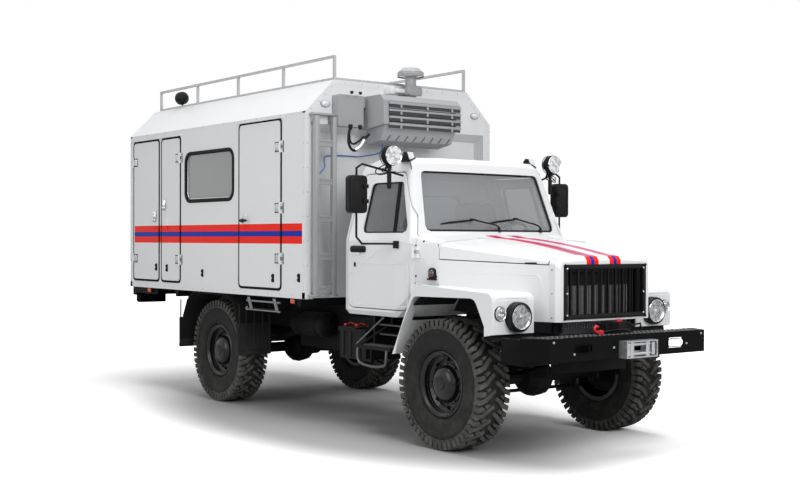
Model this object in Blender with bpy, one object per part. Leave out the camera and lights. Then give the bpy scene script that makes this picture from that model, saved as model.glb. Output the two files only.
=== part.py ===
"""Mobile workshop truck: a bonneted four-wheel-drive lorry that carries a box body.

Lengths are in metres, X points forward, Y to the left and Z up. Every place is measured from the
middle of the front axle and the ground. The finished pieces are shifted together along X, so that
the origin lies on the ground under the middle of the truck's length.
"""
import math

import bmesh
import bpy
from mathutils import Matrix, Vector

# Clearances
SEAM = 0.0003
PIN_GAP = 0.0006
DOOR_GAP = 0.009
OVERRUN = 0.05
STRAIGHT_SHARE = 0.001

# Wheels and tyres
WHEELBASE = 3.770
TYRE_RADIUS = 0.542
TYRE_WIDTH = 0.315
FRONT_TRACK = 1.820
REAR_TRACK = 1.770
RIM_RADIUS = 0.2525
RIM_FLANGE = 0.024
RIM_WIDTH = 0.250
RIM_WALL = 0.013
BEAD_GAP = 0.0006
HUB_RADIUS = 0.098
HUB_DEPTH = 0.175
HUB_BORE = 0.036
WHEEL_SIDES = 24

# Axles and springs
AXLE_TUBE = 0.055
DIFF_RADIUS = 0.175
DIFF_NOSE = 0.330
NOSE_RADIUS = 0.062
KINGPIN_Y = 0.800
YOKE_REACH = 0.100
YOKE_PLATE = 0.030
YOKE_WIDTH = 0.060
KINGPIN_RADIUS = 0.032
SPINDLE_RADIUS = 0.034
BRAKE_RADIUS = 0.190
BRAKE_PLATE = 0.014
STEER_ARM_BACK = 0.250
STEER_ARM_IN = 0.080
STEER_ARM_DROP = 0.105
STEER_ARM_RADIUS = 0.018
TIE_ROD_RADIUS = 0.016
TIE_END_RADIUS = 0.027
SPRING_Y = 0.420
SPRING_WIDTH = 0.060
SPRING_SPAN = 1.400
SPRING_CAMBER = 0.085
SPRING_SEAT = 0.030
LEAF = 0.015
LEAVES = 4
SPRING_EYE = 0.026
CHEEK = 0.012

# Chassis frame
RAIL_Y = 0.420
RAIL_FLANGE = 0.090
SPRING_CLEARANCE = 0.034
RAIL_BOTTOM = TYRE_RADIUS + AXLE_TUBE + SPRING_SEAT + LEAF * LEAVES + SPRING_CAMBER + SPRING_CLEARANCE
RAIL_HEIGHT = 0.160
RAIL_TOP = RAIL_BOTTOM + RAIL_HEIGHT
RAIL_WALL = 0.008
MEMBER_LENGTH = 0.060
MEMBER_RISE = 0.039
MEMBER_BOTTOM = RAIL_BOTTOM + MEMBER_RISE
MEMBER_DROP = 0.026
MEMBER_TOP = RAIL_TOP - MEMBER_DROP
MEMBER_PLACES_X = (0.700, -1.150, -2.150, -3.150, -4.550, -5.450)
OUTRIGGER_PLACES_X = (-0.800, -1.400)
OUTRIGGER_LENGTH = 0.080
OUTRIGGER_DEPTH = 0.066
OUTRIGGER_BOTTOM = RAIL_TOP - OUTRIGGER_DEPTH
SUBFRAME_WIDTH = 0.060
SUBFRAME_BEAM = 0.085
SUBFRAME_SETBACK = 0.120
FLOOR_BEAM_PLACES_X = (-2.150, -3.100, -4.700, -5.450)

# Heights that the wings, the bonnet, the cab and the van share
ARCH_CLEARANCE = 0.166
ARCH_REAR_TOP = TYRE_RADIUS * 2 + ARCH_CLEARANCE
ARCH_FRONT_RISE = 0.012
ARCH_FRONT_TOP = ARCH_REAR_TOP + ARCH_FRONT_RISE
WING_CROWN = 0.100
WING_REAR_TOP = ARCH_REAR_TOP + WING_CROWN
WING_FALL = 0.045
WING_FRONT_TOP = WING_REAR_TOP - WING_FALL
SIDE_PANEL_HEIGHT = 0.208
SEAM_REAR_Z = WING_REAR_TOP + SIDE_PANEL_HEIGHT
SEAM_FALL = 0.033
SEAM_FRONT_Z = SEAM_REAR_Z - SEAM_FALL
COWL_HEIGHT = 0.157
COWL_TOP = SEAM_REAR_Z + COWL_HEIGHT
BELT_RISE = 0.005
CAB_BELT = COWL_TOP + BELT_RISE
CAB_MOUNT = 0.079
CAB_FLOOR = RAIL_TOP + CAB_MOUNT
GUARD_CLEARANCE = 0.066
GUARD_TOP = TYRE_RADIUS * 2 + GUARD_CLEARANCE
GUARD_GAP = 0.015
VAN_FLOOR = GUARD_TOP + GUARD_GAP

# Front bumper, winch and fairlead
BUMPER_FACE_X = 1.124
BUMPER_DROP = 0.010
BUMPER_BOTTOM = RAIL_BOTTOM - BUMPER_DROP
BUMPER_RISE = 0.012
BUMPER_TOP = RAIL_TOP + BUMPER_RISE
BUMPER_STRAIGHT_Y = 0.907
BUMPER_END_X = 0.915
BUMPER_END_Y = 1.010
BUMPER_DEPTH = 0.125
BUMPER_WALL = 0.008
HOOK_HOLE_Y = 0.537
HOOK_HOLE_LENGTH = 0.205
HOOK_HOLE_HEIGHT = 0.082
FAIRLEAD_Y = 0.040
FAIRLEAD_WIDTH = 0.364
FAIRLEAD_HEIGHT = 0.136
FAIRLEAD_DEPTH = 0.086
FAIRLEAD_PLATE = 0.010
ROLLER_RADIUS = 0.021
WINDOW_WIDTH = 0.220
WINDOW_HEIGHT = 0.060
WINCH_FRONT_X = 1.080
WINCH_LENGTH = 0.160
WINCH_HALF_WIDTH = 0.260
WINCH_CHEEK = 0.060
DRUM_RADIUS = 0.042
WINCH_TRAY = 0.010
WINCH_BASE_RISE = 0.024
WINCH_BASE = RAIL_BOTTOM + WINCH_BASE_RISE
WINCH_RISE = 0.019
WINCH_TOP = RAIL_TOP + WINCH_RISE
CONTROL_BOX_WIDTH = 0.290
CONTROL_BOX_LENGTH = 0.110
CONTROL_BOX_RISE = 0.077
CONTROL_BOX_TOP = WINCH_TOP + CONTROL_BOX_RISE

# Engine, radiator and driveline
ENGINE_FRONT_X = 0.520
ENGINE_REAR_X = -0.170
ENGINE_HALF_WIDTH = 0.290
SUMP_RISE = 0.029
ENGINE_BOTTOM = RAIL_BOTTOM + SUMP_RISE
ENGINE_CLEARANCE = 0.085
ENGINE_TOP = SEAM_FRONT_Z - ENGINE_CLEARANCE
ENGINE_FOOT_X = 0.180
ENGINE_FOOT_LENGTH = 0.100
ENGINE_FOOT_HEIGHT = 0.050
GEARBOX_REAR_X = -0.980
GEARBOX_HALF_WIDTH = 0.170
GEARBOX_DROP = 0.046
GEARBOX_BOTTOM = RAIL_BOTTOM - GEARBOX_DROP
GEARBOX_CLEARANCE = 0.035
GEARBOX_TOP = CAB_FLOOR - GEARBOX_CLEARANCE
RADIATOR_THICKNESS = 0.070
RADIATOR_HALF_WIDTH = 0.400
RADIATOR_CLEARANCE = 0.025
RADIATOR_TOP = SEAM_FRONT_Z - RADIATOR_CLEARANCE
TRANSFER_LENGTH = 0.300
TRANSFER_HALF_WIDTH = 0.180
TRANSFER_DEPTH = 0.265
TRANSFER_BOTTOM = MEMBER_BOTTOM - TRANSFER_DEPTH
SHAFT_RADIUS = 0.034
SHAFT_DROP = 0.165
SHAFT_HEIGHT = MEMBER_BOTTOM - SHAFT_DROP
FLANGE_RADIUS = 0.060
FLANGE_LENGTH = 0.024

# Cab
CAB_FRONT_X = -0.200
CAB_REAR_X = -1.525
CAB_UPPER_HEIGHT = 0.755
CAB_ROOF = CAB_BELT + CAB_UPPER_HEIGHT
CAB_HALF_WIDTH = 0.950
CAB_WALL = 0.055
CAB_LEAN = 0.150
CAB_LEAN_HEIGHT = 0.560
CAB_CORNER = 0.070
COWL_INSET = 0.050
COWL_HALF_WIDTH = CAB_HALF_WIDTH - COWL_INSET
COWL_DEPTH_SHARE = 0.60
COWL_BOTTOM = COWL_TOP - (CAB_BELT - CAB_FLOOR) * COWL_DEPTH_SHARE
SCREEN_FOOT_X = -0.455
SCREEN_FOOT_RISE = 0.045
SCREEN_FOOT = CAB_BELT + SCREEN_FOOT_RISE
SCREEN_HEAD_X = -0.690
SCREEN_HEAD_DROP = 0.085
SCREEN_HEAD = CAB_ROOF - SCREEN_HEAD_DROP
SCREEN_BOW = 0.100
SCREEN_WIDTH_SHARE = 0.985
SCREEN_SILL = 0.035
SCREEN_BOTTOM = SCREEN_FOOT + SCREEN_SILL
SCREEN_HEADER = 0.055
SCREEN_TOP = SCREEN_HEAD - SCREEN_HEADER
SCREEN_PILLAR_FOOT = 0.175
SCREEN_HALF_FOOT = CAB_HALF_WIDTH - SCREEN_PILLAR_FOOT
SCREEN_PILLAR_HEAD = 0.250
SCREEN_HALF_HEAD = CAB_HALF_WIDTH - SCREEN_PILLAR_HEAD
GLASS = 0.006
DOOR_FRONT_X = -0.480
DOOR_REAR_X = -1.470
DOOR_SILL = 0.060
DOOR_BOTTOM = CAB_FLOOR + DOOR_SILL
DOOR_HEADER = 0.145
DOOR_TOP = CAB_ROOF - DOOR_HEADER
DOOR_TOP_FRONT_X = -0.800
DOOR_DRAFT = 0.130
DOOR_CORNER = 0.080
DOOR_WINDOW_FRONT_X = -0.600
DOOR_WINDOW_REAR_X = -1.270
DOOR_WINDOW_TOP_FRONT_X = -0.800
DOOR_WINDOW_SILL = 0.065
DOOR_WINDOW_BOTTOM = CAB_BELT + DOOR_WINDOW_SILL
DOOR_WINDOW_HEADER = 0.090
DOOR_WINDOW_TOP = DOOR_TOP - DOOR_WINDOW_HEADER
WINDOW_CORNER = 0.045
REAR_GLASS_MARGIN = 0.530
REAR_GLASS_HALF_WIDTH = CAB_HALF_WIDTH - REAR_GLASS_MARGIN
REAR_GLASS_SILL = 0.030
REAR_GLASS_BOTTOM = CAB_BELT + REAR_GLASS_SILL
REAR_GLASS_HEADER = 0.325
REAR_GLASS_TOP = CAB_ROOF - REAR_GLASS_HEADER
CAB_HINGE_RADIUS = 0.012
CAB_HINGE_LENGTH = 0.100
UPPER_HINGE_HEIGHT = CAB_BELT - CAB_HINGE_LENGTH
LOWER_HINGE_SHARE = 0.37864
LOWER_HINGE_HEIGHT = DOOR_BOTTOM + (UPPER_HINGE_HEIGHT - DOOR_BOTTOM) * LOWER_HINGE_SHARE
CAB_HINGE_HEIGHTS = (LOWER_HINGE_HEIGHT, UPPER_HINGE_HEIGHT)
HINGE_PLATE = 0.050
HINGE_PLATE_THICKNESS = 0.005
CAB_DOOR_HANDLE = 0.150

# Bonnet, fascia, grille and wings
BONNET_FRONT_X = 0.755
BONNET_SKIN = 0.010
BONNET_STEPS = 5
BONNET_GAP = 0.008
BONNET_HINGE_RADIUS = 0.008
BONNET_HINGE_LENGTH = 0.090
BONNET_HINGE_Y = 0.420
BONNET_NOSE_SLOPE = 0.012
BONNET_REAR_RISE = 0.027
BONNET_REAR_TOP = COWL_TOP + BONNET_REAR_RISE
BONNET_FRONT_RISE = 0.081
BONNET_FRONT_TOP = SEAM_FRONT_Z + BONNET_FRONT_RISE
NOSE_HALF_WIDTH = 0.556
FASCIA_LENGTH = 0.091
FASCIA_FRONT_X = BONNET_FRONT_X + FASCIA_LENGTH
FASCIA_FACE_INSET = 0.036
FASCIA_FACE_HALF_WIDTH = NOSE_HALF_WIDTH - FASCIA_FACE_INSET
FASCIA_GAP = 0.013
FASCIA_BOTTOM = CONTROL_BOX_TOP + FASCIA_GAP
FASCIA_RISE = 0.058
FASCIA_TOP = SEAM_FRONT_Z + FASCIA_RISE
FASCIA_SKIN = 0.012
GRILLE_MARGIN = 0.0455
GRILLE_HALF_WIDTH = FASCIA_FACE_HALF_WIDTH - GRILLE_MARGIN
GRILLE_LIP = 0.013
GRILLE_BOTTOM = FASCIA_BOTTOM + GRILLE_LIP
GRILLE_TOP = SEAM_FRONT_Z
GRILLE_DEPTH = 0.034
GRILLE_FRAME = 0.030
GRILLE_BARS = 10
GRILLE_BAR = 0.012
WING_COVER = 0.100
WING_OUTER_Y = CAB_HALF_WIDTH + WING_COVER
WING_INNER_Y = 0.600
WING_SKIN = 0.010
WING_FRONT_X = 0.635
WING_GAP = 0.007
WING_BOTTOM = BUMPER_TOP + WING_GAP
WING_REAR_TOP_X = -0.340
WING_TAIL_X = -0.650
ARCH_FRONT_TOP_X = 0.426
ARCH_REAR_TOP_X = -0.358
ARCH_FRONT_X = 0.545
ARCH_SIDE_SKIRT_X = -0.537
SKIRT_DROP = 0.030
ARCH_SIDE_SKIRT = WING_BOTTOM - SKIRT_DROP
WING_TAIL_DROP = 0.214
WING_TAIL_Z = ARCH_SIDE_SKIRT - WING_TAIL_DROP
WING_CORNER = 0.060
WING_TAIL_STANDOFF = 0.012
LAMP_ACROSS_SHARE = 0.433333
LAMP_Y = WING_INNER_Y + (WING_OUTER_Y - WING_INNER_Y) * LAMP_ACROSS_SHARE
LAMP_RISE = 0.134
LAMP_HEIGHT = WING_BOTTOM + LAMP_RISE
LAMP_RADIUS = 0.112
LAMP_DEPTH = 0.060
LAMP_STEPS = 20

# Cab fittings
MIRROR_REACH = 0.283
MIRROR_Y = CAB_HALF_WIDTH + MIRROR_REACH
MIRROR_X = -0.930
MIRROR_WIDTH = 0.190
MIRROR_HEIGHT = 0.330
MIRROR_DEPTH = 0.060
MIRROR_DROP = 0.170
ARM_RADIUS = 0.010
ARM_FOOT_X = -0.720
ARM_FOOT_DROP = 0.030
ARM_FOOT_Z = CAB_BELT - ARM_FOOT_DROP
ARM_HEAD_X = -0.800
ARM_HEAD_DROP = 0.185
ARM_HEAD_Z = CAB_ROOF - ARM_HEAD_DROP
MIRROR_MIDDLE = ARM_HEAD_Z - MIRROR_DROP
SPOTLIGHT_RADIUS = 0.085
SPOTLIGHT_DEPTH = 0.110
SPOTLIGHT_X = -0.800
SPOTLIGHT_REACH = 0.025
SPOTLIGHT_Y = CAB_HALF_WIDTH + SPOTLIGHT_REACH
SPOTLIGHT_DROP = 0.018
SPOTLIGHT_Z = CAB_ROOF - SPOTLIGHT_DROP
SEAT_FRONT_X = -0.760
SEAT_BACK_X = -1.250
SEAT_HALF_WIDTH = 0.240
SEAT_SIDE_MARGIN = 0.500
SEAT_MIDDLE_Y = CAB_HALF_WIDTH - SEAT_SIDE_MARGIN
SEAT_PLACES_Y = (SEAT_MIDDLE_Y, -SEAT_MIDDLE_Y)
SEAT_HEIGHT = 0.435
SEAT_TOP = CAB_FLOOR + SEAT_HEIGHT
SEAT_CUSHION = 0.130
SEAT_BACK_HEIGHT = 0.570
SEAT_BACK_TOP = SEAT_TOP + SEAT_BACK_HEIGHT
SEAT_BACK_THICKNESS = 0.120
DASH_SIDE_CLEARANCE = 0.042
DASH_REAR_X = -0.650
DASH_DROP = 0.025
DASH_TOP = COWL_TOP - DASH_DROP
DASH_LIP = 0.035
DASH_BOTTOM = COWL_BOTTOM + CAB_WALL + DASH_LIP
WHEEL_COLUMN_Y = SEAT_MIDDLE_Y
STEERING_WHEEL_RADIUS = 0.220
STEERING_WHEEL_RIM = 0.016
STEERING_WHEEL_X = -0.860
STEERING_WHEEL_RISE = 0.020
STEERING_WHEEL_Z = CAB_BELT + STEERING_WHEEL_RISE
COLUMN_TILT_SHARE = 0.900
COLUMN_RADIUS = 0.025
COLUMN_LENGTH = 0.110
COLUMN_SLEEVE = 0.320

# Steps, tanks and guards
STEP_FRONT_X = -0.690
STEP_REAR_X = -1.230
STEP_DROP = 0.260
STEP_TREAD_TOP = CAB_FLOOR - STEP_DROP
STEP_TREAD = 0.030
STEP_INSET = 0.150
STEP_INNER_Y = CAB_HALF_WIDTH - STEP_INSET
STEP_REACH = 0.090
STEP_OUTER_Y = CAB_HALF_WIDTH + STEP_REACH
STEP_BAR = 0.014
OUTRIGGER_MARGIN = 0.080
OUTRIGGER_REACH = STEP_INNER_Y - OUTRIGGER_MARGIN
STEP_RUNG_DROPS = (0.165, 0.085)
STEP_RUNG_HEIGHTS = [CAB_FLOOR - drop for drop in STEP_RUNG_DROPS]
BATTERY_FRONT_X = -1.300
BATTERY_REAR_X = -1.720
BATTERY_MARGIN = 0.060
BATTERY_REACH = STEP_INNER_Y + BATTERY_MARGIN
BATTERY_TOP = OUTRIGGER_BOTTOM
BATTERY_HEIGHT = 0.280
BATTERY_BOTTOM = BATTERY_TOP - BATTERY_HEIGHT
TANK_FRONT_X = -1.450
TANK_LENGTH = 0.850
TANK_REACH = 0.900
TANK_TOP = MEMBER_TOP
TANK_HEIGHT = 0.340
TANK_BOTTOM = TANK_TOP - TANK_HEIGHT
TANK_CORNER = 0.060
MUFFLER_FRONT_X = -2.300
MUFFLER_LENGTH = 0.600
MUFFLER_RADIUS = 0.100
MUFFLER_Y = 0.600
PIPE_RADIUS = 0.035
PIPE_HANGER = 0.030
GUARD_INNER_Y = 0.735
GUARD_SHEET = 0.006
GUARD_REACH = 0.068
GUARD_HALF_SPAN = TYRE_RADIUS + GUARD_REACH
GUARD_HEIGHT = 0.522
GUARD_BOTTOM = GUARD_TOP - GUARD_HEIGHT
GUARD_HANGER = 0.060
REAR_BAR_DEPTH = 0.080
REAR_BAR_HEIGHT = 0.100
REAR_BAR_OVERHANG = 0.027
REAR_BAR_RETURN = 0.650
ENTRY_STEP_DROP = 0.155
ENTRY_STEP_BOTTOM = VAN_FLOOR - ENTRY_STEP_DROP
ENTRY_STEP_DEPTH = 0.280
ENTRY_STEP_LENGTH = 0.560
ENTRY_STEP_PLATE = 0.006
ENTRY_STEP_BAR = 0.030

# Van body
CAB_TO_VAN = 0.354
VAN_LENGTH = 3.804
VAN_HALF_WIDTH = 1.147
FLOOR_BEAM_MARGIN = 0.107
FLOOR_BEAM_REACH = VAN_HALF_WIDTH - FLOOR_BEAM_MARGIN
REAR_BAR_MARGIN = 0.047
REAR_BAR_HALF_WIDTH = VAN_HALF_WIDTH - REAR_BAR_MARGIN
GUARD_MARGIN = 0.017
GUARD_OUTER_Y = VAN_HALF_WIDTH - GUARD_MARGIN
VAN_WALL_HEIGHT = 1.766
VAN_EAVES = VAN_FLOOR + VAN_WALL_HEIGHT
VAN_SHOULDER_RISE = 0.316
VAN_ROOF = VAN_EAVES + VAN_SHOULDER_RISE
VAN_SHOULDER = 0.317
VAN_WALL = 0.045
RECESS_DEPTH = 0.151
RECESS_MARGIN = 0.090
RECESS_HALF_WIDTH = VAN_HALF_WIDTH - RECESS_MARGIN
LEDGE_DROP = 0.113
LEDGE_FRONT_Z = VAN_EAVES - LEDGE_DROP
LEDGE_FALL = 0.068
LEDGE_BACK_Z = LEDGE_FRONT_Z - LEDGE_FALL
LEDGE_WALL = 0.045
VAN_DOOR_CORNER = 0.045
VAN_DOOR_PROUD = 0.006
SIDE_DOOR_SETBACK = 0.431
SIDE_DOOR_WIDTH = 0.800
SIDE_DOOR_SILL = 0.080
SIDE_DOOR_BOTTOM = VAN_FLOOR + SIDE_DOOR_SILL
SIDE_DOOR_HEADER = 0.046
SIDE_DOOR_TOP = VAN_EAVES - SIDE_DOOR_HEADER
VAN_WINDOW_SETBACK = 1.371
VAN_WINDOW_WIDTH = 1.020
VAN_WINDOW_HEADER = 0.291
VAN_WINDOW_TOP = VAN_EAVES - VAN_WINDOW_HEADER
VAN_WINDOW_HEIGHT = 0.490
VAN_WINDOW_BOTTOM = VAN_WINDOW_TOP - VAN_WINDOW_HEIGHT
VAN_WINDOW_CORNER = 0.090
VAN_GLASS = 0.012
LOCKER_REAR_INSET = 0.098
LOCKER_REAR_WIDTH = 0.655
LOCKER_FRONT_WIDTH = 0.450
LOCKER_MEETING = 0.070
LOCKER_SILL = 0.090
LOCKER_BOTTOM = VAN_FLOOR + LOCKER_SILL
LOCKER_HEADER = 0.081
LOCKER_TOP = VAN_EAVES - LOCKER_HEADER
REAR_PILLAR = 0.347
REAR_DOOR_HALF_WIDTH = VAN_HALF_WIDTH - REAR_PILLAR
REAR_DOOR_SILL = 0.095
REAR_DOOR_BOTTOM = VAN_FLOOR + REAR_DOOR_SILL
REAR_DOOR_TOP = LOCKER_TOP
VAN_HINGE_RADIUS = 0.010
VAN_HINGE_LENGTH = 0.110
SIDE_HINGE_FOOT = 0.295
SIDE_HINGE_HEAD = 0.265
SIDE_HINGE_LOW = SIDE_DOOR_BOTTOM + SIDE_HINGE_FOOT
SIDE_HINGE_HIGH = SIDE_DOOR_TOP - SIDE_HINGE_HEAD
MIDDLE_HINGE_SHARE = 0.453704
SIDE_HINGE_MIDDLE = SIDE_HINGE_LOW + (SIDE_HINGE_HIGH - SIDE_HINGE_LOW) * MIDDLE_HINGE_SHARE
SIDE_HINGE_HEIGHTS = (SIDE_HINGE_LOW, SIDE_HINGE_MIDDLE, SIDE_HINGE_HIGH)
LOCKER_HINGE_FOOT = 0.245
LOCKER_HINGE_HEAD = 0.230
LOCKER_HINGE_HEIGHTS = (LOCKER_BOTTOM + LOCKER_HINGE_FOOT, LOCKER_TOP - LOCKER_HINGE_HEAD)
VAN_HINGE_PLATE = 0.040
VAN_HINGE_PLATE_THICKNESS = 0.004
LATCH_DEPTH = 0.012
LATCH_WIDTH = 0.070
LATCH_HEIGHT = 0.130
LATCH_RISE = 0.744
LATCH_Z = VAN_FLOOR + LATCH_RISE

# Roof rack, ladder and units on the van's front
RACK_TUBE = 0.025
RACK_HEIGHT = 0.238
RACK_TOP = VAN_ROOF + RACK_HEIGHT
RACK_POSTS = 5
RACK_INSET = 0.012
RACK_REAR_INSET = 0.100
LADDER_MARGIN = 0.078
LADDER_OUTER_Y = VAN_HALF_WIDTH - LADDER_MARGIN
LADDER_WIDTH = 0.197
LADDER_INNER_Y = LADDER_OUTER_Y - LADDER_WIDTH
LADDER_STANDOFF = 0.060
LADDER_TUBE = 0.015
LADDER_FOOT = 0.025
LADDER_BOTTOM = VAN_FLOOR + LADDER_FOOT
LADDER_DROP = 0.051
LADDER_TOP = VAN_EAVES - LADDER_DROP
LADDER_RUNG = 0.011
LADDER_RUNG_SHARES = (0.039053, 0.221302, 0.431953, 0.639053, 0.852071)
LADDER_RUNG_HEIGHTS = [LADDER_BOTTOM + (LADDER_TOP - LADDER_BOTTOM) * share for share in LADDER_RUNG_SHARES]
CONTROL_UNIT_GAP = 0.022
CONTROL_UNIT_WIDTH = 0.290
CONTROL_UNIT_RIGHT_Y = CONTROL_UNIT_GAP - LADDER_INNER_Y
CONTROL_UNIT_LEFT_Y = CONTROL_UNIT_RIGHT_Y + CONTROL_UNIT_WIDTH
CONDENSER_GAP = 0.060
CONDENSER_RIGHT_Y = CONTROL_UNIT_LEFT_Y + CONDENSER_GAP
CONDENSER_WIDTH = 0.950
CONDENSER_LEFT_Y = CONDENSER_RIGHT_Y + CONDENSER_WIDTH
CONDENSER_PLATE_REACH = 0.280
CONDENSER_PLATE_LEFT_Y = CONDENSER_LEFT_Y + CONDENSER_PLATE_REACH
CONDENSER_DEPTH = 0.360
CONDENSER_TOP_DEPTH = 0.300
CONDENSER_DROP = 0.142
CONDENSER_TOP = VAN_ROOF - CONDENSER_DROP
CONDENSER_HEIGHT = 0.335
CONDENSER_BOTTOM = CONDENSER_TOP - CONDENSER_HEIGHT
CONDENSER_BELLY = 0.130
CONDENSER_FOOT = CONDENSER_BOTTOM - CONDENSER_BELLY
CONDENSER_PLATE = 0.012
CONTROL_UNIT_DROP = 0.005
CONTROL_UNIT_TOP = CONDENSER_TOP - CONTROL_UNIT_DROP
CONTROL_UNIT_HEIGHT = 0.300
CONTROL_UNIT_BOTTOM = CONTROL_UNIT_TOP - CONTROL_UNIT_HEIGHT
CONTROL_UNIT_DEPTH = 0.110
LOUVRES = 4
LOUVRE = 0.022
VENT_Y = 0.020
VENT_STANDOFF = 0.030
VENT_PIPE_RADIUS = 0.055
VENT_CAP_RADIUS = 0.130
VENT_CAP_HEIGHT = 0.080
VENT_RISE = 0.183
VENT_TOP = VAN_ROOF + VENT_RISE
CABLE_RADIUS = 0.006


def prism(axis, outline, start, end, end_outline=None):
    """Return a closed body between two places along an axis, from an outline in the other two."""
    order = {"x": (2, 0, 1), "y": (0, 2, 1), "z": (0, 1, 2)}[axis]
    shape = bmesh.new()
    rings = []
    for place, points in ((start, outline), (end, end_outline or outline)):
        rings.append([shape.verts.new([(*point, place)[index] for index in order]) for point in points])
    skin(shape, rings)
    if end_outline:
        bmesh.ops.triangulate(shape, faces=shape.faces)
    return shape


def skin(shape, rings):
    """Join rows of vertices into a closed body with flat ends, facing outwards."""
    for first, second in zip(rings, rings[1:]):
        for index in range(len(first)):
            following = (index + 1) % len(first)
            shape.faces.new((first[index], first[following], second[following], second[index]))
    shape.faces.new(reversed(rings[0]))
    shape.faces.new(rings[-1])
    bmesh.ops.recalc_face_normals(shape, faces=shape.faces)


def loft(rows):
    """Return a closed body of flat triangles through rows of points of the same count."""
    shape = bmesh.new()
    skin(shape, [[shape.verts.new(point) for point in row] for row in rows])
    bmesh.ops.triangulate(shape, faces=shape.faces)
    return shape


def block(x_ends, y_ends, z_ends):
    """Return a box between two places on each axis."""
    outline = [(x_ends[0], y_ends[0]), (x_ends[1], y_ends[0]), (x_ends[1], y_ends[1]),
               (x_ends[0], y_ends[1])]
    return prism("z", outline, *z_ends)


def lathe(profile, centre, direction, steps):
    """Return a body turned about a line, from (place along the line, radius) points."""
    shape = bmesh.new()
    edge_points = [shape.verts.new((radius, 0, place)) for place, radius in profile]
    closed = profile[0][1] > 0
    pairs = list(zip(edge_points, edge_points[1:]))
    if closed:
        pairs.append((edge_points[-1], edge_points[0]))
    edges = [shape.edges.new(pair) for pair in pairs]
    bmesh.ops.spin(shape, geom=edge_points + edges, cent=(0, 0, 0), axis=(0, 0, 1), angle=math.tau,
                   steps=steps, use_merge=True)
    bmesh.ops.remove_doubles(shape, verts=shape.verts, dist=SEAM / 10)
    turn = Vector((0, 0, 1)).rotation_difference(Vector(direction)).to_matrix().to_4x4()
    bmesh.ops.transform(shape, matrix=Matrix.Translation(centre) @ turn, verts=shape.verts)
    bmesh.ops.recalc_face_normals(shape, faces=shape.faces)
    return shape


def tube(path, radius, sides=8):
    """Return a round bar that follows a path, mitred at its corners."""
    points = [Vector(point) for point in path]
    steps = [(after - before).normalized() for before, after in zip(points, points[1:])]
    side = steps[0].orthogonal().normalized()
    rows = []
    for index, point in enumerate(points):
        before = steps[max(index - 1, 0)]
        after = steps[min(index, len(steps) - 1)]
        tangent = (before + after).normalized()
        if index > 0:
            side = before.rotation_difference(after) @ side if index < len(steps) else side
        side = (side - tangent * side.dot(tangent)).normalized()
        across = tangent.cross(side)
        stretch = 1 / max(math.sqrt((1 + before.dot(after)) / 2), 0.5)
        bend = after - before
        row = []
        for number in range(sides):
            angle = math.tau * (number + 0.5) / sides
            offset = side * math.cos(angle) + across * math.sin(angle)
            if bend.length > STRAIGHT_SHARE:
                inward = bend.normalized()
                offset += inward * inward.dot(offset) * (stretch - 1)
            row.append(point + offset * radius)
        rows.append(row)
    return loft(rows)


def rounded(outline, radius, steps=3):
    """Return an outline with each corner rounded, or those whose radius in a list is over zero."""
    radii = radius if isinstance(radius, (list, tuple)) else [radius] * len(outline)
    result = []
    for index, corner in enumerate(outline):
        size = radii[index]
        point = Vector(corner)
        if size <= 0:
            result.append(tuple(point))
            continue
        to_last = (Vector(outline[index - 1]) - point).normalized()
        to_next = (Vector(outline[(index + 1) % len(outline)]) - point).normalized()
        half = to_last.angle(to_next) / 2
        reach = size / math.tan(half)
        centre = point + (to_last + to_next).normalized() * (size / math.sin(half))
        first = point + to_last * reach - centre
        last = point + to_next * reach - centre
        sweep = first.angle_signed(last)
        for step in range(steps + 1):
            angle = -sweep * step / steps
            turned = Vector((first.x * math.cos(angle) - first.y * math.sin(angle),
                             first.x * math.sin(angle) + first.y * math.cos(angle)))
            result.append(tuple(centre + turned))
    return result


def rectangle(low, high):
    """Return the four corners of a rectangle, counter-clockwise."""
    return [(low[0], low[1]), (high[0], low[1]), (high[0], high[1]), (low[0], high[1])]


def mirrored(shape):
    """Return the same body on the other side of the truck."""
    other = shape.copy()
    bmesh.ops.scale(other, vec=(1, -1, 1), verts=other.verts)
    bmesh.ops.recalc_face_normals(other, faces=other.faces)
    return other


def on_side(shapes, side):
    """Return bodies modelled on the left side, or their mirror images for the right side."""
    return shapes if side > 0 else [mirrored(shape) for shape in shapes]


def gathered(name, shapes):
    """Return one mesh that holds all the bodies."""
    whole = bmesh.new()
    for shape in shapes:
        piece = bpy.data.meshes.new(name)
        shape.to_mesh(piece)
        whole.from_mesh(piece)
        bpy.data.meshes.remove(piece)
    mesh = bpy.data.meshes.new(name)
    whole.to_mesh(mesh)
    whole.free()
    return mesh


def work(target, shapes, operation):
    """Join bodies to an object, cut them from it or keep what they share, in its own mesh."""
    tool = bpy.data.objects.new(target.name + "_tool", gathered("tool", shapes))
    bpy.context.collection.objects.link(tool)
    modifier = target.modifiers.new(operation.title(), "BOOLEAN")
    modifier.operation = operation
    modifier.object = tool
    modifier.use_self = len(shapes) > 1
    graph = bpy.context.evaluated_depsgraph_get()
    result = bpy.data.meshes.new_from_object(target.evaluated_get(graph))
    target.modifiers.clear()
    target.data = result
    bpy.data.objects.remove(tool)


FINISHES = {}


def finish(name, colour, roughness, metallic=0.0):
    """Return a material with a colour, a roughness and a metallic value, made once."""
    if name not in FINISHES:
        material = bpy.data.materials.new(name)
        material.use_nodes = True
        shader = material.node_tree.nodes["Principled BSDF"]
        shader.inputs["Base Color"].default_value = (*colour, 1.0)
        shader.inputs["Roughness"].default_value = roughness
        shader.inputs["Metallic"].default_value = metallic
        material.diffuse_color = (*colour, 1.0)
        FINISHES[name] = material
    return FINISHES[name]


def white_paint():
    return finish("white_paint", (0.84, 0.85, 0.86), 0.32)


def black_paint():
    return finish("black_paint", (0.018, 0.018, 0.02), 0.45)


def grey_plastic():
    return finish("grey_plastic", (0.36, 0.37, 0.38), 0.55)


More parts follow.
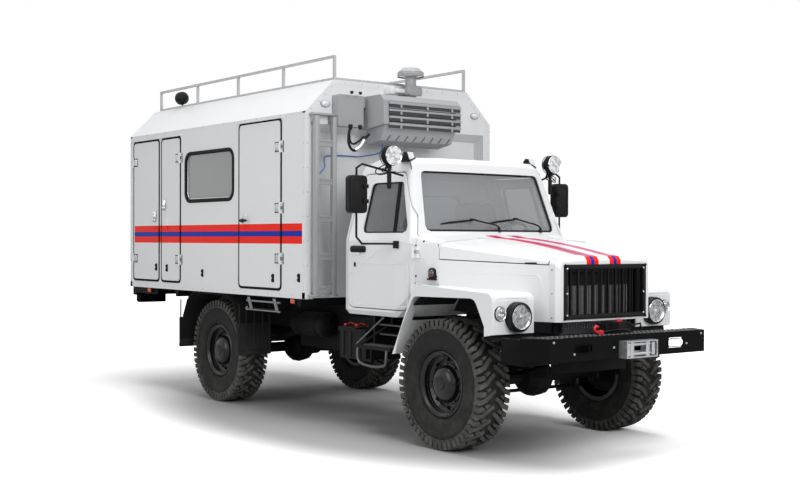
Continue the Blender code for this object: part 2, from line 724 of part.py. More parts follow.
def zinc():
    return finish("zinc", (0.55, 0.56, 0.58), 0.38, 0.9)


def rubber():
    return finish("rubber", (0.03, 0.03, 0.032), 0.85)


def dark_glass():
    return finish("dark_glass", (0.10, 0.11, 0.12), 0.08)


def cast_iron():
    return finish("cast_iron", (0.06, 0.06, 0.065), 0.6, 0.4)


def seat_cloth():
    return finish("seat_cloth", (0.12, 0.12, 0.13), 0.9)


PIVOTS = {}


def pivot(name, place, parent=None):
    """Place an empty on a joint's axis, for the pieces that move about it."""
    empty = bpy.data.objects.new(name, None)
    bpy.context.collection.objects.link(empty)
    under = PIVOTS[parent][1] if parent else Vector((0, 0, 0))
    empty.location = Vector(place) - under
    if parent:
        empty.parent = PIVOTS[parent][0]
    PIVOTS[name] = (empty, Vector(place))
    return name


def make(name, material, shapes, cuts=(), keep=(), joint=None):
    """Make one named piece: its bodies joined, then kept inside some bodies and cut by others."""
    piece = bpy.data.objects.new(name, gathered(name, shapes[:1]))
    bpy.context.collection.objects.link(piece)
    piece.data.materials.append(material)
    if len(shapes) > 1:
        work(piece, shapes[1:], "UNION")
    for shape in keep:
        work(piece, [shape], "INTERSECT")
    if cuts:
        work(piece, list(cuts), "DIFFERENCE")
    piece.data.transform(Matrix.Translation((origin_shift(), 0, 0)))
    piece.data.shade_smooth()
    piece.data.set_sharp_from_angle(angle=math.radians(30))
    if joint:
        empty, place = PIVOTS[joint]
        piece.parent = empty
        piece.location = -place
    return piece


def origin_shift():
    """Return how far the front axle stands ahead of the middle of the truck's length."""
    front = BUMPER_FACE_X + SEAM + FAIRLEAD_DEPTH
    rear = van_rear() - REAR_BAR_OVERHANG
    return -(front + rear) / 2


def van_front():
    return CAB_REAR_X - CAB_TO_VAN


def van_rear():
    return van_front() - VAN_LENGTH


def shifted(x, y, z):
    """Return a place of the truck in the part's own frame."""
    return Vector((x + origin_shift(), y, z))


# Wheels, axles and springs


def hub_place(front, side):
    """Return the middle of a wheel."""
    x = 0 if front else -WHEELBASE
    track = FRONT_TRACK if front else REAR_TRACK
    return Vector((x, side * track / 2, TYRE_RADIUS))


def tyre_profile():
    """Return a tyre's section as (place outwards from its middle, radius) points."""
    bead = RIM_WIDTH / 2 - RIM_WALL - BEAD_GAP
    seat = RIM_RADIUS + BEAD_GAP
    lip = RIM_RADIUS + RIM_FLANGE + BEAD_GAP
    half = TYRE_WIDTH / 2
    wall_height = TYRE_RADIUS - lip
    half_section = [(bead, seat), (bead, lip)]
    for across_share, up_share in ((0.90, 0.10), (1.00, 0.38), (0.985, 0.70), (0.90, 0.93), (0.70, 0.985)):
        half_section.append((half * across_share, lip + wall_height * up_share))
    half_section.append((half * 0.30, TYRE_RADIUS))
    return half_section + [(-place, radius) for place, radius in reversed(half_section)]


def wheel_profile():
    """Return the section of a wheel with its hub, from the outside of the hub's cap inwards."""
    half = RIM_WIDTH / 2
    lip = RIM_RADIUS + RIM_FLANGE
    inside = RIM_RADIUS - RIM_WALL
    cap = half + RIM_WALL / 2
    dish = half * 0.30
    cap_shares = ((1.00, 0.0), (0.95, 0.56), (0.64, 0.97))
    points = [(cap * along, HUB_RADIUS * out) for along, out in cap_shares]
    points += [(dish + RIM_WALL, HUB_RADIUS * 1.06), (dish + RIM_WALL * 0.6, inside * 0.86),
               (dish * 1.8, inside)]
    points += [(half - RIM_WALL, inside), (half, lip - RIM_WALL), (half, lip), (half - RIM_WALL, lip)]
    points += [(half - RIM_WALL, RIM_RADIUS), (RIM_WALL - half, RIM_RADIUS), (RIM_WALL - half, lip)]
    points += [(-half, lip), (-half, inside), (dish * 1.3, inside), (dish - RIM_WALL, inside * 0.86)]
    bore_end = cap - HUB_RADIUS * 0.5
    inner = cap - HUB_DEPTH
    points += [(dish - RIM_WALL, HUB_RADIUS), (inner, HUB_RADIUS), (inner, HUB_BORE), (bore_end, HUB_BORE)]
    points += [(bore_end, 0)]
    return points


def add_wheels():
    """Make the four wheels and tyres, each on its hub's joint."""
    for front, end in ((True, "front"), (False, "rear")):
        for side, hand in ((-1, "right"), (1, "left")):
            middle = hub_place(front, side)
            parent = "knuckle_" + hand + "_pivot" if front else None
            joint = pivot("hub_" + end + "_" + hand, shifted(*middle), parent)
            wheel = lathe(wheel_profile(), middle, (0, side, 0), WHEEL_SIDES)
            make("wheel_" + end + "_" + hand, black_paint(), [wheel], joint=joint)
            tyre = lathe(tyre_profile(), middle, (0, side, 0), WHEEL_SIDES)
            make("tyre_" + end + "_" + hand, rubber(), [tyre], joint=joint)


def leaf_spring(x, y):
    """Return a pack of leaves with an eye at each end, its middle over an axle."""
    half = SPRING_SPAN / 2
    seat = spring_seat_top()
    thickness = LEAF * LEAVES

    def rise(place):
        return SPRING_CAMBER * (place / half) ** 2

    stations = 4
    top = []
    for step in range(-stations, stations + 1):
        place = half * step / stations
        top.append((x + place, seat + thickness + rise(place)))
    bottom = []
    for leaf in range(LEAVES):
        reach = half * (1 - leaf / (LEAVES + 1))
        under = seat + thickness - LEAF * (leaf + 1)
        inner = half * (1 - (leaf + 1) / (LEAVES + 1))
        bottom.append((x + reach, under + rise(reach)))
        bottom.append((x + inner, under + rise(inner)))
    left = [(2 * x - place, height) for place, height in reversed(bottom)]
    outline = top + bottom + left
    shapes = [prism("y", outline, y - SPRING_WIDTH / 2, y + SPRING_WIDTH / 2)]
    eye = [(-SPRING_WIDTH / 2, 0), (-SPRING_WIDTH / 2, SPRING_EYE), (SPRING_WIDTH / 2, SPRING_EYE)]
    eye.append((SPRING_WIDTH / 2, 0))
    for end in (-half, half):
        shapes.append(lathe(eye, (x + end, y, spring_eye_height()), (0, 1, 0), 12))
    return shapes


def spring_seat_top():
    return TYRE_RADIUS + AXLE_TUBE + SPRING_SEAT


def spring_eye_height():
    return spring_seat_top() + LEAF * (LEAVES - 0.5) + SPRING_CAMBER


def axle_shapes(x, nose_direction):
    """Return an axle's tube with its differential, spring seats and springs."""
    bulge_shares = ((-1.0, 0.30), (-0.80, 0.62), (-0.45, 0.92), (0.0, 1.0), (0.45, 0.92), (0.80, 0.62),
                    (1.0, 0.30))
    housing = [(-DIFF_RADIUS, 0)]
    housing += [(DIFF_RADIUS * along, DIFF_RADIUS * out) for along, out in bulge_shares]
    housing += [(DIFF_RADIUS, 0)]
    shapes = [lathe(housing, (x, 0, TYRE_RADIUS), (0, 1, 0), 12)]
    nose = [(0, 0), (0, NOSE_RADIUS * 1.6), (DIFF_RADIUS, NOSE_RADIUS * 1.3), (DIFF_NOSE, NOSE_RADIUS)]
    nose.append((DIFF_NOSE, 0))
    shapes.append(lathe(nose, (x, 0, TYRE_RADIUS), (nose_direction, 0, 0), 12))
    for side in (-1, 1):
        shapes += leaf_spring(x, side * SPRING_Y)
        seat = SPRING_WIDTH * 0.6
        y_ends = (side * SPRING_Y - seat, side * SPRING_Y + seat)
        shapes.append(block((x - seat, x + seat), y_ends, (TYRE_RADIUS, spring_seat_top() + LEAF * 0.5)))
    return shapes


def add_front_axle():
    """Make the driven front axle, which ends in a yoke for each kingpin."""
    shapes = axle_shapes(0, -1)
    inner = KINGPIN_Y - YOKE_WIDTH / 2 - KINGPIN_RADIUS
    beam = [(-inner, 0), (-inner, AXLE_TUBE), (inner, AXLE_TUBE), (inner, 0)]
    shapes.append(lathe(beam, (0, 0, TYRE_RADIUS), (0, 1, 0), 12))
    half = YOKE_WIDTH / 2
    arm = YOKE_REACH
    for side in (-1, 1):
        inner_y = side * (inner - YOKE_PLATE)
        outer_y = side * inner
        shapes.append(block((-half, half), sorted((inner_y, outer_y)),
                            (TYRE_RADIUS - arm, TYRE_RADIUS + arm)))
        end_y = side * (KINGPIN_Y + half)
        for way in (-1, 1):
            z_ends = sorted((TYRE_RADIUS + way * arm, TYRE_RADIUS + way * (arm - YOKE_PLATE)))
            shapes.append(block((-half, half), sorted((inner_y, end_y)), z_ends))
    make("front_axle", cast_iron(), shapes)


def add_rear_axle():
    """Make the rear axle, whose ends are the spindles of the rear wheels."""
    x = -WHEELBASE
    shapes = axle_shapes(x, 1)
    plate = REAR_TRACK / 2 + RIM_WIDTH / 2 + RIM_WALL / 2 - HUB_DEPTH - PIN_GAP
    end = REAR_TRACK / 2 + RIM_WIDTH * 0.2
    profile = [(-end, 0), (-end, SPINDLE_RADIUS), (-plate, SPINDLE_RADIUS), (-plate, BRAKE_RADIUS)]
    profile += [(BRAKE_PLATE - plate, BRAKE_RADIUS), (BRAKE_PLATE - plate, AXLE_TUBE)]
    profile += [(-place, radius) for place, radius in reversed(profile)]
    shapes.append(lathe(profile, (x, 0, TYRE_RADIUS), (0, 1, 0), 16))
    make("rear_axle", cast_iron(), shapes)


def steer_arm_end(side):
    return Vector((-STEER_ARM_BACK, side * (KINGPIN_Y - STEER_ARM_IN), TYRE_RADIUS - STEER_ARM_DROP))


def add_steering():
    """Make the knuckles on their kingpins and the rod that ties them together."""
    pin_half = YOKE_REACH - YOKE_PLATE - PIN_GAP
    for side, hand in ((-1, "right"), (1, "left")):
        place = Vector((0, side * KINGPIN_Y, TYRE_RADIUS))
        joint = pivot("knuckle_" + hand + "_pivot", shifted(*place))
        pin = [(-pin_half, 0), (-pin_half, KINGPIN_RADIUS), (pin_half, KINGPIN_RADIUS), (pin_half, 0)]
        shapes = [lathe(pin, place, (0, 0, 1), 12)]
        plate = FRONT_TRACK / 2 + RIM_WIDTH / 2 + RIM_WALL / 2 - HUB_DEPTH - PIN_GAP - KINGPIN_Y
        end = FRONT_TRACK / 2 + RIM_WIDTH * 0.2 - KINGPIN_Y
        spindle = [(0, 0), (0, SPINDLE_RADIUS), (end, SPINDLE_RADIUS), (end, 0)]
        shapes.append(lathe(spindle, place, (0, side, 0), 12))
        disc = [(plate - BRAKE_PLATE, 0), (plate - BRAKE_PLATE, BRAKE_RADIUS), (plate, BRAKE_RADIUS),
                (plate, 0)]
        if plate - BRAKE_PLATE > YOKE_WIDTH / 2:
            shapes.append(lathe(disc, place, (0, side, 0), 16))
        tip = steer_arm_end(side)
        bend = Vector((-KINGPIN_RADIUS * 3, side * KINGPIN_Y, TYRE_RADIUS))
        shapes.append(tube([place, bend, tip], STEER_ARM_RADIUS, 6))
        boss = [(0, 0), (0, TIE_END_RADIUS), (TIE_END_RADIUS * 1.4, TIE_END_RADIUS),
                (TIE_END_RADIUS * 1.4, 0)]
        shapes.append(lathe(boss, tip - Vector((0, 0, TIE_END_RADIUS)), (0, 0, 1), 12))
        make("knuckle_" + hand, cast_iron(), shapes, joint=joint)
    joint = pivot("tie_rod_pivot", shifted(*steer_arm_end(-1)), "knuckle_right_pivot")
    top = TYRE_RADIUS - STEER_ARM_DROP - TIE_END_RADIUS - PIN_GAP
    eye = [(-TIE_END_RADIUS * 1.4, 0), (-TIE_END_RADIUS * 1.4, TIE_END_RADIUS), (0, TIE_END_RADIUS), (0, 0)]
    ends = [Vector((tip.x, tip.y, top)) for tip in (steer_arm_end(-1), steer_arm_end(1))]
    shapes = [lathe(eye, end, (0, 0, 1), 12) for end in ends]
    drop = Vector((0, 0, TIE_END_RADIUS * 0.7))
    shapes.append(tube([ends[0] - drop, ends[1] - drop], TIE_ROD_RADIUS))
    make("tie_rod", cast_iron(), shapes, joint=joint)


# Chassis


def add_chassis_frame():
    """Make the two C rails with their cross members, spring hangers, outriggers and subframe."""
    front = BUMPER_FACE_X - BUMPER_WALL - SEAM
    rear = van_rear() + SUBFRAME_SETBACK
    outer = RAIL_Y + RAIL_FLANGE / 2
    inner = RAIL_Y - RAIL_FLANGE / 2
    wall = RAIL_WALL
    section = [(outer, RAIL_BOTTOM), (outer, RAIL_TOP), (inner, RAIL_TOP), (inner, RAIL_TOP - wall)]
    section += [(outer - wall, RAIL_TOP - wall), (outer - wall, RAIL_BOTTOM + wall)]
    section += [(inner, RAIL_BOTTOM + wall), (inner, RAIL_BOTTOM)]
    shapes = []
    for side in (-1, 1):
        shapes += on_side([prism("x", section, rear, front)], side)
        beam = [RAIL_Y - SUBFRAME_WIDTH / 2, RAIL_Y + SUBFRAME_WIDTH / 2]
        beam_top = VAN_FLOOR - SUBFRAME_BEAM * 0.5
        beam_shape = block((rear, van_front() - SUBFRAME_SETBACK), beam, (RAIL_TOP - wall / 2, beam_top))
        shapes += on_side([beam_shape], side)
        for x in OUTRIGGER_PLACES_X:
            y_ends = (outer - wall / 2, OUTRIGGER_REACH)
            z_ends = (OUTRIGGER_BOTTOM, CAB_FLOOR - SEAM)
            shapes += on_side([block((x - OUTRIGGER_LENGTH / 2, x + OUTRIGGER_LENGTH / 2), y_ends,
                                     z_ends)], side)
        for axle in (0, -WHEELBASE):
            for end in (-1, 1):
                shapes += on_side(spring_hanger(axle + end * SPRING_SPAN / 2), side)
    reach = outer - wall / 2
    for x in MEMBER_PLACES_X:
        ends = (x - MEMBER_LENGTH / 2, x + MEMBER_LENGTH / 2)
        shapes.append(block(ends, (-reach, reach), (MEMBER_BOTTOM, MEMBER_TOP)))
    for x in FLOOR_BEAM_PLACES_X:
        ends = (x - MEMBER_LENGTH / 2, x + MEMBER_LENGTH / 2)
        z_ends = (VAN_FLOOR - SUBFRAME_BEAM, VAN_FLOOR - SEAM)
        shapes.append(block(ends, (-FLOOR_BEAM_REACH, FLOOR_BEAM_REACH), z_ends))
    make("chassis_frame", black_paint(), shapes)


def spring_hanger(x):
    """Return the two cheeks that hold a spring's eye under the left rail."""
    half = SPRING_WIDTH / 2 + SEAM
    length = SPRING_EYE * 1.2
    z_ends = (spring_eye_height() - length, RAIL_BOTTOM + RAIL_WALL / 2)
    cheeks = []
    for low, high in ((-half - CHEEK, -half), (half, half + CHEEK)):
        cheeks.append(block((x - length, x + length), (SPRING_Y + low, SPRING_Y + high), z_ends))
    return cheeks


def bumper_outline(inset):
    """Return the bumper's outline from above, with its face and swept ends moved in by an inset."""
    face = BUMPER_FACE_X - inset
    back = BUMPER_END_X if inset == 0 else BUMPER_END_X - OVERRUN
    depth = BUMPER_FACE_X - BUMPER_DEPTH if inset == 0 else BUMPER_FACE_X - BUMPER_DEPTH - OVERRUN
    end = BUMPER_END_Y - inset
    knee = BUMPER_STRAIGHT_Y - inset * 0.6
    half = [(face, knee), (back, end), (back, end - BUMPER_DEPTH * 0.4), (depth, knee * 0.80)]
    return half + [(x, -y) for x, y in reversed(half)]


def add_front_bumper():
    """Make the folded steel bumper with hook holes and the winch rope's window."""
    shape = prism("z", bumper_outline(0), BUMPER_BOTTOM, BUMPER_TOP)
    hollow = prism("z", bumper_outline(BUMPER_WALL), BUMPER_BOTTOM + BUMPER_WALL, BUMPER_TOP - BUMPER_WALL)
    cuts = [hollow]
    x_ends = (BUMPER_FACE_X - OVERRUN, BUMPER_FACE_X + OVERRUN)
    middle = (BUMPER_BOTTOM + BUMPER_TOP) / 2
    for side in (-1, 1):
        y = side * HOOK_HOLE_Y
        low = (y - HOOK_HOLE_LENGTH / 2, middle - HOOK_HOLE_HEIGHT / 2)
        high = (y + HOOK_HOLE_LENGTH / 2, middle + HOOK_HOLE_HEIGHT / 2)
        cuts.append(prism("x", rounded(rectangle(low, high), HOOK_HOLE_HEIGHT * 0.4), *x_ends))
    window = [(FAIRLEAD_Y + across * WINDOW_WIDTH / 2, fairlead_height() + up * WINDOW_HEIGHT / 2)
              for across, up in ((-1, -1), (1, -1), (1, 1), (-1, 1))]
    cuts.append(prism("x", window, *x_ends))
    make("front_bumper", black_paint(), [shape], cuts)


def fairlead_height():
    return BUMPER_BOTTOM + FAIRLEAD_HEIGHT / 2


def add_fairlead():
    """Make the rope guide: a plate, two end channels and two pairs of rollers."""
    back = BUMPER_FACE_X + SEAM
    front = back + FAIRLEAD_DEPTH
    half_width = FAIRLEAD_WIDTH / 2
    half_height = FAIRLEAD_HEIGHT / 2
    middle = fairlead_height()
    y_low, y_high = FAIRLEAD_Y - half_width, FAIRLEAD_Y + half_width
    z_low, z_high = middle - half_height, middle + half_height
    plate = FAIRLEAD_PLATE
    shapes = [block((back, back + plate), (y_low, y_high), (z_low, z_high))]
    for z_ends in ((z_low, z_low + plate), (z_high - plate, z_high)):
        shapes.append(block((back, front), (y_low, y_high), z_ends))
    for y_ends in ((y_low, y_low + plate), (y_high - plate, y_high)):
        shapes.append(block((back, front), y_ends, (z_low, z_high)))
    roller_x = back + FAIRLEAD_DEPTH * 0.60
    for share in (-0.42, 0.42):
        y = FAIRLEAD_Y + FAIRLEAD_WIDTH * share * 0.6
        ends = [(roller_x, y, z_low + plate / 2), (roller_x, y, z_high - plate / 2)]
        shapes.append(tube(ends, ROLLER_RADIUS, 8))
    lay_x = back + FAIRLEAD_DEPTH * 0.30
    for share in (-0.30, 0.30):
        z = middle + FAIRLEAD_HEIGHT * share
        ends = [(lay_x, y_low + plate / 2, z), (lay_x, y_high - plate / 2, z)]
        shapes.append(tube(ends, ROLLER_RADIUS * 0.7, 6))
    opening = [(FAIRLEAD_Y + across * WINDOW_WIDTH * 0.3, middle + up * WINDOW_HEIGHT * 0.3)
               for across, up in ((-1, -1), (1, -1), (1, 1), (-1, 1))]
    cuts = [prism("x", opening, back - OVERRUN, back + plate * 1.5)]
    make("fairlead", zinc(), shapes, cuts)


def add_winch():
    """Make the winch on its tray between the rails, with the control box above it."""
    rear = WINCH_FRONT_X - WINCH_LENGTH
    reach = RAIL_Y + RAIL_FLANGE / 2 - RAIL_WALL - SEAM
    tray_top = WINCH_BASE + WINCH_TRAY
    shapes = [block((rear, WINCH_FRONT_X), (-reach, reach), (WINCH_BASE, tray_top))]
    for side in (-1, 1):
        y_ends = sorted((side * WINCH_HALF_WIDTH, side * (WINCH_HALF_WIDTH - WINCH_CHEEK)))
        outline = rounded(rectangle((rear, tray_top - WINCH_TRAY / 2),
                                    (WINCH_FRONT_X - SEAM * 2, WINCH_TOP - RAIL_WALL * 3)),
                          [0, 0, WINCH_CHEEK * 0.4, WINCH_CHEEK * 0.4])
        shapes.append(prism("y", outline, *y_ends))
    drum_x = (rear + WINCH_FRONT_X) / 2
    drum_z = (tray_top + WINCH_TOP) / 2 - RAIL_WALL
    ends = [(drum_x, -WINCH_HALF_WIDTH + WINCH_CHEEK / 2, drum_z),
            (drum_x, WINCH_HALF_WIDTH - WINCH_CHEEK / 2, drum_z)]
    shapes.append(tube(ends, DRUM_RADIUS, 12))
    box_half = CONTROL_BOX_WIDTH / 2
    box_ends = (rear - CONTROL_BOX_LENGTH * 0.35, rear + CONTROL_BOX_LENGTH * 0.65)
    shapes.append(block(box_ends, (-box_half, box_half), (drum_z, CONTROL_BOX_TOP)))
    make("winch", black_paint(), shapes)


def add_engine():
    """Make the engine with its gearbox as one plain block on two feet."""
    shapes = [block((ENGINE_REAR_X, ENGINE_FRONT_X), (-ENGINE_HALF_WIDTH, ENGINE_HALF_WIDTH),
                    (ENGINE_BOTTOM, ENGINE_TOP))]
    box_front = ENGINE_REAR_X + ENGINE_FOOT_LENGTH
    shapes.append(block((GEARBOX_REAR_X, box_front), (-GEARBOX_HALF_WIDTH, GEARBOX_HALF_WIDTH),
                        (GEARBOX_BOTTOM, GEARBOX_TOP)))
    reach = RAIL_Y + RAIL_FLANGE / 2 - RAIL_WALL - SEAM
    foot = (ENGINE_FOOT_X - ENGINE_FOOT_LENGTH / 2, ENGINE_FOOT_X + ENGINE_FOOT_LENGTH / 2)
    foot_bottom = ENGINE_BOTTOM + ENGINE_FOOT_HEIGHT / 2
    shapes.append(block(foot, (-reach, reach), (foot_bottom, foot_bottom + ENGINE_FOOT_HEIGHT)))
    make("engine", cast_iron(), shapes)


def add_radiator():
    """Make the radiator, which stands on the two rails."""
    x = MEMBER_PLACES_X[0]
    half = RADIATOR_THICKNESS / 2
    tank = (RADIATOR_TOP - RAIL_TOP) * 0.12
    shapes = [block((x - half * 0.7, x + half * 0.7), (-RADIATOR_HALF_WIDTH, RADIATOR_HALF_WIDTH),
                    (RAIL_TOP + SEAM, RADIATOR_TOP))]
    for z_ends in ((RAIL_TOP + SEAM, RAIL_TOP + tank), (RADIATOR_TOP - tank, RADIATOR_TOP)):
        shapes.append(block((x - half, x + half),
                            (-RADIATOR_HALF_WIDTH * 1.01, RADIATOR_HALF_WIDTH * 1.01), z_ends))
    make("radiator", cast_iron(), shapes)


def add_driveline():
    """Make the transfer case under its cross member, with a shaft to each axle."""
    x = MEMBER_PLACES_X[1]
    half = TRANSFER_LENGTH / 2
    shapes = [block((x - half, x + half), (-TRANSFER_HALF_WIDTH, TRANSFER_HALF_WIDTH),
                    (TRANSFER_BOTTOM, MEMBER_BOTTOM - SEAM))]
    flange = [(0, 0), (0, FLANGE_RADIUS), (FLANGE_LENGTH, FLANGE_RADIUS), (FLANGE_LENGTH, 0)]
    for axle_x, way in ((0, -1), (-WHEELBASE, 1)):
        nose_x = axle_x + way * (DIFF_NOSE + SEAM)
        far = Vector((nose_x + way * FLANGE_LENGTH / 2, 0, TYRE_RADIUS))
        near = Vector((x - way * half * 0.9, 0, SHAFT_HEIGHT))
        shapes.append(lathe(flange, (nose_x, 0, TYRE_RADIUS), (way, 0, 0), 12))
        shapes.append(tube([far, near], SHAFT_RADIUS, 10))
    make("driveline", cast_iron(), shapes)


def rail_side():
    """Return the place of a piece that is bolted to the outside of the left rail."""
    return RAIL_Y + RAIL_FLANGE / 2 + SEAM


def add_fuel_tank():
    """Make the fuel tank on the left rail, with its two straps and filler neck."""
    outline = rounded(rectangle((rail_side(), TANK_BOTTOM), (TANK_REACH, TANK_TOP)),
                      [0, TANK_CORNER, TANK_CORNER, 0])
    rear = TANK_FRONT_X - TANK_LENGTH
    shapes = [prism("x", outline, rear, TANK_FRONT_X)]
    strap = TANK_CORNER * 0.08
    wide = rounded(rectangle((rail_side(), TANK_BOTTOM - strap), (TANK_REACH + strap, TANK_TOP + strap)),
                   [0, TANK_CORNER, TANK_CORNER, 0])
    for share in (0.25, 0.75):
        x = rear + TANK_LENGTH * share
        shapes.append(prism("x", wide, x - TANK_CORNER / 2, x + TANK_CORNER / 2))
    neck = [(0, 0), (0, TANK_CORNER * 0.7), (TANK_CORNER * 0.9, TANK_CORNER * 0.7), (TANK_CORNER * 0.9, 0)]
    place = (TANK_FRONT_X - TANK_CORNER * 2, TANK_REACH - TANK_CORNER * 1.6, TANK_TOP - TANK_CORNER * 0.3)
    shapes.append(lathe(neck, place, (0, 0, 1), 12))
    make("fuel_tank", black_paint(), shapes)


def add_exhaust():
    """Make the silencer and its tail pipe, hung from the left rail behind the tank."""
    rear = MUFFLER_FRONT_X - MUFFLER_LENGTH
    z = RAIL_BOTTOM + MUFFLER_RADIUS * 0.2
    can = [(0, 0), (0, MUFFLER_RADIUS * 0.8), (MUFFLER_RADIUS * 0.2, MUFFLER_RADIUS)]
    can += [(MUFFLER_LENGTH - MUFFLER_RADIUS * 0.2, MUFFLER_RADIUS), (MUFFLER_LENGTH, MUFFLER_RADIUS * 0.8)]
    can += [(MUFFLER_LENGTH, 0)]
    shapes = [lathe(can, (rear, MUFFLER_Y, z), (1, 0, 0), 16)]
    for share in (0.2, 0.8):
        x = rear + MUFFLER_LENGTH * share
        shapes.append(block((x - PIPE_HANGER / 2, x + PIPE_HANGER / 2), (rail_side(), MUFFLER_Y),
                            (z, z + PIPE_HANGER)))
    bend = MUFFLER_RADIUS * 1.2
    path = [(rear + bend, MUFFLER_Y, z), (rear - bend * 0.4, MUFFLER_Y, z),
            (rear - bend, MUFFLER_Y + bend * 0.6, z - bend * 0.3)]
    shapes.append(tube(path, PIPE_RADIUS))
    make("exhaust", cast_iron(), shapes)


def step_shapes():
    """Return the cab's entry step on the left side, which hangs from the cab's floor."""
    front, rear = STEP_FRONT_X, STEP_REAR_X
    bar = STEP_BAR
    top = CAB_FLOOR - SEAM
    tread = block((rear, front), (STEP_INNER_Y, STEP_OUTER_Y),
                  (STEP_TREAD_TOP - STEP_TREAD, STEP_TREAD_TOP))
    shapes = [tread]
    leg_y = STEP_INNER_Y + bar
    for x in (front - bar, rear + bar):
        shapes.append(block((x - bar, x + bar), (STEP_INNER_Y, STEP_INNER_Y + bar * 2),
                            (STEP_TREAD_TOP - STEP_TREAD / 2, top)))
    for height in STEP_RUNG_HEIGHTS:
        shapes.append(tube([(front - bar, leg_y, height), (rear + bar, leg_y, height)], bar * 0.7, 6))
    hand = STEP_OUTER_Y - bar * 1.5
    stay_x = (front + rear) / 2
    stay = [(rear + bar * 3, hand, STEP_TREAD_TOP - STEP_TREAD / 2), (stay_x, leg_y, top - bar * 4),
            (stay_x, leg_y, top - bar)]
    shapes.append(tube(stay, bar * 0.7, 6))
    low = STEP_TREAD_TOP - STEP_TREAD - (CAB_FLOOR - STEP_TREAD_TOP) * 0.40
    loop = [(rear + bar * 4, hand, STEP_TREAD_TOP - STEP_TREAD / 2), (rear + bar * 5, hand, low),
            (rear + bar * 16, hand, low), (rear + bar * 17, hand, STEP_TREAD_TOP - STEP_TREAD / 2)]
    shapes.append(tube(loop, bar * 0.8, 6))
    middle = (front + rear) / 2
    shapes.append(block((middle - bar, middle + bar), (leg_y - bar / 2, leg_y + bar / 2),
                        (STEP_RUNG_HEIGHTS[1] - bar, top)))
    return shapes


def add_steps():
    """Make the steps under the cab's doors, the right one with the battery box behind it."""
    for side, hand in ((-1, "right"), (1, "left")):
        shapes = step_shapes() + (battery_shapes() if side < 0 else [])
        make("step_" + hand, black_paint(), on_side(shapes, side))


def battery_shapes():
    """Return the battery box on the left rail, joined by a bar to the step ahead of it."""
    outline = rectangle((rail_side(), BATTERY_BOTTOM), (BATTERY_REACH, BATTERY_TOP))
    lid = block((BATTERY_REAR_X - STEP_BAR, BATTERY_FRONT_X + STEP_BAR),
                (rail_side(), BATTERY_REACH + STEP_BAR),
                (BATTERY_TOP - STEP_BAR * 2, BATTERY_TOP))
    tie = block((BATTERY_FRONT_X - STEP_BAR, STEP_REAR_X + STEP_BAR),
                (STEP_INNER_Y, STEP_INNER_Y + STEP_BAR * 2),
                (STEP_TREAD_TOP - STEP_TREAD, STEP_TREAD_TOP))
    return [prism("x", outline, BATTERY_REAR_X, BATTERY_FRONT_X), lid, tie]


def guard_path(inset):
    """Return the rear mudguard's arch from its rear foot to its front foot, moved in by an inset."""
    x = -WHEELBASE
    half = GUARD_HALF_SPAN - inset
    top = GUARD_TOP - inset
    rise = top - GUARD_BOTTOM
    shares = ((-1.12, 0.0), (-1.0, 0.50), (-0.84, 0.84), (-0.62, 1.0), (0.62, 1.0), (0.84, 0.84),
              (0.94, 0.50), (0.96, 0.0))
    return [(x + half * along, GUARD_BOTTOM + rise * up) for along, up in shares]


def add_mudguards():
    """Make the mudguards over the rear wheels, each hung from the van's floor."""
    for side, hand in ((-1, "right"), (1, "left")):
        outline = guard_path(0) + list(reversed(guard_path(GUARD_SHEET)))
        shapes = [prism("y", outline, GUARD_INNER_Y, GUARD_OUTER_Y)]
        middle = (GUARD_INNER_Y + GUARD_OUTER_Y) / 2
        for share in (-0.4, 0.4):
            x = GUARD_HALF_SPAN * share - WHEELBASE
            shapes.append(block((x - GUARD_HANGER / 2, x + GUARD_HANGER / 2),
                                (middle - GUARD_HANGER, middle + GUARD_HANGER),
                                (GUARD_TOP - GUARD_SHEET / 2, VAN_FLOOR - SEAM)))
        make("mudguard_" + hand, black_paint(), on_side(shapes, side))


def add_rear_bar():
    """Make the bar under the van's tail, with returns along both sides."""
    rear = van_rear() - REAR_BAR_OVERHANG
    front = rear + REAR_BAR_DEPTH
    half = REAR_BAR_HALF_WIDTH
    z_ends = (VAN_FLOOR - SEAM - REAR_BAR_HEIGHT, VAN_FLOOR - SEAM)
    shapes = [block((rear, front), (-half, half), z_ends)]
    for side in (-1, 1):
        y_ends = sorted((side * half, side * (half - REAR_BAR_DEPTH * 0.5)))
        shapes.append(block((rear, rear + REAR_BAR_RETURN), y_ends,
                            (z_ends[0] + REAR_BAR_HEIGHT * 0.3, z_ends[1])))
        lamp = sorted((side * half * 0.95, side * half * 0.65))
        shapes.append(block((rear, front), lamp, (z_ends[0] - REAR_BAR_HEIGHT * 0.9, z_ends[1])))
    make("rear_bar", black_paint(), shapes)


def add_entry_step():
    """Make the step that is stowed under the van's side door."""
    front = van_front() - SIDE_DOOR_SETBACK - (SIDE_DOOR_WIDTH - ENTRY_STEP_LENGTH) / 2
    rear = front - ENTRY_STEP_LENGTH
    outer = VAN_HALF_WIDTH - ENTRY_STEP_BAR
    inner = outer - ENTRY_STEP_DEPTH
    top = VAN_FLOOR - SEAM
    side = [(outer, top), (inner, top), (inner, top - ENTRY_STEP_BAR), (outer, ENTRY_STEP_BOTTOM)]
    shapes = []
    for x_ends in ((front - ENTRY_STEP_PLATE, front), (rear, rear + ENTRY_STEP_PLATE)):
        shapes.append(prism("x", side, *x_ends))
    y_ends = (outer - ENTRY_STEP_BAR, outer)
    shapes.append(block((rear, front), y_ends, (ENTRY_STEP_BOTTOM, ENTRY_STEP_BOTTOM + ENTRY_STEP_BAR)))
    shapes.append(block((rear, front), (inner, outer), (top - ENTRY_STEP_PLATE * 2, top)))
    make("entry_step", zinc(), on_side(shapes, -1))


# Cab


def lean(z):
    """Return how far the cab's side stands in from its widest place at a height."""
    return CAB_LEAN * max(0.0, z - CAB_BELT) / CAB_LEAN_HEIGHT


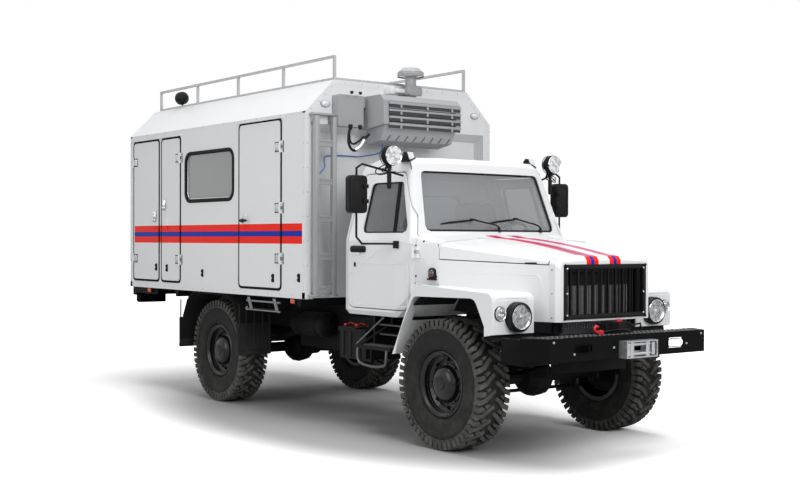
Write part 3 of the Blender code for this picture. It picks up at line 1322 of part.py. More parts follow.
def cab_side(x):
    """Return how far out the cab's side stands at a place along the truck, below its belt."""
    screen = (SCREEN_FOOT_X - SCREEN_BOW, CAB_HALF_WIDTH * SCREEN_WIDTH_SHARE)
    pillar = (SCREEN_HEAD_X - SCREEN_BOW * 0.75, CAB_HALF_WIDTH)
    if x < pillar[0]:
        return CAB_HALF_WIDTH
    first, second = (pillar, screen) if x < screen[0] else (screen, (CAB_FRONT_X, COWL_HALF_WIDTH))
    return first[1] + (second[1] - first[1]) * (x - first[0]) / (second[0] - first[0])


def cab_ring(x, bottom, top, half_width, bow, inset):
    """Return one cross-section of the cab, its wall moved in by an inset."""
    low = bottom + inset
    high = top - inset
    wide = half_width - inset
    corner = CAB_CORNER
    upper = wide - lean(high - corner)
    half = [(wide * 0.96, low), (wide, low + corner * 0.6), (wide, min(CAB_BELT, high - corner * 1.2))]
    half += [(upper, high - corner), (upper - corner * 0.35, high - corner * 0.30),
             (upper - corner * 1.1, high)]
    half.append((upper * 0.55, high))
    points = half + [(-y, z) for y, z in reversed(half)]
    crown = CAB_CORNER * 0.35
    result = []
    for y, z in points:
        lift = crown * (1 - (y / wide) ** 2) if z > high - corner * 0.5 else 0
        result.append((x - bow * (y / half_width) ** 2, y, z + lift))
    return result


def cab_solid(inset):
    """Return the cab's whole outer form, or the space inside walls of a given thickness."""
    slope = inset * 0.6
    rows = [
        (CAB_FRONT_X - inset, COWL_BOTTOM, COWL_TOP, COWL_HALF_WIDTH, 0),
        (SCREEN_FOOT_X - slope * 1.4, CAB_FLOOR + (COWL_BOTTOM - CAB_FLOOR) * 0.62, SCREEN_FOOT,
         CAB_HALF_WIDTH * SCREEN_WIDTH_SHARE,
         SCREEN_BOW),
        (SCREEN_HEAD_X - inset, CAB_FLOOR, SCREEN_HEAD, CAB_HALF_WIDTH, SCREEN_BOW * 0.75),
        (SCREEN_HEAD_X - inset - CAB_CORNER, CAB_FLOOR, CAB_ROOF - CAB_CORNER * 0.5, CAB_HALF_WIDTH,
         SCREEN_BOW * 0.5),
        (SCREEN_HEAD_X - CAB_CORNER * 4.5, CAB_FLOOR, CAB_ROOF - CAB_CORNER * 0.35, CAB_HALF_WIDTH, 0),
        (CAB_REAR_X + CAB_CORNER * 3, CAB_FLOOR, CAB_ROOF - CAB_CORNER * 0.4, CAB_HALF_WIDTH, 0),
        (CAB_REAR_X + CAB_CORNER, CAB_FLOOR, CAB_ROOF - CAB_CORNER * 0.9, CAB_HALF_WIDTH, 0),
        (CAB_REAR_X + inset, CAB_FLOOR, CAB_ROOF - CAB_CORNER * 2.0, CAB_HALF_WIDTH * 0.975, 0),
    ]
    if inset:
        rows.pop(6)
    return loft([cab_ring(*row, inset) for row in rows])


def cab_door_outline(gap):
    """Return a cab door's outline from the side, drawn in from its opening by a gap."""
    corners = [(DOOR_REAR_X + gap, DOOR_BOTTOM + gap), (DOOR_FRONT_X - gap, DOOR_BOTTOM + gap),
               (DOOR_FRONT_X - gap, CAB_BELT), (DOOR_TOP_FRONT_X - gap, DOOR_TOP - gap),
               (DOOR_REAR_X + gap, DOOR_TOP - gap)]
    return rounded(corners, [DOOR_CORNER - gap, DOOR_CORNER * 0.5, 0, DOOR_CORNER * 0.7, DOOR_CORNER], 2)


def cab_door_cutter(gap):
    """Return the body that a door fills, narrower towards the cab's inside behind its hinge."""
    outer_y = CAB_HALF_WIDTH + OVERRUN
    inner_y = CAB_HALF_WIDTH - CAB_LEAN - CAB_WALL - OVERRUN * 2
    outline = cab_door_outline(gap)
    shrink = DOOR_DRAFT * (outer_y - inner_y)
    inner = [(x + shrink * (DOOR_FRONT_X - x) / (DOOR_FRONT_X - DOOR_REAR_X), z) for x, z in outline]
    depth = CAB_WALL + OVERRUN / 2 - gap
    top = DOOR_TOP + OVERRUN
    band = [(outer_y, CAB_FLOOR), (outer_y, top), (CAB_HALF_WIDTH - lean(top) - depth, top),
            (CAB_HALF_WIDTH - depth, CAB_BELT), (CAB_HALF_WIDTH - depth, CAB_FLOOR)]
    limit = prism("x", band, DOOR_REAR_X - OVERRUN, DOOR_FRONT_X + OVERRUN)
    return piece_from(prism("y", outline, outer_y, inner_y, inner), limit)


def door_window_outline(gap):
    corners = [(DOOR_WINDOW_REAR_X + gap, DOOR_WINDOW_BOTTOM + gap),
               (DOOR_WINDOW_FRONT_X - gap, DOOR_WINDOW_BOTTOM + gap),
               (DOOR_WINDOW_TOP_FRONT_X - gap, DOOR_WINDOW_TOP - gap),
               (DOOR_WINDOW_REAR_X + gap, DOOR_WINDOW_TOP - gap)]
    return rounded(corners, WINDOW_CORNER, 2)


def screen_outline(gap):
    corners = [(-SCREEN_HALF_FOOT + gap, SCREEN_BOTTOM + gap),
               (SCREEN_HALF_FOOT - gap, SCREEN_BOTTOM + gap),
               (SCREEN_HALF_HEAD - gap, SCREEN_TOP - gap), (-SCREEN_HALF_HEAD + gap, SCREEN_TOP - gap)]
    return rounded(corners, WINDOW_CORNER, 2)


def rear_glass_outline(gap):
    low = (-REAR_GLASS_HALF_WIDTH + gap, REAR_GLASS_BOTTOM + gap)
    high = (REAR_GLASS_HALF_WIDTH - gap, REAR_GLASS_TOP - gap)
    return rounded(rectangle(low, high), WINDOW_CORNER, 2)


def hinge_axis(side):
    """Return the place of a cab door's upright hinge pin."""
    return Vector((DOOR_FRONT_X, side * (CAB_HALF_WIDTH + CAB_HINGE_RADIUS), CAB_FLOOR))


def hinge_spans(length, odd):
    """Return the parts of a hinge's length that one leaf takes: the middle, or both ends."""
    third = length / 3
    if odd:
        return [(-third / 2, third / 2)]
    return [(-third * 1.5, -third / 2 - SEAM), (third / 2 + SEAM, third * 1.5)]


def hinge_leaves(axis, heights, sizes, away, depths, odd):
    """Return a hinge's barrels, each with a leaf that reaches away from the pin and into a wall.

    The sizes are the barrel's length and radius, and where the leaf enters the wall and ends. The
    depths are the leaf's underside beside the pin, its foot in the wall and its outer face.
    """
    length, radius, near, far = sizes
    clear, foot, face = depths
    outline = [(0, face), (0, clear), (near, clear), (near, foot), (far, foot), (far, face)]
    outline = [(axis[0] + away * x, y) for x, y in outline]
    shapes = []
    for height in heights:
        for low, high in hinge_spans(length, odd):
            barrel = [(low, 0), (low, radius), (high, radius), (high, 0)]
            shapes.append(lathe(barrel, (axis[0], axis[1], height), (0, 0, 1), 8))
            shapes.append(prism("z", outline, height + low, height + high))
    return shapes


def cab_hinge_shapes(odd):
    """Return the barrels and leaves of the left cab door's hinges, on the door or on the cab."""
    axis = hinge_axis(1)
    sizes = (CAB_HINGE_LENGTH, CAB_HINGE_RADIUS, DOOR_GAP * 1.6, HINGE_PLATE)
    depths = (CAB_HALF_WIDTH + HINGE_PLATE_THICKNESS / 4, CAB_HALF_WIDTH - CAB_WALL / 2,
              CAB_HALF_WIDTH + HINGE_PLATE_THICKNESS * 1.4)
    return hinge_leaves((axis.x, axis.y), CAB_HINGE_HEIGHTS, sizes, -1 if odd else 1, depths, odd)


def add_cab_shell():
    """Make the hollow cab with its door openings, windscreen and rear window cut."""
    cutter = cab_door_cutter(0)
    cuts = [cab_solid(CAB_WALL), cutter, mirrored(cutter)]
    cuts.append(prism("x", screen_outline(0), SCREEN_FOOT_X + OVERRUN * 2, SCREEN_HEAD_X - CAB_CORNER * 5))
    cuts.append(prism("x", rear_glass_outline(0), CAB_REAR_X + CAB_WALL + OVERRUN, CAB_REAR_X - OVERRUN))
    piece = make("cab_shell", white_paint(), [cab_solid(0)], cuts)
    hinges = cab_hinge_shapes(False)
    join_later(piece, hinges + [mirrored(shape) for shape in hinges] + bonnet_hinge_shapes(False))


def join_later(piece, shapes):
    """Join bodies to a piece that has already been cut and shifted."""
    for shape in shapes:
        bmesh.ops.translate(shape, vec=(origin_shift(), 0, 0), verts=shape.verts)
    work(piece, shapes, "UNION")
    piece.data.shade_smooth()
    piece.data.set_sharp_from_angle(angle=math.radians(30))


def add_cab_glass():
    """Make the windscreen and the rear window, each let into the cab's wall."""
    outer = cab_solid(CAB_WALL * 0.4)
    inner = cab_solid(CAB_WALL * 0.4 + GLASS)
    window = prism("x", screen_outline(SEAM), SCREEN_FOOT_X + OVERRUN * 2, SCREEN_HEAD_X - CAB_CORNER * 3)
    make("windscreen", dark_glass(), [outer], [inner], [window])
    low = CAB_REAR_X + CAB_WALL * 0.4
    make("cab_rear_glass", dark_glass(), [prism("x", rear_glass_outline(SEAM), low, low + GLASS)])


def add_cab_doors():
    """Make the cab's doors with their glass, mirrors and spotlights."""
    for side, hand in ((-1, "right"), (1, "left")):
        joint = pivot("cab_door_" + hand + "_pivot", shifted(*hinge_axis(side)))
        keep = cab_door_cutter(DOOR_GAP)
        depth_ends = (CAB_HALF_WIDTH + OVERRUN, CAB_HALF_WIDTH - CAB_LEAN - CAB_WALL * 2)
        cuts = [cab_solid(CAB_WALL)] + on_side([prism("y", door_window_outline(0), *depth_ends)], side)
        keep = on_side([keep], side)[0]
        piece = make("cab_door_" + hand, white_paint(), [cab_solid(0)], cuts, [keep], joint)
        extra = cab_hinge_shapes(True)
        grip_x = DOOR_REAR_X + CAB_DOOR_HANDLE * 0.9
        extra.append(block((grip_x - CAB_DOOR_HANDLE / 2, grip_x + CAB_DOOR_HANDLE / 2),
                           (CAB_HALF_WIDTH - CAB_WALL / 2, CAB_HALF_WIDTH + CAB_DOOR_HANDLE * 0.12),
                           (CAB_BELT - CAB_DOOR_HANDLE * 0.9, CAB_BELT - CAB_DOOR_HANDLE * 0.65)))
        join_later(piece, on_side(extra, side))
        pane = on_side([prism("y", door_window_outline(SEAM), *depth_ends)], side)
        outer, inner = cab_solid(CAB_WALL * 0.45), cab_solid(CAB_WALL * 0.45 + GLASS)
        make("door_glass_" + hand, dark_glass(), [outer], [inner], pane, joint)
        add_mirror(side, hand, joint)


def add_mirror(side, hand, joint):
    """Make a mirror on its looped arm, with the spotlight above it."""
    foot_y = cab_side(ARM_FOOT_X) + ARM_RADIUS * 1.5
    head_y = CAB_HALF_WIDTH - lean(ARM_HEAD_Z) + SEAM + ARM_RADIUS * 2.2
    corner = ARM_RADIUS * 6
    path = [(ARM_FOOT_X, foot_y, ARM_FOOT_Z), (MIRROR_X, MIRROR_Y - corner, ARM_FOOT_Z),
            (MIRROR_X, MIRROR_Y, ARM_FOOT_Z + corner),
            (MIRROR_X, MIRROR_Y, ARM_HEAD_Z + corner),
            (MIRROR_X, MIRROR_Y - corner, ARM_HEAD_Z + corner * 1.6),
            (ARM_HEAD_X, head_y, ARM_HEAD_Z)]
    shapes = [tube(path, ARM_RADIUS, 6)]
    foot = ARM_RADIUS * 2.5
    ends = (ARM_FOOT_X - foot, ARM_FOOT_X + foot)
    plan = [(x, cab_side(x) + SEAM) for x in ends] + [(x, cab_side(x) + foot) for x in reversed(ends)]
    shapes.append(prism("z", plan, ARM_FOOT_Z - foot * 1.6, ARM_FOOT_Z + foot))
    low_z, high_z = MIRROR_MIDDLE - MIRROR_HEIGHT / 2, MIRROR_MIDDLE + MIRROR_HEIGHT / 2
    outline = rounded(rectangle((MIRROR_Y - MIRROR_WIDTH / 2, low_z),
                                (MIRROR_Y + MIRROR_WIDTH / 2, high_z)),
                      MIRROR_WIDTH * 0.2)
    shapes.append(prism("x", outline, MIRROR_X - MIRROR_DEPTH / 2, MIRROR_X + MIRROR_DEPTH / 2))
    lamp = [(-SPOTLIGHT_DEPTH / 2, 0), (-SPOTLIGHT_DEPTH / 2, SPOTLIGHT_RADIUS * 0.6)]
    lamp += [(0, SPOTLIGHT_RADIUS), (SPOTLIGHT_DEPTH / 2, SPOTLIGHT_RADIUS), (SPOTLIGHT_DEPTH / 2, 0)]
    shapes.append(lathe(lamp, (SPOTLIGHT_X, SPOTLIGHT_Y, SPOTLIGHT_Z), (1, 0, 0), 16))
    share = (SPOTLIGHT_Y - head_y) / (MIRROR_Y - corner - head_y)
    arm_z = ARM_HEAD_Z + corner * 1.6 * share
    arm_x = ARM_HEAD_X + (MIRROR_X - ARM_HEAD_X) * share
    shapes.append(tube([(arm_x, SPOTLIGHT_Y, arm_z), (SPOTLIGHT_X, SPOTLIGHT_Y, SPOTLIGHT_Z)], ARM_RADIUS,
                       6))
    make("mirror_" + hand, black_paint(), on_side(shapes, side), joint=joint)


def add_cab_inside():
    """Make the seats, the dashboard and the steering wheel."""
    floor = CAB_FLOOR + CAB_WALL + SEAM
    shapes = []
    for y in SEAT_PLACES_Y:
        wide = (y - SEAT_HALF_WIDTH, y + SEAT_HALF_WIDTH)
        shapes.append(block((SEAT_BACK_X, SEAT_FRONT_X), wide, (SEAT_TOP - SEAT_CUSHION, SEAT_TOP)))
        back = [(SEAT_BACK_X, SEAT_TOP - SEAT_CUSHION / 2),
                (SEAT_BACK_X + SEAT_BACK_THICKNESS, SEAT_TOP - SEAT_CUSHION / 2),
                (SEAT_BACK_X, SEAT_BACK_TOP), (SEAT_BACK_X - SEAT_BACK_THICKNESS, SEAT_BACK_TOP)]
        shapes.append(prism("y", back, *wide))
    y_ends = (SEAT_PLACES_Y[1] - SEAT_HALF_WIDTH * 0.9, SEAT_PLACES_Y[0] + SEAT_HALF_WIDTH * 0.9)
    shapes.append(block((SEAT_BACK_X + SEAT_BACK_THICKNESS / 2, SEAT_FRONT_X - SEAT_BACK_THICKNESS / 2),
                        y_ends,
                        (floor, SEAT_TOP - SEAT_CUSHION * 0.8)))
    make("seats", seat_cloth(), shapes)
    x_front = CAB_FRONT_X - CAB_WALL - SEAM
    dash_half = COWL_HALF_WIDTH - CAB_WALL - DASH_SIDE_CLEARANCE
    cowl_floor = COWL_BOTTOM + CAB_WALL + SEAM
    outline = [(x_front, cowl_floor), (x_front, COWL_TOP - CAB_WALL * 1.8),
               (SCREEN_FOOT_X, DASH_TOP - CAB_WALL * 0.6),
               (DASH_REAR_X, DASH_TOP - CAB_WALL), (DASH_REAR_X, DASH_BOTTOM), (SCREEN_FOOT_X, DASH_BOTTOM)]
    sleeve = [(0, 0), (0, COLUMN_RADIUS), (COLUMN_SLEEVE, COLUMN_RADIUS), (COLUMN_SLEEVE, 0)]
    sleeve_end = steering_wheel_place() - column_direction() * (COLUMN_LENGTH + PIN_GAP)
    shapes = [prism("y", outline, -dash_half, dash_half),
              lathe(sleeve, sleeve_end, -column_direction(), 12)]
    make("dashboard", finish("dash_plastic", (0.07, 0.07, 0.075), 0.7), shapes)
    add_steering_wheel()


def column_direction():
    return Vector((-COLUMN_TILT_SHARE, 0, 1)).normalized()


def steering_wheel_place():
    return Vector((STEERING_WHEEL_X, WHEEL_COLUMN_Y, STEERING_WHEEL_Z))


def add_steering_wheel():
    """Make the steering wheel, whose column ends at the dashboard."""
    place = steering_wheel_place()
    direction = column_direction()
    joint = pivot("steering_wheel_pivot", shifted(*place))
    rim = STEERING_WHEEL_RIM
    ring = []
    for step in range(6):
        angle = math.tau * (step + 0.5) / 6
        ring.append((rim * math.sin(angle), STEERING_WHEEL_RADIUS + rim * math.cos(angle)))
    shapes = [lathe(ring, place, direction, 20)]
    across = Vector((0, 1, 0))
    for angle in (0, 2.2, -2.2):
        spoke = Matrix.Rotation(angle, 3, direction) @ direction.cross(across)
        shapes.append(tube([place - direction * rim * 2, place + spoke * STEERING_WHEEL_RADIUS], rim * 0.8,
                           6))
    column = [(-COLUMN_LENGTH, 0), (-COLUMN_LENGTH, COLUMN_RADIUS), (-rim, COLUMN_RADIUS * 1.6), (-rim, 0)]
    shapes.append(lathe(column, place, direction, 12))
    make("steering_wheel", rubber(), shapes, joint=joint)


# Bonnet, fascia and wings


def bonnet_row(x, inset):
    """Return the bonnet's outer line across at a place along the truck, its skin moved in."""
    rear_x = CAB_FRONT_X + BONNET_GAP
    share = (x - rear_x) / (BONNET_FRONT_X - rear_x)
    wide = COWL_HALF_WIDTH + (NOSE_HALF_WIDTH - COWL_HALF_WIDTH) * share - inset
    low = SEAM_REAR_Z + (SEAM_FRONT_Z - SEAM_REAR_Z) * share
    bulge = math.sin(math.pi * share) * BONNET_SKIN * 1.5
    top = BONNET_REAR_TOP + (BONNET_FRONT_TOP - BONNET_REAR_TOP) * share + bulge - inset
    rise = top - low
    fold_share = 0.78 + (0.42 - 0.78) * share
    half = [(wide, low), (wide - rise * 0.03, low + rise * fold_share * 0.8),
            (wide - rise * 0.25, low + rise * fold_share)]
    half += [(wide * 0.55, low + rise * (fold_share + (1 - fold_share) * 0.75)), (wide * 0.2, top)]
    return [(x, y, z) for y, z in half] + [(x, -y, z) for y, z in reversed(half)]


def add_bonnet():
    """Make the bonnet, a pressed lid hinged at its rear edge."""
    rear = CAB_FRONT_X + BONNET_GAP
    joint = pivot("bonnet_pivot", shifted(*bonnet_axis()))
    rows = []
    for step in range(BONNET_STEPS + 1):
        x = rear + (BONNET_FRONT_X - rear) * step / BONNET_STEPS
        outer = bonnet_row(x, 0)
        inner = bonnet_row(x, BONNET_SKIN)
        low = outer[0][2] + BONNET_GAP
        outer[0] = (x, outer[0][1], low)
        outer[-1] = (x, outer[-1][1], low)
        inner[0] = (x, inner[0][1], low)
        inner[-1] = (x, inner[-1][1], low)
        rows.append(outer + list(reversed(inner)))
    rows[-1] = [(x - (BONNET_FRONT_TOP - z) * BONNET_NOSE_SLOPE / (BONNET_FRONT_TOP - SEAM_FRONT_Z), y, z)
                for x, y, z in rows[-1]]
    piece = make("bonnet", white_paint(), [loft(rows)], joint=joint)
    join_later(piece, bonnet_hinge_shapes(True))


def bonnet_axis():
    return Vector((CAB_FRONT_X + BONNET_GAP / 2, 0, BONNET_REAR_TOP + BONNET_HINGE_RADIUS))


def bonnet_hinge_shapes(odd):
    """Return the barrels of the bonnet's two hinges, on the bonnet or on the cowl."""
    axis = bonnet_axis()
    shapes = []
    for side in (-1, 1):
        for low, high in hinge_spans(BONNET_HINGE_LENGTH, odd):
            barrel = [(low, 0), (low, BONNET_HINGE_RADIUS), (high, BONNET_HINGE_RADIUS), (high, 0)]
            shapes.append(lathe(barrel, (axis.x, side * BONNET_HINGE_Y, axis.z), (0, 1, 0), 8))
            away = 1 if odd else -1
            x_ends = sorted((axis.x, axis.x + away * BONNET_GAP * 3))
            shapes.append(block(x_ends, (side * BONNET_HINGE_Y + low, side * BONNET_HINGE_Y + high),
                                (axis.z - BONNET_HINGE_RADIUS * 3.5, axis.z)))
    return shapes


def add_fascia():
    """Make the nose panel that carries the grille, with the lip over the winch."""
    rear = BONNET_FRONT_X + BONNET_GAP
    skin_in = FASCIA_SKIN
    slope = FASCIA_TOP - SEAM_FRONT_Z

    def row(x, wide, top, inset):
        corner = slope * 0.9
        half = [(wide - inset, FASCIA_BOTTOM), (wide - inset, top - corner),
                (wide - corner * 0.5 - inset, top - inset * 0.8)]
        half.append((wide * 0.4, top + corner * 0.25 - inset))
        return [(x, y, z) for y, z in half] + [(x, -y, z) for y, z in reversed(half)]

    outer_rows = [row(rear, NOSE_HALF_WIDTH, BONNET_FRONT_TOP - slope * 0.2, 0),
                  row(FASCIA_FRONT_X - slope * 0.45, NOSE_HALF_WIDTH * 0.985, FASCIA_TOP, 0),
                  row(FASCIA_FRONT_X, FASCIA_FACE_HALF_WIDTH, FASCIA_TOP - slope * 0.55, 0)]
    inner_rows = [row(rear - OVERRUN, NOSE_HALF_WIDTH, BONNET_FRONT_TOP - slope * 0.2, skin_in),
                  row(FASCIA_FRONT_X - slope * 0.45, NOSE_HALF_WIDTH * 0.985, FASCIA_TOP, skin_in),
                  row(FASCIA_FRONT_X - skin_in, FASCIA_FACE_HALF_WIDTH, FASCIA_TOP - slope * 0.55, skin_in)]
    inner_rows = [[(x, y, z if z > FASCIA_BOTTOM + SEAM else z - OVERRUN) for x, y,
                   z in line] for line in inner_rows]
    opening = rectangle((-GRILLE_HALF_WIDTH, GRILLE_BOTTOM + skin_in), (GRILLE_HALF_WIDTH, GRILLE_TOP))
    cuts = [loft(inner_rows), prism("x", opening, FASCIA_FRONT_X - OVERRUN, FASCIA_FRONT_X + OVERRUN)]
    make("fascia", white_paint(), [loft(outer_rows)], cuts)


def add_grille():
    """Make the grille: a frame with upright bars, let into the fascia."""
    front = FASCIA_FRONT_X + SEAM * 10
    back = front - GRILLE_DEPTH
    half = GRILLE_HALF_WIDTH - SEAM
    low, high = GRILLE_BOTTOM + FASCIA_SKIN + SEAM, GRILLE_TOP - SEAM
    shapes = []
    frame = GRILLE_FRAME
    for side in (-1, 1):
        shapes.append(block((back, front), sorted((side * half, side * (half - frame))), (low, high)))
    for z_ends in ((low, low + frame), (high - frame, high)):
        shapes.append(block((back, front), (-half, half), z_ends))
    pitch = 2 * half / (GRILLE_BARS + 1)
    for number in range(GRILLE_BARS):
        y = pitch * (number + 1) - half
        x_ends = (back + GRILLE_DEPTH * 0.1, front - GRILLE_DEPTH * 0.25)
        shapes.append(block(x_ends, (y - GRILLE_BAR / 2, y + GRILLE_BAR / 2),
                            (low + frame / 2, high - frame / 2)))
    make("grille", black_paint(), shapes)


def wing_outline(inset):
    """Return the wing's silhouette from the side, down to the line of its skirts."""
    shapes = [(WING_FRONT_X - inset, WING_BOTTOM), (WING_FRONT_X - inset, WING_FRONT_TOP - inset),
              (WING_REAR_TOP_X + inset * 0.4, WING_REAR_TOP - inset),
              (WING_TAIL_X + inset * 1.2, WING_TAIL_Z)]
    return rounded(shapes, [0, WING_CORNER, WING_CORNER * 1.4, 0])


def arch_outline():
    """Return the opening of the wheel's arch from the side, open at its foot."""
    tail = WING_TAIL_X + (ARCH_REAR_TOP_X - ARCH_SIDE_SKIRT_X) * 0.12
    corners = [(tail, WING_TAIL_Z - OVERRUN), (ARCH_SIDE_SKIRT_X, ARCH_SIDE_SKIRT),
               (ARCH_REAR_TOP_X, ARCH_REAR_TOP),
               (ARCH_FRONT_TOP_X, ARCH_FRONT_TOP), (ARCH_FRONT_X, WING_BOTTOM + WING_CORNER),
               (ARCH_FRONT_X, WING_TAIL_Z - OVERRUN)]
    return rounded(corners, [0, WING_CORNER, WING_CORNER, WING_CORNER * 1.4, 0, 0])


def hood_side(inset):
    """Return the outline from above of the panel between the cab and the nose, a skin thick."""
    rear = CAB_FRONT_X + SEAM
    front = BONNET_FRONT_X + BONNET_GAP - SEAM
    return [(rear, COWL_HALF_WIDTH), (front, NOSE_HALF_WIDTH), (front, NOSE_HALF_WIDTH - inset),
            (rear, COWL_HALF_WIDTH - inset)]


def add_wings():
    """Make the front wings, each pressed in one with the engine bay's side panel."""
    rear = CAB_FRONT_X + SEAM
    front = BONNET_FRONT_X + BONNET_GAP - SEAM
    for side, hand in ((-1, "right"), (1, "left")):
        outline = wing_outline(0)
        shapes = [prism("y", outline, WING_INNER_Y, WING_OUTER_Y)]
        cuts = [prism("y", arch_outline(), WING_INNER_Y - OVERRUN, WING_OUTER_Y + OVERRUN),
                prism("y", wing_hollow(), WING_INNER_Y - OVERRUN, WING_OUTER_Y - WING_SKIN),
                block((CAB_FRONT_X + SEAM, WING_TAIL_X - OVERRUN),
                      (WING_INNER_Y - OVERRUN, CAB_HALF_WIDTH + WING_TAIL_STANDOFF),
                      (CAB_FLOOR - DOOR_GAP, COWL_TOP))]
        piece = make("wing_" + hand, white_paint(), on_side(shapes, side), on_side(cuts, side))
        panel = prism("z", hood_side(FASCIA_SKIN), FASCIA_BOTTOM, SEAM_REAR_Z)
        profile = [(rear, WING_REAR_TOP - WING_SKIN * 2),
                   (WING_FRONT_X - WING_SKIN * 2, WING_FRONT_TOP - WING_SKIN * 1.5),
                   (WING_FRONT_X - WING_SKIN * 2, FASCIA_BOTTOM), (front, FASCIA_BOTTOM),
                   (front, SEAM_FRONT_Z), (rear, SEAM_REAR_Z)]
        trimmed = prism("y", profile, NOSE_HALF_WIDTH - OVERRUN, COWL_HALF_WIDTH + OVERRUN)
        strip = piece_from(panel, trimmed)
        join_later(piece, on_side([strip], side))


def piece_from(shape, limit):
    """Return what two bodies share."""
    helper = bpy.data.objects.new("helper", gathered("helper", [shape]))
    bpy.context.collection.objects.link(helper)
    work(helper, [limit], "INTERSECT")
    result = bmesh.new()
    result.from_mesh(helper.data)
    bpy.data.objects.remove(helper)
    return result


def wing_hollow():
    """Return the space under the wing's top, from the side."""
    corners = [(WING_FRONT_X - WING_SKIN, WING_TAIL_Z - OVERRUN),
               (WING_FRONT_X - WING_SKIN, WING_FRONT_TOP - WING_SKIN),
               (WING_REAR_TOP_X + WING_SKIN * 0.5, WING_REAR_TOP - WING_SKIN),
               (WING_TAIL_X + WING_SKIN * 1.4, WING_TAIL_Z - OVERRUN * 0.2)]
    return rounded(corners, [0, WING_CORNER - WING_SKIN, WING_CORNER * 1.4 - WING_SKIN, 0])


def add_headlamps():
    """Make the round headlamps on the fronts of the wings."""
    for side, hand in ((-1, "right"), (1, "left")):
        back = WING_FRONT_X + SEAM
        profile = [(0, 0), (0, LAMP_RADIUS * 0.9), (LAMP_DEPTH * 0.5, LAMP_RADIUS),
                   (LAMP_DEPTH * 0.8, LAMP_RADIUS * 0.95)]
        profile += [(LAMP_DEPTH * 0.8, LAMP_RADIUS * 0.80), (LAMP_DEPTH * 0.55, LAMP_RADIUS * 0.78),
                    (LAMP_DEPTH * 0.7, 0)]
        make("headlamp_" + hand, black_paint(),
             [lathe(profile, (back, side * LAMP_Y, LAMP_HEIGHT), (1, 0, 0), LAMP_STEPS)])


# Van


def van_section(inset):
    wide = VAN_HALF_WIDTH - inset
    eave = VAN_EAVES - inset * math.tan(math.radians(22.5))
    top = VAN_ROOF - inset
    half = [(wide, VAN_FLOOR + inset), (wide, eave), (wide - VAN_SHOULDER + inset * 0.41, top)]
    return half + [(-y, z) for y, z in reversed(half)]


def side_opening(front_setback, width, bottom, top, corner, gap):
    """Return an outline in the van's side, from (along, up) places."""
    front = van_front() - front_setback - gap
    rear = van_front() - front_setback - width + gap
    return rounded(rectangle((rear, bottom + gap), (front, top - gap)), max(corner - gap, 0), 2)


def wall_prism(outline, side, outward=OVERRUN, inward=VAN_WALL + OVERRUN):
    """Return a body through the van's side wall."""
    shape = prism("y", outline, VAN_HALF_WIDTH - inward, VAN_HALF_WIDTH + outward)
    return shape if side > 0 else mirrored(shape)


def locker_rear_setback():
    return VAN_LENGTH - LOCKER_REAR_INSET - LOCKER_REAR_WIDTH


def locker_front_setback():
    return locker_rear_setback() - LOCKER_MEETING - LOCKER_FRONT_WIDTH


def van_doors():
    """Return the van's side doors: name, setback, width, bottom, top, hinge end and heights."""
    rear, front = locker_rear_setback(), locker_front_setback()
    heights = LOCKER_HINGE_HEIGHTS
    return (("side_door", SIDE_DOOR_SETBACK, SIDE_DOOR_WIDTH, SIDE_DOOR_BOTTOM, SIDE_DOOR_TOP, 1,
             SIDE_HINGE_HEIGHTS),
            ("locker_door_rear", rear, LOCKER_REAR_WIDTH, LOCKER_BOTTOM, LOCKER_TOP, -1, heights),
            ("locker_door_front", front, LOCKER_FRONT_WIDTH, LOCKER_BOTTOM, LOCKER_TOP, 1, heights))


def van_hinge_shapes(x, end, heights, odd):
    """Return hinge barrels with their leaves on the left wall, for a door or for the wall."""
    base = VAN_HALF_WIDTH + VAN_DOOR_PROUD
    sizes = (VAN_HINGE_LENGTH, VAN_HINGE_RADIUS, DOOR_GAP * 1.6, VAN_HINGE_PLATE)
    foot = (base if odd else VAN_HALF_WIDTH) - VAN_HINGE_PLATE_THICKNESS
    depths = (base + SEAM, foot, base + VAN_HINGE_PLATE_THICKNESS)
    away = -end if odd else end
    return hinge_leaves((x, base + VAN_HINGE_RADIUS), heights, sizes, away, depths, odd)


def add_van_shell():
    """Make the hollow van body with its front recess, door openings and windows."""
    front, rear = van_front(), van_rear()
    wall = VAN_WALL
    outline = [(front - RECESS_DEPTH, VAN_FLOOR - OVERRUN), (front + OVERRUN, VAN_FLOOR - OVERRUN),
               (front + OVERRUN, ledge_at(front + OVERRUN)), (front - RECESS_DEPTH, LEDGE_BACK_Z)]
    cuts = [prism("y", outline, -RECESS_HALF_WIDTH, RECESS_HALF_WIDTH)]
    cuts.append(prism("x", van_section(wall), rear + wall, front - RECESS_DEPTH - wall))
    attic_low = LEDGE_FRONT_Z + LEDGE_WALL
    attic = [(y, max(z, attic_low)) for y, z in van_section(wall)]
    cuts.append(prism("x", attic, front - RECESS_DEPTH - wall * 2, front - wall))
    for door in van_doors():
        cuts.append(wall_prism(side_opening(*door[1:5], VAN_DOOR_CORNER, 0), -1))
    for side in (-1, 1):
        cuts.append(wall_prism(van_window_outline(0), side))
    low, high = (-REAR_DOOR_HALF_WIDTH, REAR_DOOR_BOTTOM), (REAR_DOOR_HALF_WIDTH, REAR_DOOR_TOP)
    cuts.append(prism("x", rounded(rectangle(low, high), VAN_DOOR_CORNER, 2), rear - OVERRUN,
                      rear + wall + OVERRUN))
    piece = make("van_shell", white_paint(), [prism("x", van_section(0), rear, front)], cuts)
    hinges = []
    for door in van_doors():
        setback, width, end, heights = door[1], door[2], door[5], door[6]
        x = van_front() - setback - (0 if end > 0 else width)
        hinges += on_side(van_hinge_shapes(x, end, heights, False), -1)
    for side in (-1, 1):
        hinges += rear_hinge_shapes(side, False)
    join_later(piece, hinges)


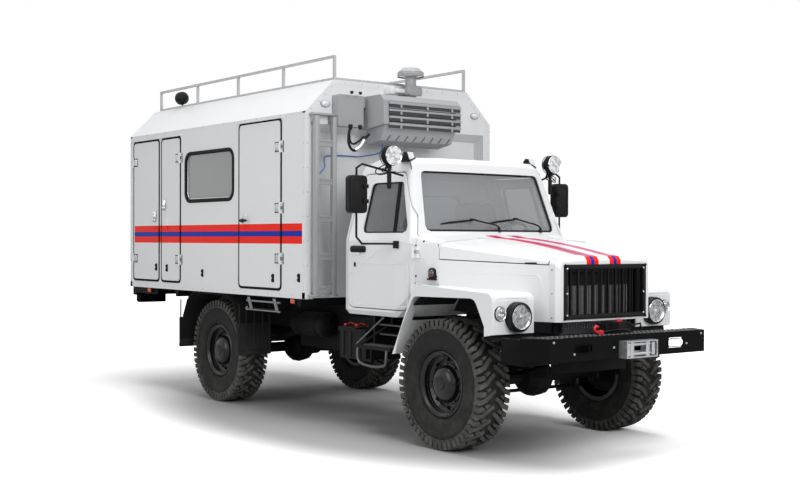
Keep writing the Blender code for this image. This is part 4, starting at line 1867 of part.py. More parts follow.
def ledge_at(x):
    """Return the height of the sloping underside of the van's overhang."""
    share = (x - van_front() + RECESS_DEPTH) / RECESS_DEPTH
    return LEDGE_BACK_Z + (LEDGE_FRONT_Z - LEDGE_BACK_Z) * share


def van_window_outline(gap):
    return side_opening(VAN_WINDOW_SETBACK, VAN_WINDOW_WIDTH, VAN_WINDOW_BOTTOM, VAN_WINDOW_TOP,
                        VAN_WINDOW_CORNER, gap)


def latch(x, y, z):
    """Return a flush door latch on the left wall."""
    low = (x - LATCH_WIDTH / 2, z - LATCH_HEIGHT / 2)
    high = (x + LATCH_WIDTH / 2, z + LATCH_HEIGHT / 2)
    return prism("y", rounded(rectangle(low, high), LATCH_WIDTH * 0.2), y - LATCH_DEPTH, y + LATCH_DEPTH)


def add_van_doors():
    """Make the van's side door, the two leaves of its locker and its windows."""
    for name, setback, width, bottom, top, end, heights in van_doors():
        x = van_front() - setback - (0 if end > 0 else width)
        y = VAN_HALF_WIDTH + VAN_DOOR_PROUD + VAN_HINGE_RADIUS
        joint = pivot(name + "_pivot", shifted(x, -y, bottom))
        outline = side_opening(setback, width, bottom, top, VAN_DOOR_CORNER, DOOR_GAP)
        shapes = [wall_prism(outline, 1, VAN_DOOR_PROUD, VAN_WALL)]
        shapes += van_hinge_shapes(x, end, heights, True)
        free = x - end * (width - LATCH_WIDTH * 1.6)
        shapes.append(latch(free, VAN_HALF_WIDTH + VAN_DOOR_PROUD, LATCH_Z))
        make(name, white_paint(), on_side(shapes, -1), joint=joint)
    for side, hand in ((-1, "right"), (1, "left")):
        shape = wall_prism(van_window_outline(SEAM), side, -VAN_WALL * 0.3, VAN_WALL * 0.3 + VAN_GLASS)
        make("van_window_" + hand, dark_glass(), [shape])


def rear_hinge_axis(side):
    return Vector((van_rear() - VAN_DOOR_PROUD - VAN_HINGE_RADIUS, side * REAR_DOOR_HALF_WIDTH,
                   REAR_DOOR_BOTTOM))


def rear_hinge_shapes(side, odd):
    """Return the hinges of one rear door, turned from the pattern of the side doors."""
    pattern = van_hinge_shapes(0, 1, LOCKER_HINGE_HEIGHTS, odd)
    offset = VAN_HALF_WIDTH - abs(van_rear())
    turned = []
    for shape in pattern:
        other = shape.copy()
        bmesh.ops.rotate(other, cent=(0, 0, 0), matrix=Matrix.Rotation(math.pi / 2, 3, "Z"),
                         verts=other.verts)
        bmesh.ops.translate(other, vec=(offset, REAR_DOOR_HALF_WIDTH, 0), verts=other.verts)
        if side < 0:
            other = mirrored(other)
        turned.append(other)
    return turned


def add_rear_doors():
    """Make the pair of doors in the van's rear wall."""
    rear = van_rear()
    for side, hand in ((-1, "right"), (1, "left")):
        joint = pivot("rear_door_" + hand + "_pivot", shifted(*rear_hinge_axis(side)))
        low = (DOOR_GAP / 2, REAR_DOOR_BOTTOM + DOOR_GAP)
        high = (REAR_DOOR_HALF_WIDTH - DOOR_GAP, REAR_DOOR_TOP - DOOR_GAP)
        corner = VAN_DOOR_CORNER - DOOR_GAP
        outline = rounded(rectangle(low, high), [0, corner, corner, 0], 2)
        shapes = on_side([prism("x", outline, rear - VAN_DOOR_PROUD, rear + VAN_WALL)], side)
        shapes += rear_hinge_shapes(side, True)
        make("rear_door_" + hand, white_paint(), shapes, joint=joint)


def add_roof_rack():
    """Make the rack of square tube along the roof's edges."""
    half = RACK_TUBE / 2
    front = van_front() - RACK_INSET
    rear = van_rear() + RACK_REAR_INSET
    base_low = VAN_ROOF + SEAM
    base_y = VAN_HALF_WIDTH - VAN_SHOULDER - RACK_TUBE
    shapes = []
    for side in (-1, 1):
        y = side * base_y
        y_ends = (y - half, y + half)
        shapes.append(block((rear, front), y_ends, (base_low, base_low + RACK_TUBE)))
        shapes.append(block((rear, front), y_ends, (RACK_TOP - RACK_TUBE, RACK_TOP)))
        for number in range(RACK_POSTS):
            x = front - half - (front - rear - RACK_TUBE) * number / (RACK_POSTS - 1)
            shapes.append(block((x - half, x + half), y_ends, (base_low + half, RACK_TOP - half)))
    for x_ends in ((front - RACK_TUBE, front), (rear, rear + RACK_TUBE)):
        shapes.append(block(x_ends, (-base_y, base_y), (base_low, base_low + RACK_TUBE)))
    make("roof_rack", zinc(), shapes)


def add_ladder():
    """Make the ladder before the van's front, clamped to its brow above and its wall below."""
    wall = van_front() + SEAM
    x = wall + LADDER_STANDOFF
    shapes = []
    for y in (LADDER_INNER_Y, LADDER_OUTER_Y):
        shapes.append(tube([(x, y, LADDER_BOTTOM), (x, y, LADDER_TOP)], LADDER_TUBE, 8))
    for z in LADDER_RUNG_HEIGHTS:
        shapes.append(tube([(x, LADDER_INNER_Y, z), (x, LADDER_OUTER_Y, z)], LADDER_RUNG, 6))
    thick = LADDER_TUBE * 0.6
    for y, foot in ((LADDER_INNER_Y, wall - RECESS_DEPTH), (LADDER_OUTER_Y, wall)):
        shapes.append(block((wall, x), (y - thick, y + thick),
                            (LADDER_TOP - thick * 3, LADDER_TOP - thick)))
        z_ends = (LADDER_RUNG_HEIGHTS[0] - thick * 3, LADDER_RUNG_HEIGHTS[0] - thick)
        shapes.append(block((foot, x), (y - thick, y + thick), z_ends))
    make("ladder", zinc(), on_side(shapes, -1))


def add_condenser():
    """Make the cooling unit on the van's brow, with its louvres, back plate and control unit."""
    wall = van_front() + SEAM
    plate = CONDENSER_PLATE
    right, left = CONDENSER_RIGHT_Y, CONDENSER_LEFT_Y
    profile = [(wall, CONDENSER_BOTTOM + plate),
               (wall + CONDENSER_DEPTH, CONDENSER_BOTTOM + CONDENSER_DEPTH * 0.15),
               (wall + CONDENSER_DEPTH * 0.97, CONDENSER_TOP - CONDENSER_DEPTH * 0.15),
               (wall + CONDENSER_TOP_DEPTH, CONDENSER_TOP),
               (wall, CONDENSER_TOP)]
    foot = van_front() + CONDENSER_DEPTH * 0.1
    shapes = [prism("y", profile, right, left)]
    belly = [(foot, CONDENSER_FOOT), (wall + CONDENSER_DEPTH * 0.7, CONDENSER_FOOT + CONDENSER_DEPTH * 0.1),
             (wall + CONDENSER_DEPTH * 0.95, CONDENSER_BOTTOM + CONDENSER_DEPTH * 0.2),
             (foot, CONDENSER_BOTTOM + CONDENSER_DEPTH * 0.2)]
    shapes.append(prism("y", belly, right + plate * 3, left - plate * 3))
    back = [(right, LEDGE_FRONT_Z + plate), (CONDENSER_PLATE_LEFT_Y - plate * 8, LEDGE_FRONT_Z + plate),
            (CONDENSER_PLATE_LEFT_Y, LEDGE_FRONT_Z + plate * 9), (CONDENSER_PLATE_LEFT_Y, CONDENSER_TOP),
            (right, CONDENSER_TOP)]
    shapes.append(prism("x", back, wall, wall + plate))
    unit = [(CONTROL_UNIT_RIGHT_Y, CONTROL_UNIT_BOTTOM), (CONTROL_UNIT_LEFT_Y, CONTROL_UNIT_BOTTOM),
            (CONTROL_UNIT_LEFT_Y, CONTROL_UNIT_TOP), (CONTROL_UNIT_RIGHT_Y, CONTROL_UNIT_TOP)]
    shapes.append(prism("x", rounded(unit, plate), wall, wall + CONTROL_UNIT_DEPTH))
    duct = block((wall, wall + CONTROL_UNIT_DEPTH * 0.5), (CONTROL_UNIT_LEFT_Y - plate, right + plate),
                 (CONDENSER_TOP - CONTROL_UNIT_DEPTH, CONDENSER_TOP - plate * 2))
    shapes.append(duct)
    cuts = []
    face = wall + CONDENSER_DEPTH
    span = CONDENSER_TOP - CONDENSER_BOTTOM - CONDENSER_DEPTH * 0.3
    for number in range(LOUVRES):
        z = CONDENSER_BOTTOM + CONDENSER_DEPTH * 0.15 + span * (number + 0.5) / LOUVRES
        cuts.append(block((face - LOUVRE * 2, face + OVERRUN), (right + plate * 5, left - plate * 5),
                          (z - LOUVRE / 2, z + LOUVRE / 2)))
    make("condenser", grey_plastic(), shapes, cuts)


def add_roof_vent():
    """Make the capped pipe that stands against the van's brow."""
    x = van_front() + SEAM + VENT_PIPE_RADIUS + CONDENSER_PLATE + VENT_STANDOFF
    base = CONDENSER_TOP + SEAM
    cap = VENT_TOP - VENT_CAP_HEIGHT
    profile = [(base, 0), (base, VENT_PIPE_RADIUS), (cap, VENT_PIPE_RADIUS), (cap, VENT_CAP_RADIUS)]
    profile += [(cap + VENT_CAP_HEIGHT * 0.35, VENT_CAP_RADIUS),
                (cap + VENT_CAP_HEIGHT * 0.85, VENT_CAP_RADIUS * 0.6), (VENT_TOP, 0)]
    shapes = [lathe(profile, (x, VENT_Y, 0), (0, 0, 1), 20)]
    thick = CONDENSER_PLATE
    shapes.append(block((van_front() + SEAM, x), (VENT_Y - VENT_PIPE_RADIUS, VENT_Y + VENT_PIPE_RADIUS),
                        (VAN_ROOF - thick * 8, VAN_ROOF - thick * 6)))
    make("roof_vent", zinc(), shapes)


def smooth_route(points, spacing):
    """Return evenly spaced points of a smooth curve through a route's own points."""
    knots = [Vector(point) for point in points]
    dense = []
    for index in range(len(knots) - 1):
        before = knots[max(index - 1, 0)]
        start, end = knots[index], knots[index + 1]
        after = knots[min(index + 2, len(knots) - 1)]
        for step in range(20):
            t = step / 20
            dense.append(0.5 * ((2 * start) + (end - before) * t
                                + (2 * before - 5 * start + 4 * end - after) * t * t
                                + (3 * start - before - 3 * end + after) * t ** 3))
    dense.append(knots[-1])
    result = [dense[0]]
    for point in dense[1:]:
        if (point - result[-1]).length >= spacing:
            result.append(point)
    result[-1] = dense[-1]
    return result


def add_blue_cable():
    """Make the supply cable that is clipped along the van's front wall and down the ladder."""
    wall = van_front() - RECESS_DEPTH + CABLE_RADIUS * 3
    flat = LADDER_TUBE * math.cos(math.pi / 8)
    ladder_x = van_front() + LADDER_STANDOFF + flat + CABLE_RADIUS + SEAM * 2
    stile = -LADDER_OUTER_Y
    between = -(LADDER_INNER_Y + LADDER_OUTER_Y) / 2
    z = LEDGE_BACK_Z - RECESS_DEPTH
    drop = RECESS_DEPTH
    foot_x = van_front() + CONDENSER_DEPTH * 0.35
    y = CONDENSER_RIGHT_Y + drop
    route = [(foot_x, y, CONDENSER_FOOT + CONDENSER_DEPTH * 0.02 - CABLE_RADIUS),
             (foot_x, y - drop * 0.1, z - drop * 0.2),
             (wall + drop * 0.3, y - drop * 0.6, z - drop * 0.4), (wall, y - drop * 1.2, z - drop * 0.4),
             (wall, y - drop * 2.2, z - drop * 0.4), (wall, -LADDER_INNER_Y + drop * 0.3, z - drop * 0.5),
             (wall + drop * 0.9, between + drop * 0.2, z - drop * 0.9),
             (ladder_x, between - drop * 0.1, z - drop * 1.3),
             (ladder_x, stile, z - drop * 2.0), (ladder_x, stile, z - drop * 3)]
    points = smooth_route(route, CABLE_RADIUS * 5) + [(ladder_x, stile, LADDER_BOTTOM + CABLE_RADIUS)]
    curve = bpy.data.curves.new("blue_cable", "CURVE")
    curve.dimensions = "3D"
    curve.bevel_depth = CABLE_RADIUS
    curve.bevel_resolution = 2
    curve.use_fill_caps = True
    line = curve.splines.new("POLY")
    line.points.add(len(points) - 1)
    for knot, point in zip(line.points, points):
        knot.co = (*shifted(*point), 1)
    cable = bpy.data.objects.new("blue_cable", curve)
    bpy.context.collection.objects.link(cable)
    curve.materials.append(finish("blue_jacket", (0.02, 0.16, 0.50), 0.45))


def build():
    """Clear the scene and make every piece."""
    for thing in list(bpy.data.objects):
        bpy.data.objects.remove(thing)
    add_steering()
    add_wheels()
    add_front_axle()
    add_rear_axle()
    add_chassis_frame()
    add_front_bumper()
    add_fairlead()
    add_winch()
    add_engine()
    add_radiator()
    add_driveline()
    add_fuel_tank()
    add_exhaust()
    add_steps()
    add_mudguards()
    add_rear_bar()
    add_entry_step()
    add_cab_shell()
    add_cab_glass()
    add_cab_doors()
    add_cab_inside()
    add_bonnet()
    add_fascia()
    add_grille()
    add_wings()
    add_headlamps()
    add_van_shell()
    add_van_doors()
    add_rear_doors()
    add_roof_rack()
    add_ladder()
    add_condenser()
    add_roof_vent()
    add_blue_cable()


build()
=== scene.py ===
"""Mobile workshop truck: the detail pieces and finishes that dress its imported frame."""
import math

import bmesh
import bpy
from mathutils import Matrix, Vector


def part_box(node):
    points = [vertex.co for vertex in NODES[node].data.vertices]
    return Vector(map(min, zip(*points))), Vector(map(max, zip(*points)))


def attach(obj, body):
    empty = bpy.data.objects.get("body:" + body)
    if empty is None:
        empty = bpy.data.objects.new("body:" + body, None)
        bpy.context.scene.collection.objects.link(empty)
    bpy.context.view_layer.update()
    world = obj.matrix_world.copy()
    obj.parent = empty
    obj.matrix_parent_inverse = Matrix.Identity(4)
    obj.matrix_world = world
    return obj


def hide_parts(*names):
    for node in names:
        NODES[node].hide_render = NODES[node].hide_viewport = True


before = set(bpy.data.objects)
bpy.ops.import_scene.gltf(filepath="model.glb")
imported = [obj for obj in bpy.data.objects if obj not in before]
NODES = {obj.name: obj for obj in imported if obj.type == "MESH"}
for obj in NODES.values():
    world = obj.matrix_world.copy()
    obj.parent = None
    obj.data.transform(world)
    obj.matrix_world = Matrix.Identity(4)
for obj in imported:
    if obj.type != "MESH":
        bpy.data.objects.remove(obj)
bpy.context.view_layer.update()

bl_info = {
    "name": "Workshop Truck Dressing",
    "version": (1, 0, 0),
    "blender": (4, 5, 0),
    "location": "View3D > Sidebar > Truck",
    "description": "Adds the treads, trims, lamps, fittings and finishes of a box-bodied workshop truck",
    "category": "Object",
}

FRONT_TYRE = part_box("tyre_front_right")
AXLE_X = (FRONT_TYRE[0].x + FRONT_TYRE[1].x) / 2
VAN_FRONT = -1.879
VAN_REAR = -5.683
SIDE_Y = 1.147
DOOR_Y = 1.153
RIGHT = (0, -1, 0)
LEFT = (0, 1, 0)
FRONT = (1, 0, 0)
BACK = (-1, 0, 0)
UP = (0, 0, 1)
DOWN = (0, 0, -1)


def at(x, y, z):
    """Return a place measured from the middle of the front axle and the ground."""
    return Vector((x + AXLE_X, y, z))


def path(*places):
    """Return a run of places, each measured as by at."""
    return [at(*place) for place in places]


# Sizes and colours


def metres(label, text, default):
    """Declare a length."""
    return bpy.props.FloatProperty(name=label, description=text, default=default, unit="LENGTH", precision=4)


def turn(label, text, default):
    """Declare an angle, given in degrees."""
    return bpy.props.FloatProperty(name=label, description=text, default=math.radians(default), subtype="ANGLE")


def shade(label, text, default):
    """Declare a colour."""
    return bpy.props.FloatVectorProperty(name=label, description=text, default=default, subtype="COLOR", size=3,
                                         min=0, max=1)


class TruckSizes(bpy.types.PropertyGroup):
    tread_depth: metres("Tread depth", "Height of the tyre's blocks over the carcass", 0.02)
    tread_pitches: bpy.props.IntProperty(name="Tread pitches", description="Repeats of the tread round a tyre",
                                         default=26)
    seal_width: metres("Door seal", "Width of the rubber seal round a van door", 0.011)
    rivet_radius: metres("Rivet radius", "Radius of the domed rivets on the van's trims", 0.006)
    rivet_pitch: metres("Rivet pitch", "Distance between rivets along a trim", 0.22)
    band_low: metres("Band foot", "Height of the lower edge of the van's coloured band", 1.684)
    band_high: metres("Band head", "Height of the upper edge of the van's coloured band", 1.878)


class TruckColours(bpy.types.PropertyGroup):
    paint: shade("Paint", "White body paint", (0.8, 0.81, 0.82))
    band_red: shade("Band red", "Red of the bands", (0.9, 0.02, 0.007))
    band_blue: shade("Band blue", "Blue of the bands", (0.0, 0.028, 0.37))
    black: shade("Black paint", "Bumper, chassis and brackets", (0.006, 0.006, 0.0065))
    zinc: shade("Galvanised steel", "Rack, ladder and hinges", (0.47, 0.48, 0.49))
    plastic: shade("Grey plastic", "Housings of the cooling unit", (0.4, 0.41, 0.41))
    rubber: shade("Rubber", "Seals and hoses", (0.006, 0.006, 0.006))
    tyre: shade("Tyre", "Tyre rubber", (0.013, 0.013, 0.013))
    amber: shade("Amber lens", "Side marker lamps", (0.8, 0.07, 0.004))


class TruckView(bpy.types.PropertyGroup):
    camera: bpy.props.FloatVectorProperty(name="Camera", description="Place of the camera", unit="LENGTH",
                                          default=(9.94285, -7.328, 1.721), size=3)
    yaw: turn("Yaw", "Turn of the view from +X towards +Y", 142.68)
    pitch: turn("Pitch", "Rise of the view over the horizon", -0.46)
    roll: turn("Roll", "Tilt of the picture", 0.19)
    lens: bpy.props.FloatProperty(name="Focal length", description="Focal length for a 36 mm wide picture",
                                  default=54.588)
    key: bpy.props.FloatProperty(name="Key light", description="Power of the light ahead of the truck", default=425,
                                 subtype="POWER")
    side: bpy.props.FloatProperty(name="Side light", description="Power of the light beside the truck", default=280,
                                  subtype="POWER")
    fill: bpy.props.FloatProperty(name="Fill light", description="Power of the light over the truck", default=1130,
                                  subtype="POWER")
    ambient: bpy.props.FloatProperty(name="Ambient", description="Strength of the surrounding light", default=0.26)


def sizes():
    """Return the sizes set in the sidebar."""
    return bpy.context.scene.truck_sizes


def colours():
    """Return the colours set in the sidebar."""
    return bpy.context.scene.truck_colours


# Modelling by hand


def put_down():
    """Leave edit mode with nothing selected."""
    active = bpy.context.view_layer.objects.active
    if active and active.mode == "EDIT":
        bpy.ops.object.mode_set(mode="OBJECT")
    bpy.ops.object.select_all(action="DESELECT")


def take(name):
    """Name the primitive that has just been added and open it for shaping."""
    piece = bpy.context.view_layer.objects.active
    piece.name = name
    piece.data.name = name
    bpy.ops.object.mode_set(mode="EDIT")
    return piece


def pick(piece, test, kind="FACE"):
    """Select the faces, edges or corners of an open piece whose middle and direction pass a test."""
    bpy.ops.mesh.select_mode(type=kind)
    bpy.ops.mesh.select_all(action="DESELECT")
    mesh = bmesh.from_edit_mesh(piece.data)
    if kind == "FACE":
        for item in mesh.faces:
            item.select_set(test(item.calc_center_median(), item.normal))
    elif kind == "EDGE":
        for item in mesh.edges:
            ends = item.verts
            item.select_set(test((ends[0].co + ends[1].co) / 2, (ends[1].co - ends[0].co).normalized()))
    else:
        for item in mesh.verts:
            item.select_set(test(item.co, item.normal))
    mesh.select_flush_mode()
    bmesh.update_edit_mesh(piece.data)


def standing(place, facing=UP, up=None):
    """Return the matrix that turns a piece's own Z towards a direction and moves it to a place."""
    normal = Vector(facing).normalized()
    upward = Vector(up) if up else Vector(UP if abs(normal.z) < 0.9 else FRONT)
    across = upward.cross(normal).normalized()
    upward = normal.cross(across)
    turned_to = Matrix((across, upward, normal)).transposed().to_4x4()
    return Matrix.Translation(Vector(place)) @ turned_to


def close(piece, matrix=None, smooth=35):
    """Close a shaped piece: merge doubles, face outwards, and keep its place in its mesh."""
    bpy.ops.mesh.select_mode(type="VERT")
    bpy.ops.mesh.select_all(action="SELECT")
    bpy.ops.mesh.remove_doubles(threshold=0.00002)
    bpy.ops.mesh.normals_make_consistent(inside=False)
    bpy.ops.object.mode_set(mode="OBJECT")
    if matrix is not None:
        piece.matrix_world = matrix
    bpy.ops.object.transform_apply(location=True, rotation=True, scale=True)
    if smooth:
        bpy.ops.object.shade_smooth_by_angle(angle=math.radians(smooth))
    return piece


def box(name, low, high, bevel=0.002, segments=2):
    """Start from a cube between two corners and round its edges."""
    put_down()
    low, high = Vector(low), Vector(high)
    bpy.ops.mesh.primitive_cube_add(size=1, location=(low + high) / 2, scale=high - low)
    bpy.ops.object.transform_apply(location=True, rotation=True, scale=True)
    piece = take(name)
    if bevel:
        bpy.ops.mesh.bevel(offset=bevel, segments=segments, affect="EDGES")
    return close(piece)


def turned(name, rings, place, facing=UP, sides=32, hollow=False, smooth=35):
    """Start from a circle and draw it out ring by ring, each a distance and a radius."""
    put_down()
    start = rings[0]
    bpy.ops.mesh.primitive_circle_add(vertices=sides, radius=start[1], location=(0, 0, start[0]),
                                      fill_type="NOTHING" if hollow else "NGON")
    bpy.ops.object.transform_apply(location=True, rotation=True, scale=True)
    piece = take(name)
    bpy.ops.mesh.select_all(action="SELECT")
    for before, after in zip(rings, rings[1:]):
        bpy.ops.mesh.extrude_region_move(TRANSFORM_OT_translate={"value": (0, 0, after[0] - before[0])})
        if after[1] == 0:
            bpy.ops.mesh.merge(type="CENTER")
        else:
            ratio = after[1] / before[1]
            bpy.ops.transform.resize(value=(ratio, ratio, 1), center_override=(0, 0, after[0]))
    return close(piece, standing(place, facing), smooth)


def outlined(name, corners, depth, place, facing, rounding=0, band=0, bevel=0, segments=4, up=None, smooth=35):
    """Start from a flat shape, round its corners, leave a band of it or all, and draw it out."""
    put_down()
    bpy.ops.mesh.primitive_circle_add(vertices=len(corners), radius=1, fill_type="NGON")
    piece = take(name)
    mesh = bmesh.from_edit_mesh(piece.data)
    mesh.verts.ensure_lookup_table()
    for vertex, corner in zip(mesh.verts, corners):
        vertex.co = (corner[0], corner[1], 0)
    bmesh.update_edit_mesh(piece.data)
    bpy.ops.mesh.select_all(action="SELECT")
    bpy.ops.mesh.normals_make_consistent(inside=False)
    if rounding:
        bpy.ops.mesh.bevel(offset=rounding, segments=segments, affect="VERTICES")
    if band:
        bpy.ops.mesh.select_mode(type="FACE")
        bpy.ops.mesh.select_all(action="SELECT")
        bpy.ops.mesh.inset(thickness=band, use_boundary=True)
        bpy.ops.mesh.delete(type="FACE")
        bpy.ops.mesh.select_all(action="SELECT")
    bpy.ops.mesh.extrude_region_move(TRANSFORM_OT_translate={"value": (0, 0, depth)})
    if bevel:
        bpy.ops.mesh.select_mode(type="EDGE")
        pick(piece, lambda middle, way: abs(middle.z - depth) < abs(depth) * 0.01, "EDGE")
        bpy.ops.mesh.bevel(offset=bevel, segments=2, affect="EDGES")
    return close(piece, standing(place, facing, up), smooth)


def rectangle(width, height):
    """Return the corners of a rectangle round the middle."""
    return ((-width / 2, -height / 2), (width / 2, -height / 2), (width / 2, height / 2), (-width / 2, height / 2))


def bent(name, points, radius, sides=2, closed=False, sharp=False, smooth=60):
    """Start from a curve through points and give it a round section."""
    put_down()
    bpy.ops.curve.primitive_bezier_curve_add()
    piece = bpy.context.view_layer.objects.active
    piece.name = name
    piece.location = (0, 0, 0)
    line = piece.data.splines[0]
    line.bezier_points.add(len(points) - 2)
    for knot, point in zip(line.bezier_points, points):
        knot.co = point
        knot.handle_left_type = knot.handle_right_type = "VECTOR" if sharp else "AUTO"
    line.use_cyclic_u = closed
    line.resolution_u = 1 if sharp else 5
    piece.data.bevel_depth = radius
    piece.data.bevel_resolution = sides
    piece.data.use_fill_caps = not closed
    bpy.ops.object.convert(target="MESH")
    piece = take(name)
    return close(piece, None, smooth)


def copied(piece, matrices, name=None):
    """Copy a modelled shape to each place, and join the copies into one piece."""
    put_down()
    made = []
    for matrix in matrices:
        copy = piece.copy()
        copy.data = piece.data.copy()
        copy.data.transform(matrix)
        if matrix.determinant() < 0:
            copy.data.flip_normals()
        bpy.context.collection.objects.link(copy)
        copy.select_set(True)
        made.append(copy)
    bpy.context.view_layer.objects.active = made[0]
    if len(made) > 1:
        bpy.ops.object.join()
    title = name or piece.name
    bpy.data.objects.remove(piece)
    made[0].name = title
    made[0].data.name = title
    return made[0]


def placed(model, name, matrix):
    """Copy a modelled shape to one place under a name, and keep the model."""
    piece = model.copy()
    piece.data = model.data.copy()
    piece.data.transform(matrix)
    bpy.context.collection.objects.link(piece)
    piece.name = name
    return piece


def joined(name, pieces):
    """Join modelled shapes into one piece."""
    put_down()
    for piece in pieces:
        piece.select_set(True)
    bpy.context.view_layer.objects.active = pieces[0]
    if len(pieces) > 1:
        bpy.ops.object.join()
    pieces[0].name = name
    pieces[0].data.name = name
    return pieces[0]


def flipped():
    """Return the matrix that mirrors the truck's right side to its left."""
    return Matrix.Scale(-1, 4, (0, 1, 0))


def both_sides(piece):
    """Keep a right-hand shape and add its mirror image on the left."""
    return copied(piece, [Matrix.Identity(4), flipped()])


SLOT_FINISHES = {
    "black_paint": "satin_black gloss_black bumper_black chassis_black red_paint",
    "white_paint": "body_paint nose_paint van_paint trim_paint rivet_zinc",
    "galvanised_steel": "bright_zinc dark_zinc ladder_grey worn_steel chrome reflector",
    "black_rubber": "seal_rubber seal_black liner_black flap_rubber",
    "tyre_rubber": "tyre_tread dusty_tread",
    "window_glass": "clear_lens amber_lens red_lens smoked_lens lamp_glass",
    "grey_plastic": "grey_plastic slot_dark",
    "dash_plastic": "dash_plastic",
    "seat_cloth": "seat_fabric",
    "cast_iron": "copper_core",
}
FINISH_SLOTS = {finish: slot for slot, finishes in SLOT_FINISHES.items() for finish in finishes.split()}


def fit(piece, finish, body="truck", slot=None, nodes=()):
    """Give a piece its finish and its body, and hide the nodes that it stands for; its slot is worked out but not
    used.
    """
    piece.data.materials.clear()
    piece.data.materials.append(bpy.data.materials[finish])
    slot = slot or FINISH_SLOTS[finish]
    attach(piece, body)
    if nodes:
        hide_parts(*nodes)
    return piece


def dress(name, parts, finish, body="truck", slot=None):
    """Join shapes into one piece and fit it."""
    return fit(joined(name, parts), finish, body, slot)


def dress_both(name, parts, finish, body="truck"):
    """Join right-hand shapes, add their mirror image on the left, and fit the two as one piece."""
    return fit(both_sides(joined(name, parts)), finish, body)


def surface(node, start, direction):
    """Return the place where a line meets a node of the frame, and the direction it faces there."""
    hit, place, normal, _ = NODES[node].ray_cast(Vector(start), Vector(direction).normalized())
    if not hit:
        raise RuntimeError("no surface of " + node + " in the way")
    return place, normal


# Finishes


def node(tree, kind, inputs=None, **settings):
    """Add a shader node, set it up, and join its inputs to other nodes or values."""
    made = tree.nodes.new(kind)
    for key, value in settings.items():
        setattr(made, key, value)
    for key, value in (inputs or {}).items():
        if isinstance(value, bpy.types.NodeSocket):
            tree.links.new(value, made.inputs[key])
        else:
            made.inputs[key].default_value = value
    return made


def maths(tree, operation, *values, clamp=False):
    """Add one step of arithmetic and return its result."""
    inputs = dict(enumerate(values))
    return node(tree, "ShaderNodeMath", inputs, operation=operation, use_clamp=clamp).outputs[0]


def blended(tree, share, first, second):
    """Return a colour between two, by a share."""
    mix = node(tree, "ShaderNodeMix", data_type="RGBA")
    for socket, value in ((mix.inputs["Factor"], share), (mix.inputs[6], first), (mix.inputs[7], second)):
        if isinstance(value, bpy.types.NodeSocket):
            tree.links.new(value, socket)
        else:
            socket.default_value = value
    return mix.outputs[2]


def effect(name, inputs, outputs):
    """Start a shader node group with named inputs and outputs."""
    tree = bpy.data.node_groups.new(name, "ShaderNodeTree")
    kinds = {"vector": "NodeSocketVector", "colour": "NodeSocketColor", "value": "NodeSocketFloat"}
    for label, kind in inputs:
        tree.interface.new_socket(label, in_out="INPUT", socket_type=kinds[kind])
    for label, kind in outputs:
        tree.interface.new_socket(label, in_out="OUTPUT", socket_type=kinds[kind])
    return tree, tree.nodes.new("NodeGroupInput").outputs, tree.nodes.new("NodeGroupOutput")


def noise(tree, vector, scale, detail=4, roughness=0.55):
    """Add a noise texture and return its level."""
    return node(tree, "ShaderNodeTexNoise", {"Vector": vector, "Scale": scale, "Detail": detail,
                                             "Roughness": roughness}).outputs["Fac"]


def ramp(tree, value, low, high):
    """Return 0 below a value, 1 above another, and a smooth rise between."""
    inputs = {"Value": value, "From Min": low, "From Max": high}
    return node(tree, "ShaderNodeMapRange", inputs, interpolation_type="SMOOTHSTEP").outputs["Result"]


def make_weathering():
    """Dust that settles low down and in blotches, over a slightly uneven colour."""
    tree, given, out = effect("weathering", [("Vector", "vector"), ("Colour", "colour"), ("Dust", "colour"),
                                             ("Amount", "value"), ("Top", "value"), ("Unevenness", "value")],
                              [("Colour", "colour"), ("Mask", "value")])
    blotch = noise(tree, given["Vector"], 1.7, 5)
    uneven = maths(tree, "MULTIPLY", maths(tree, "SUBTRACT", blotch, 0.5), given["Unevenness"])
    bright = maths(tree, "ADD", uneven, 1.0)
    toned = node(tree, "ShaderNodeVectorMath", {0: given["Colour"], "Scale": bright}, operation="SCALE").outputs[0]
    height = node(tree, "ShaderNodeSeparateXYZ", {"Vector": given["Vector"]}).outputs["Z"]
    low = maths(tree, "SUBTRACT", 1.0, ramp(tree, height, 0.0, given["Top"]))
    fine = ramp(tree, noise(tree, given["Vector"], 9.0, 6, 0.65), 0.38, 0.72)
    mask = maths(tree, "MULTIPLY", maths(tree, "MULTIPLY", low, maths(tree, "ADD", fine, 0.25)), given["Amount"],
                 clamp=True)
    tree.links.new(blended(tree, mask, toned, given["Dust"]), out.inputs["Colour"])
    tree.links.new(mask, out.inputs["Mask"])


def make_grain():
    """Fine moulded or sprayed grain, as a height and as a small change of gloss."""
    tree, given, out = effect("grain", [("Vector", "vector"), ("Scale", "value"), ("Roughness", "value"),
                                        ("Spread", "value")], [("Height", "value"), ("Roughness", "value")])
    fine = noise(tree, given["Vector"], given["Scale"], 3)
    broad = noise(tree, given["Vector"], 3.0, 5)
    gloss = maths(tree, "MULTIPLY", maths(tree, "SUBTRACT", broad, 0.5), given["Spread"])
    tree.links.new(fine, out.inputs["Height"])
    tree.links.new(maths(tree, "ADD", gloss, given["Roughness"], clamp=True), out.inputs["Roughness"])


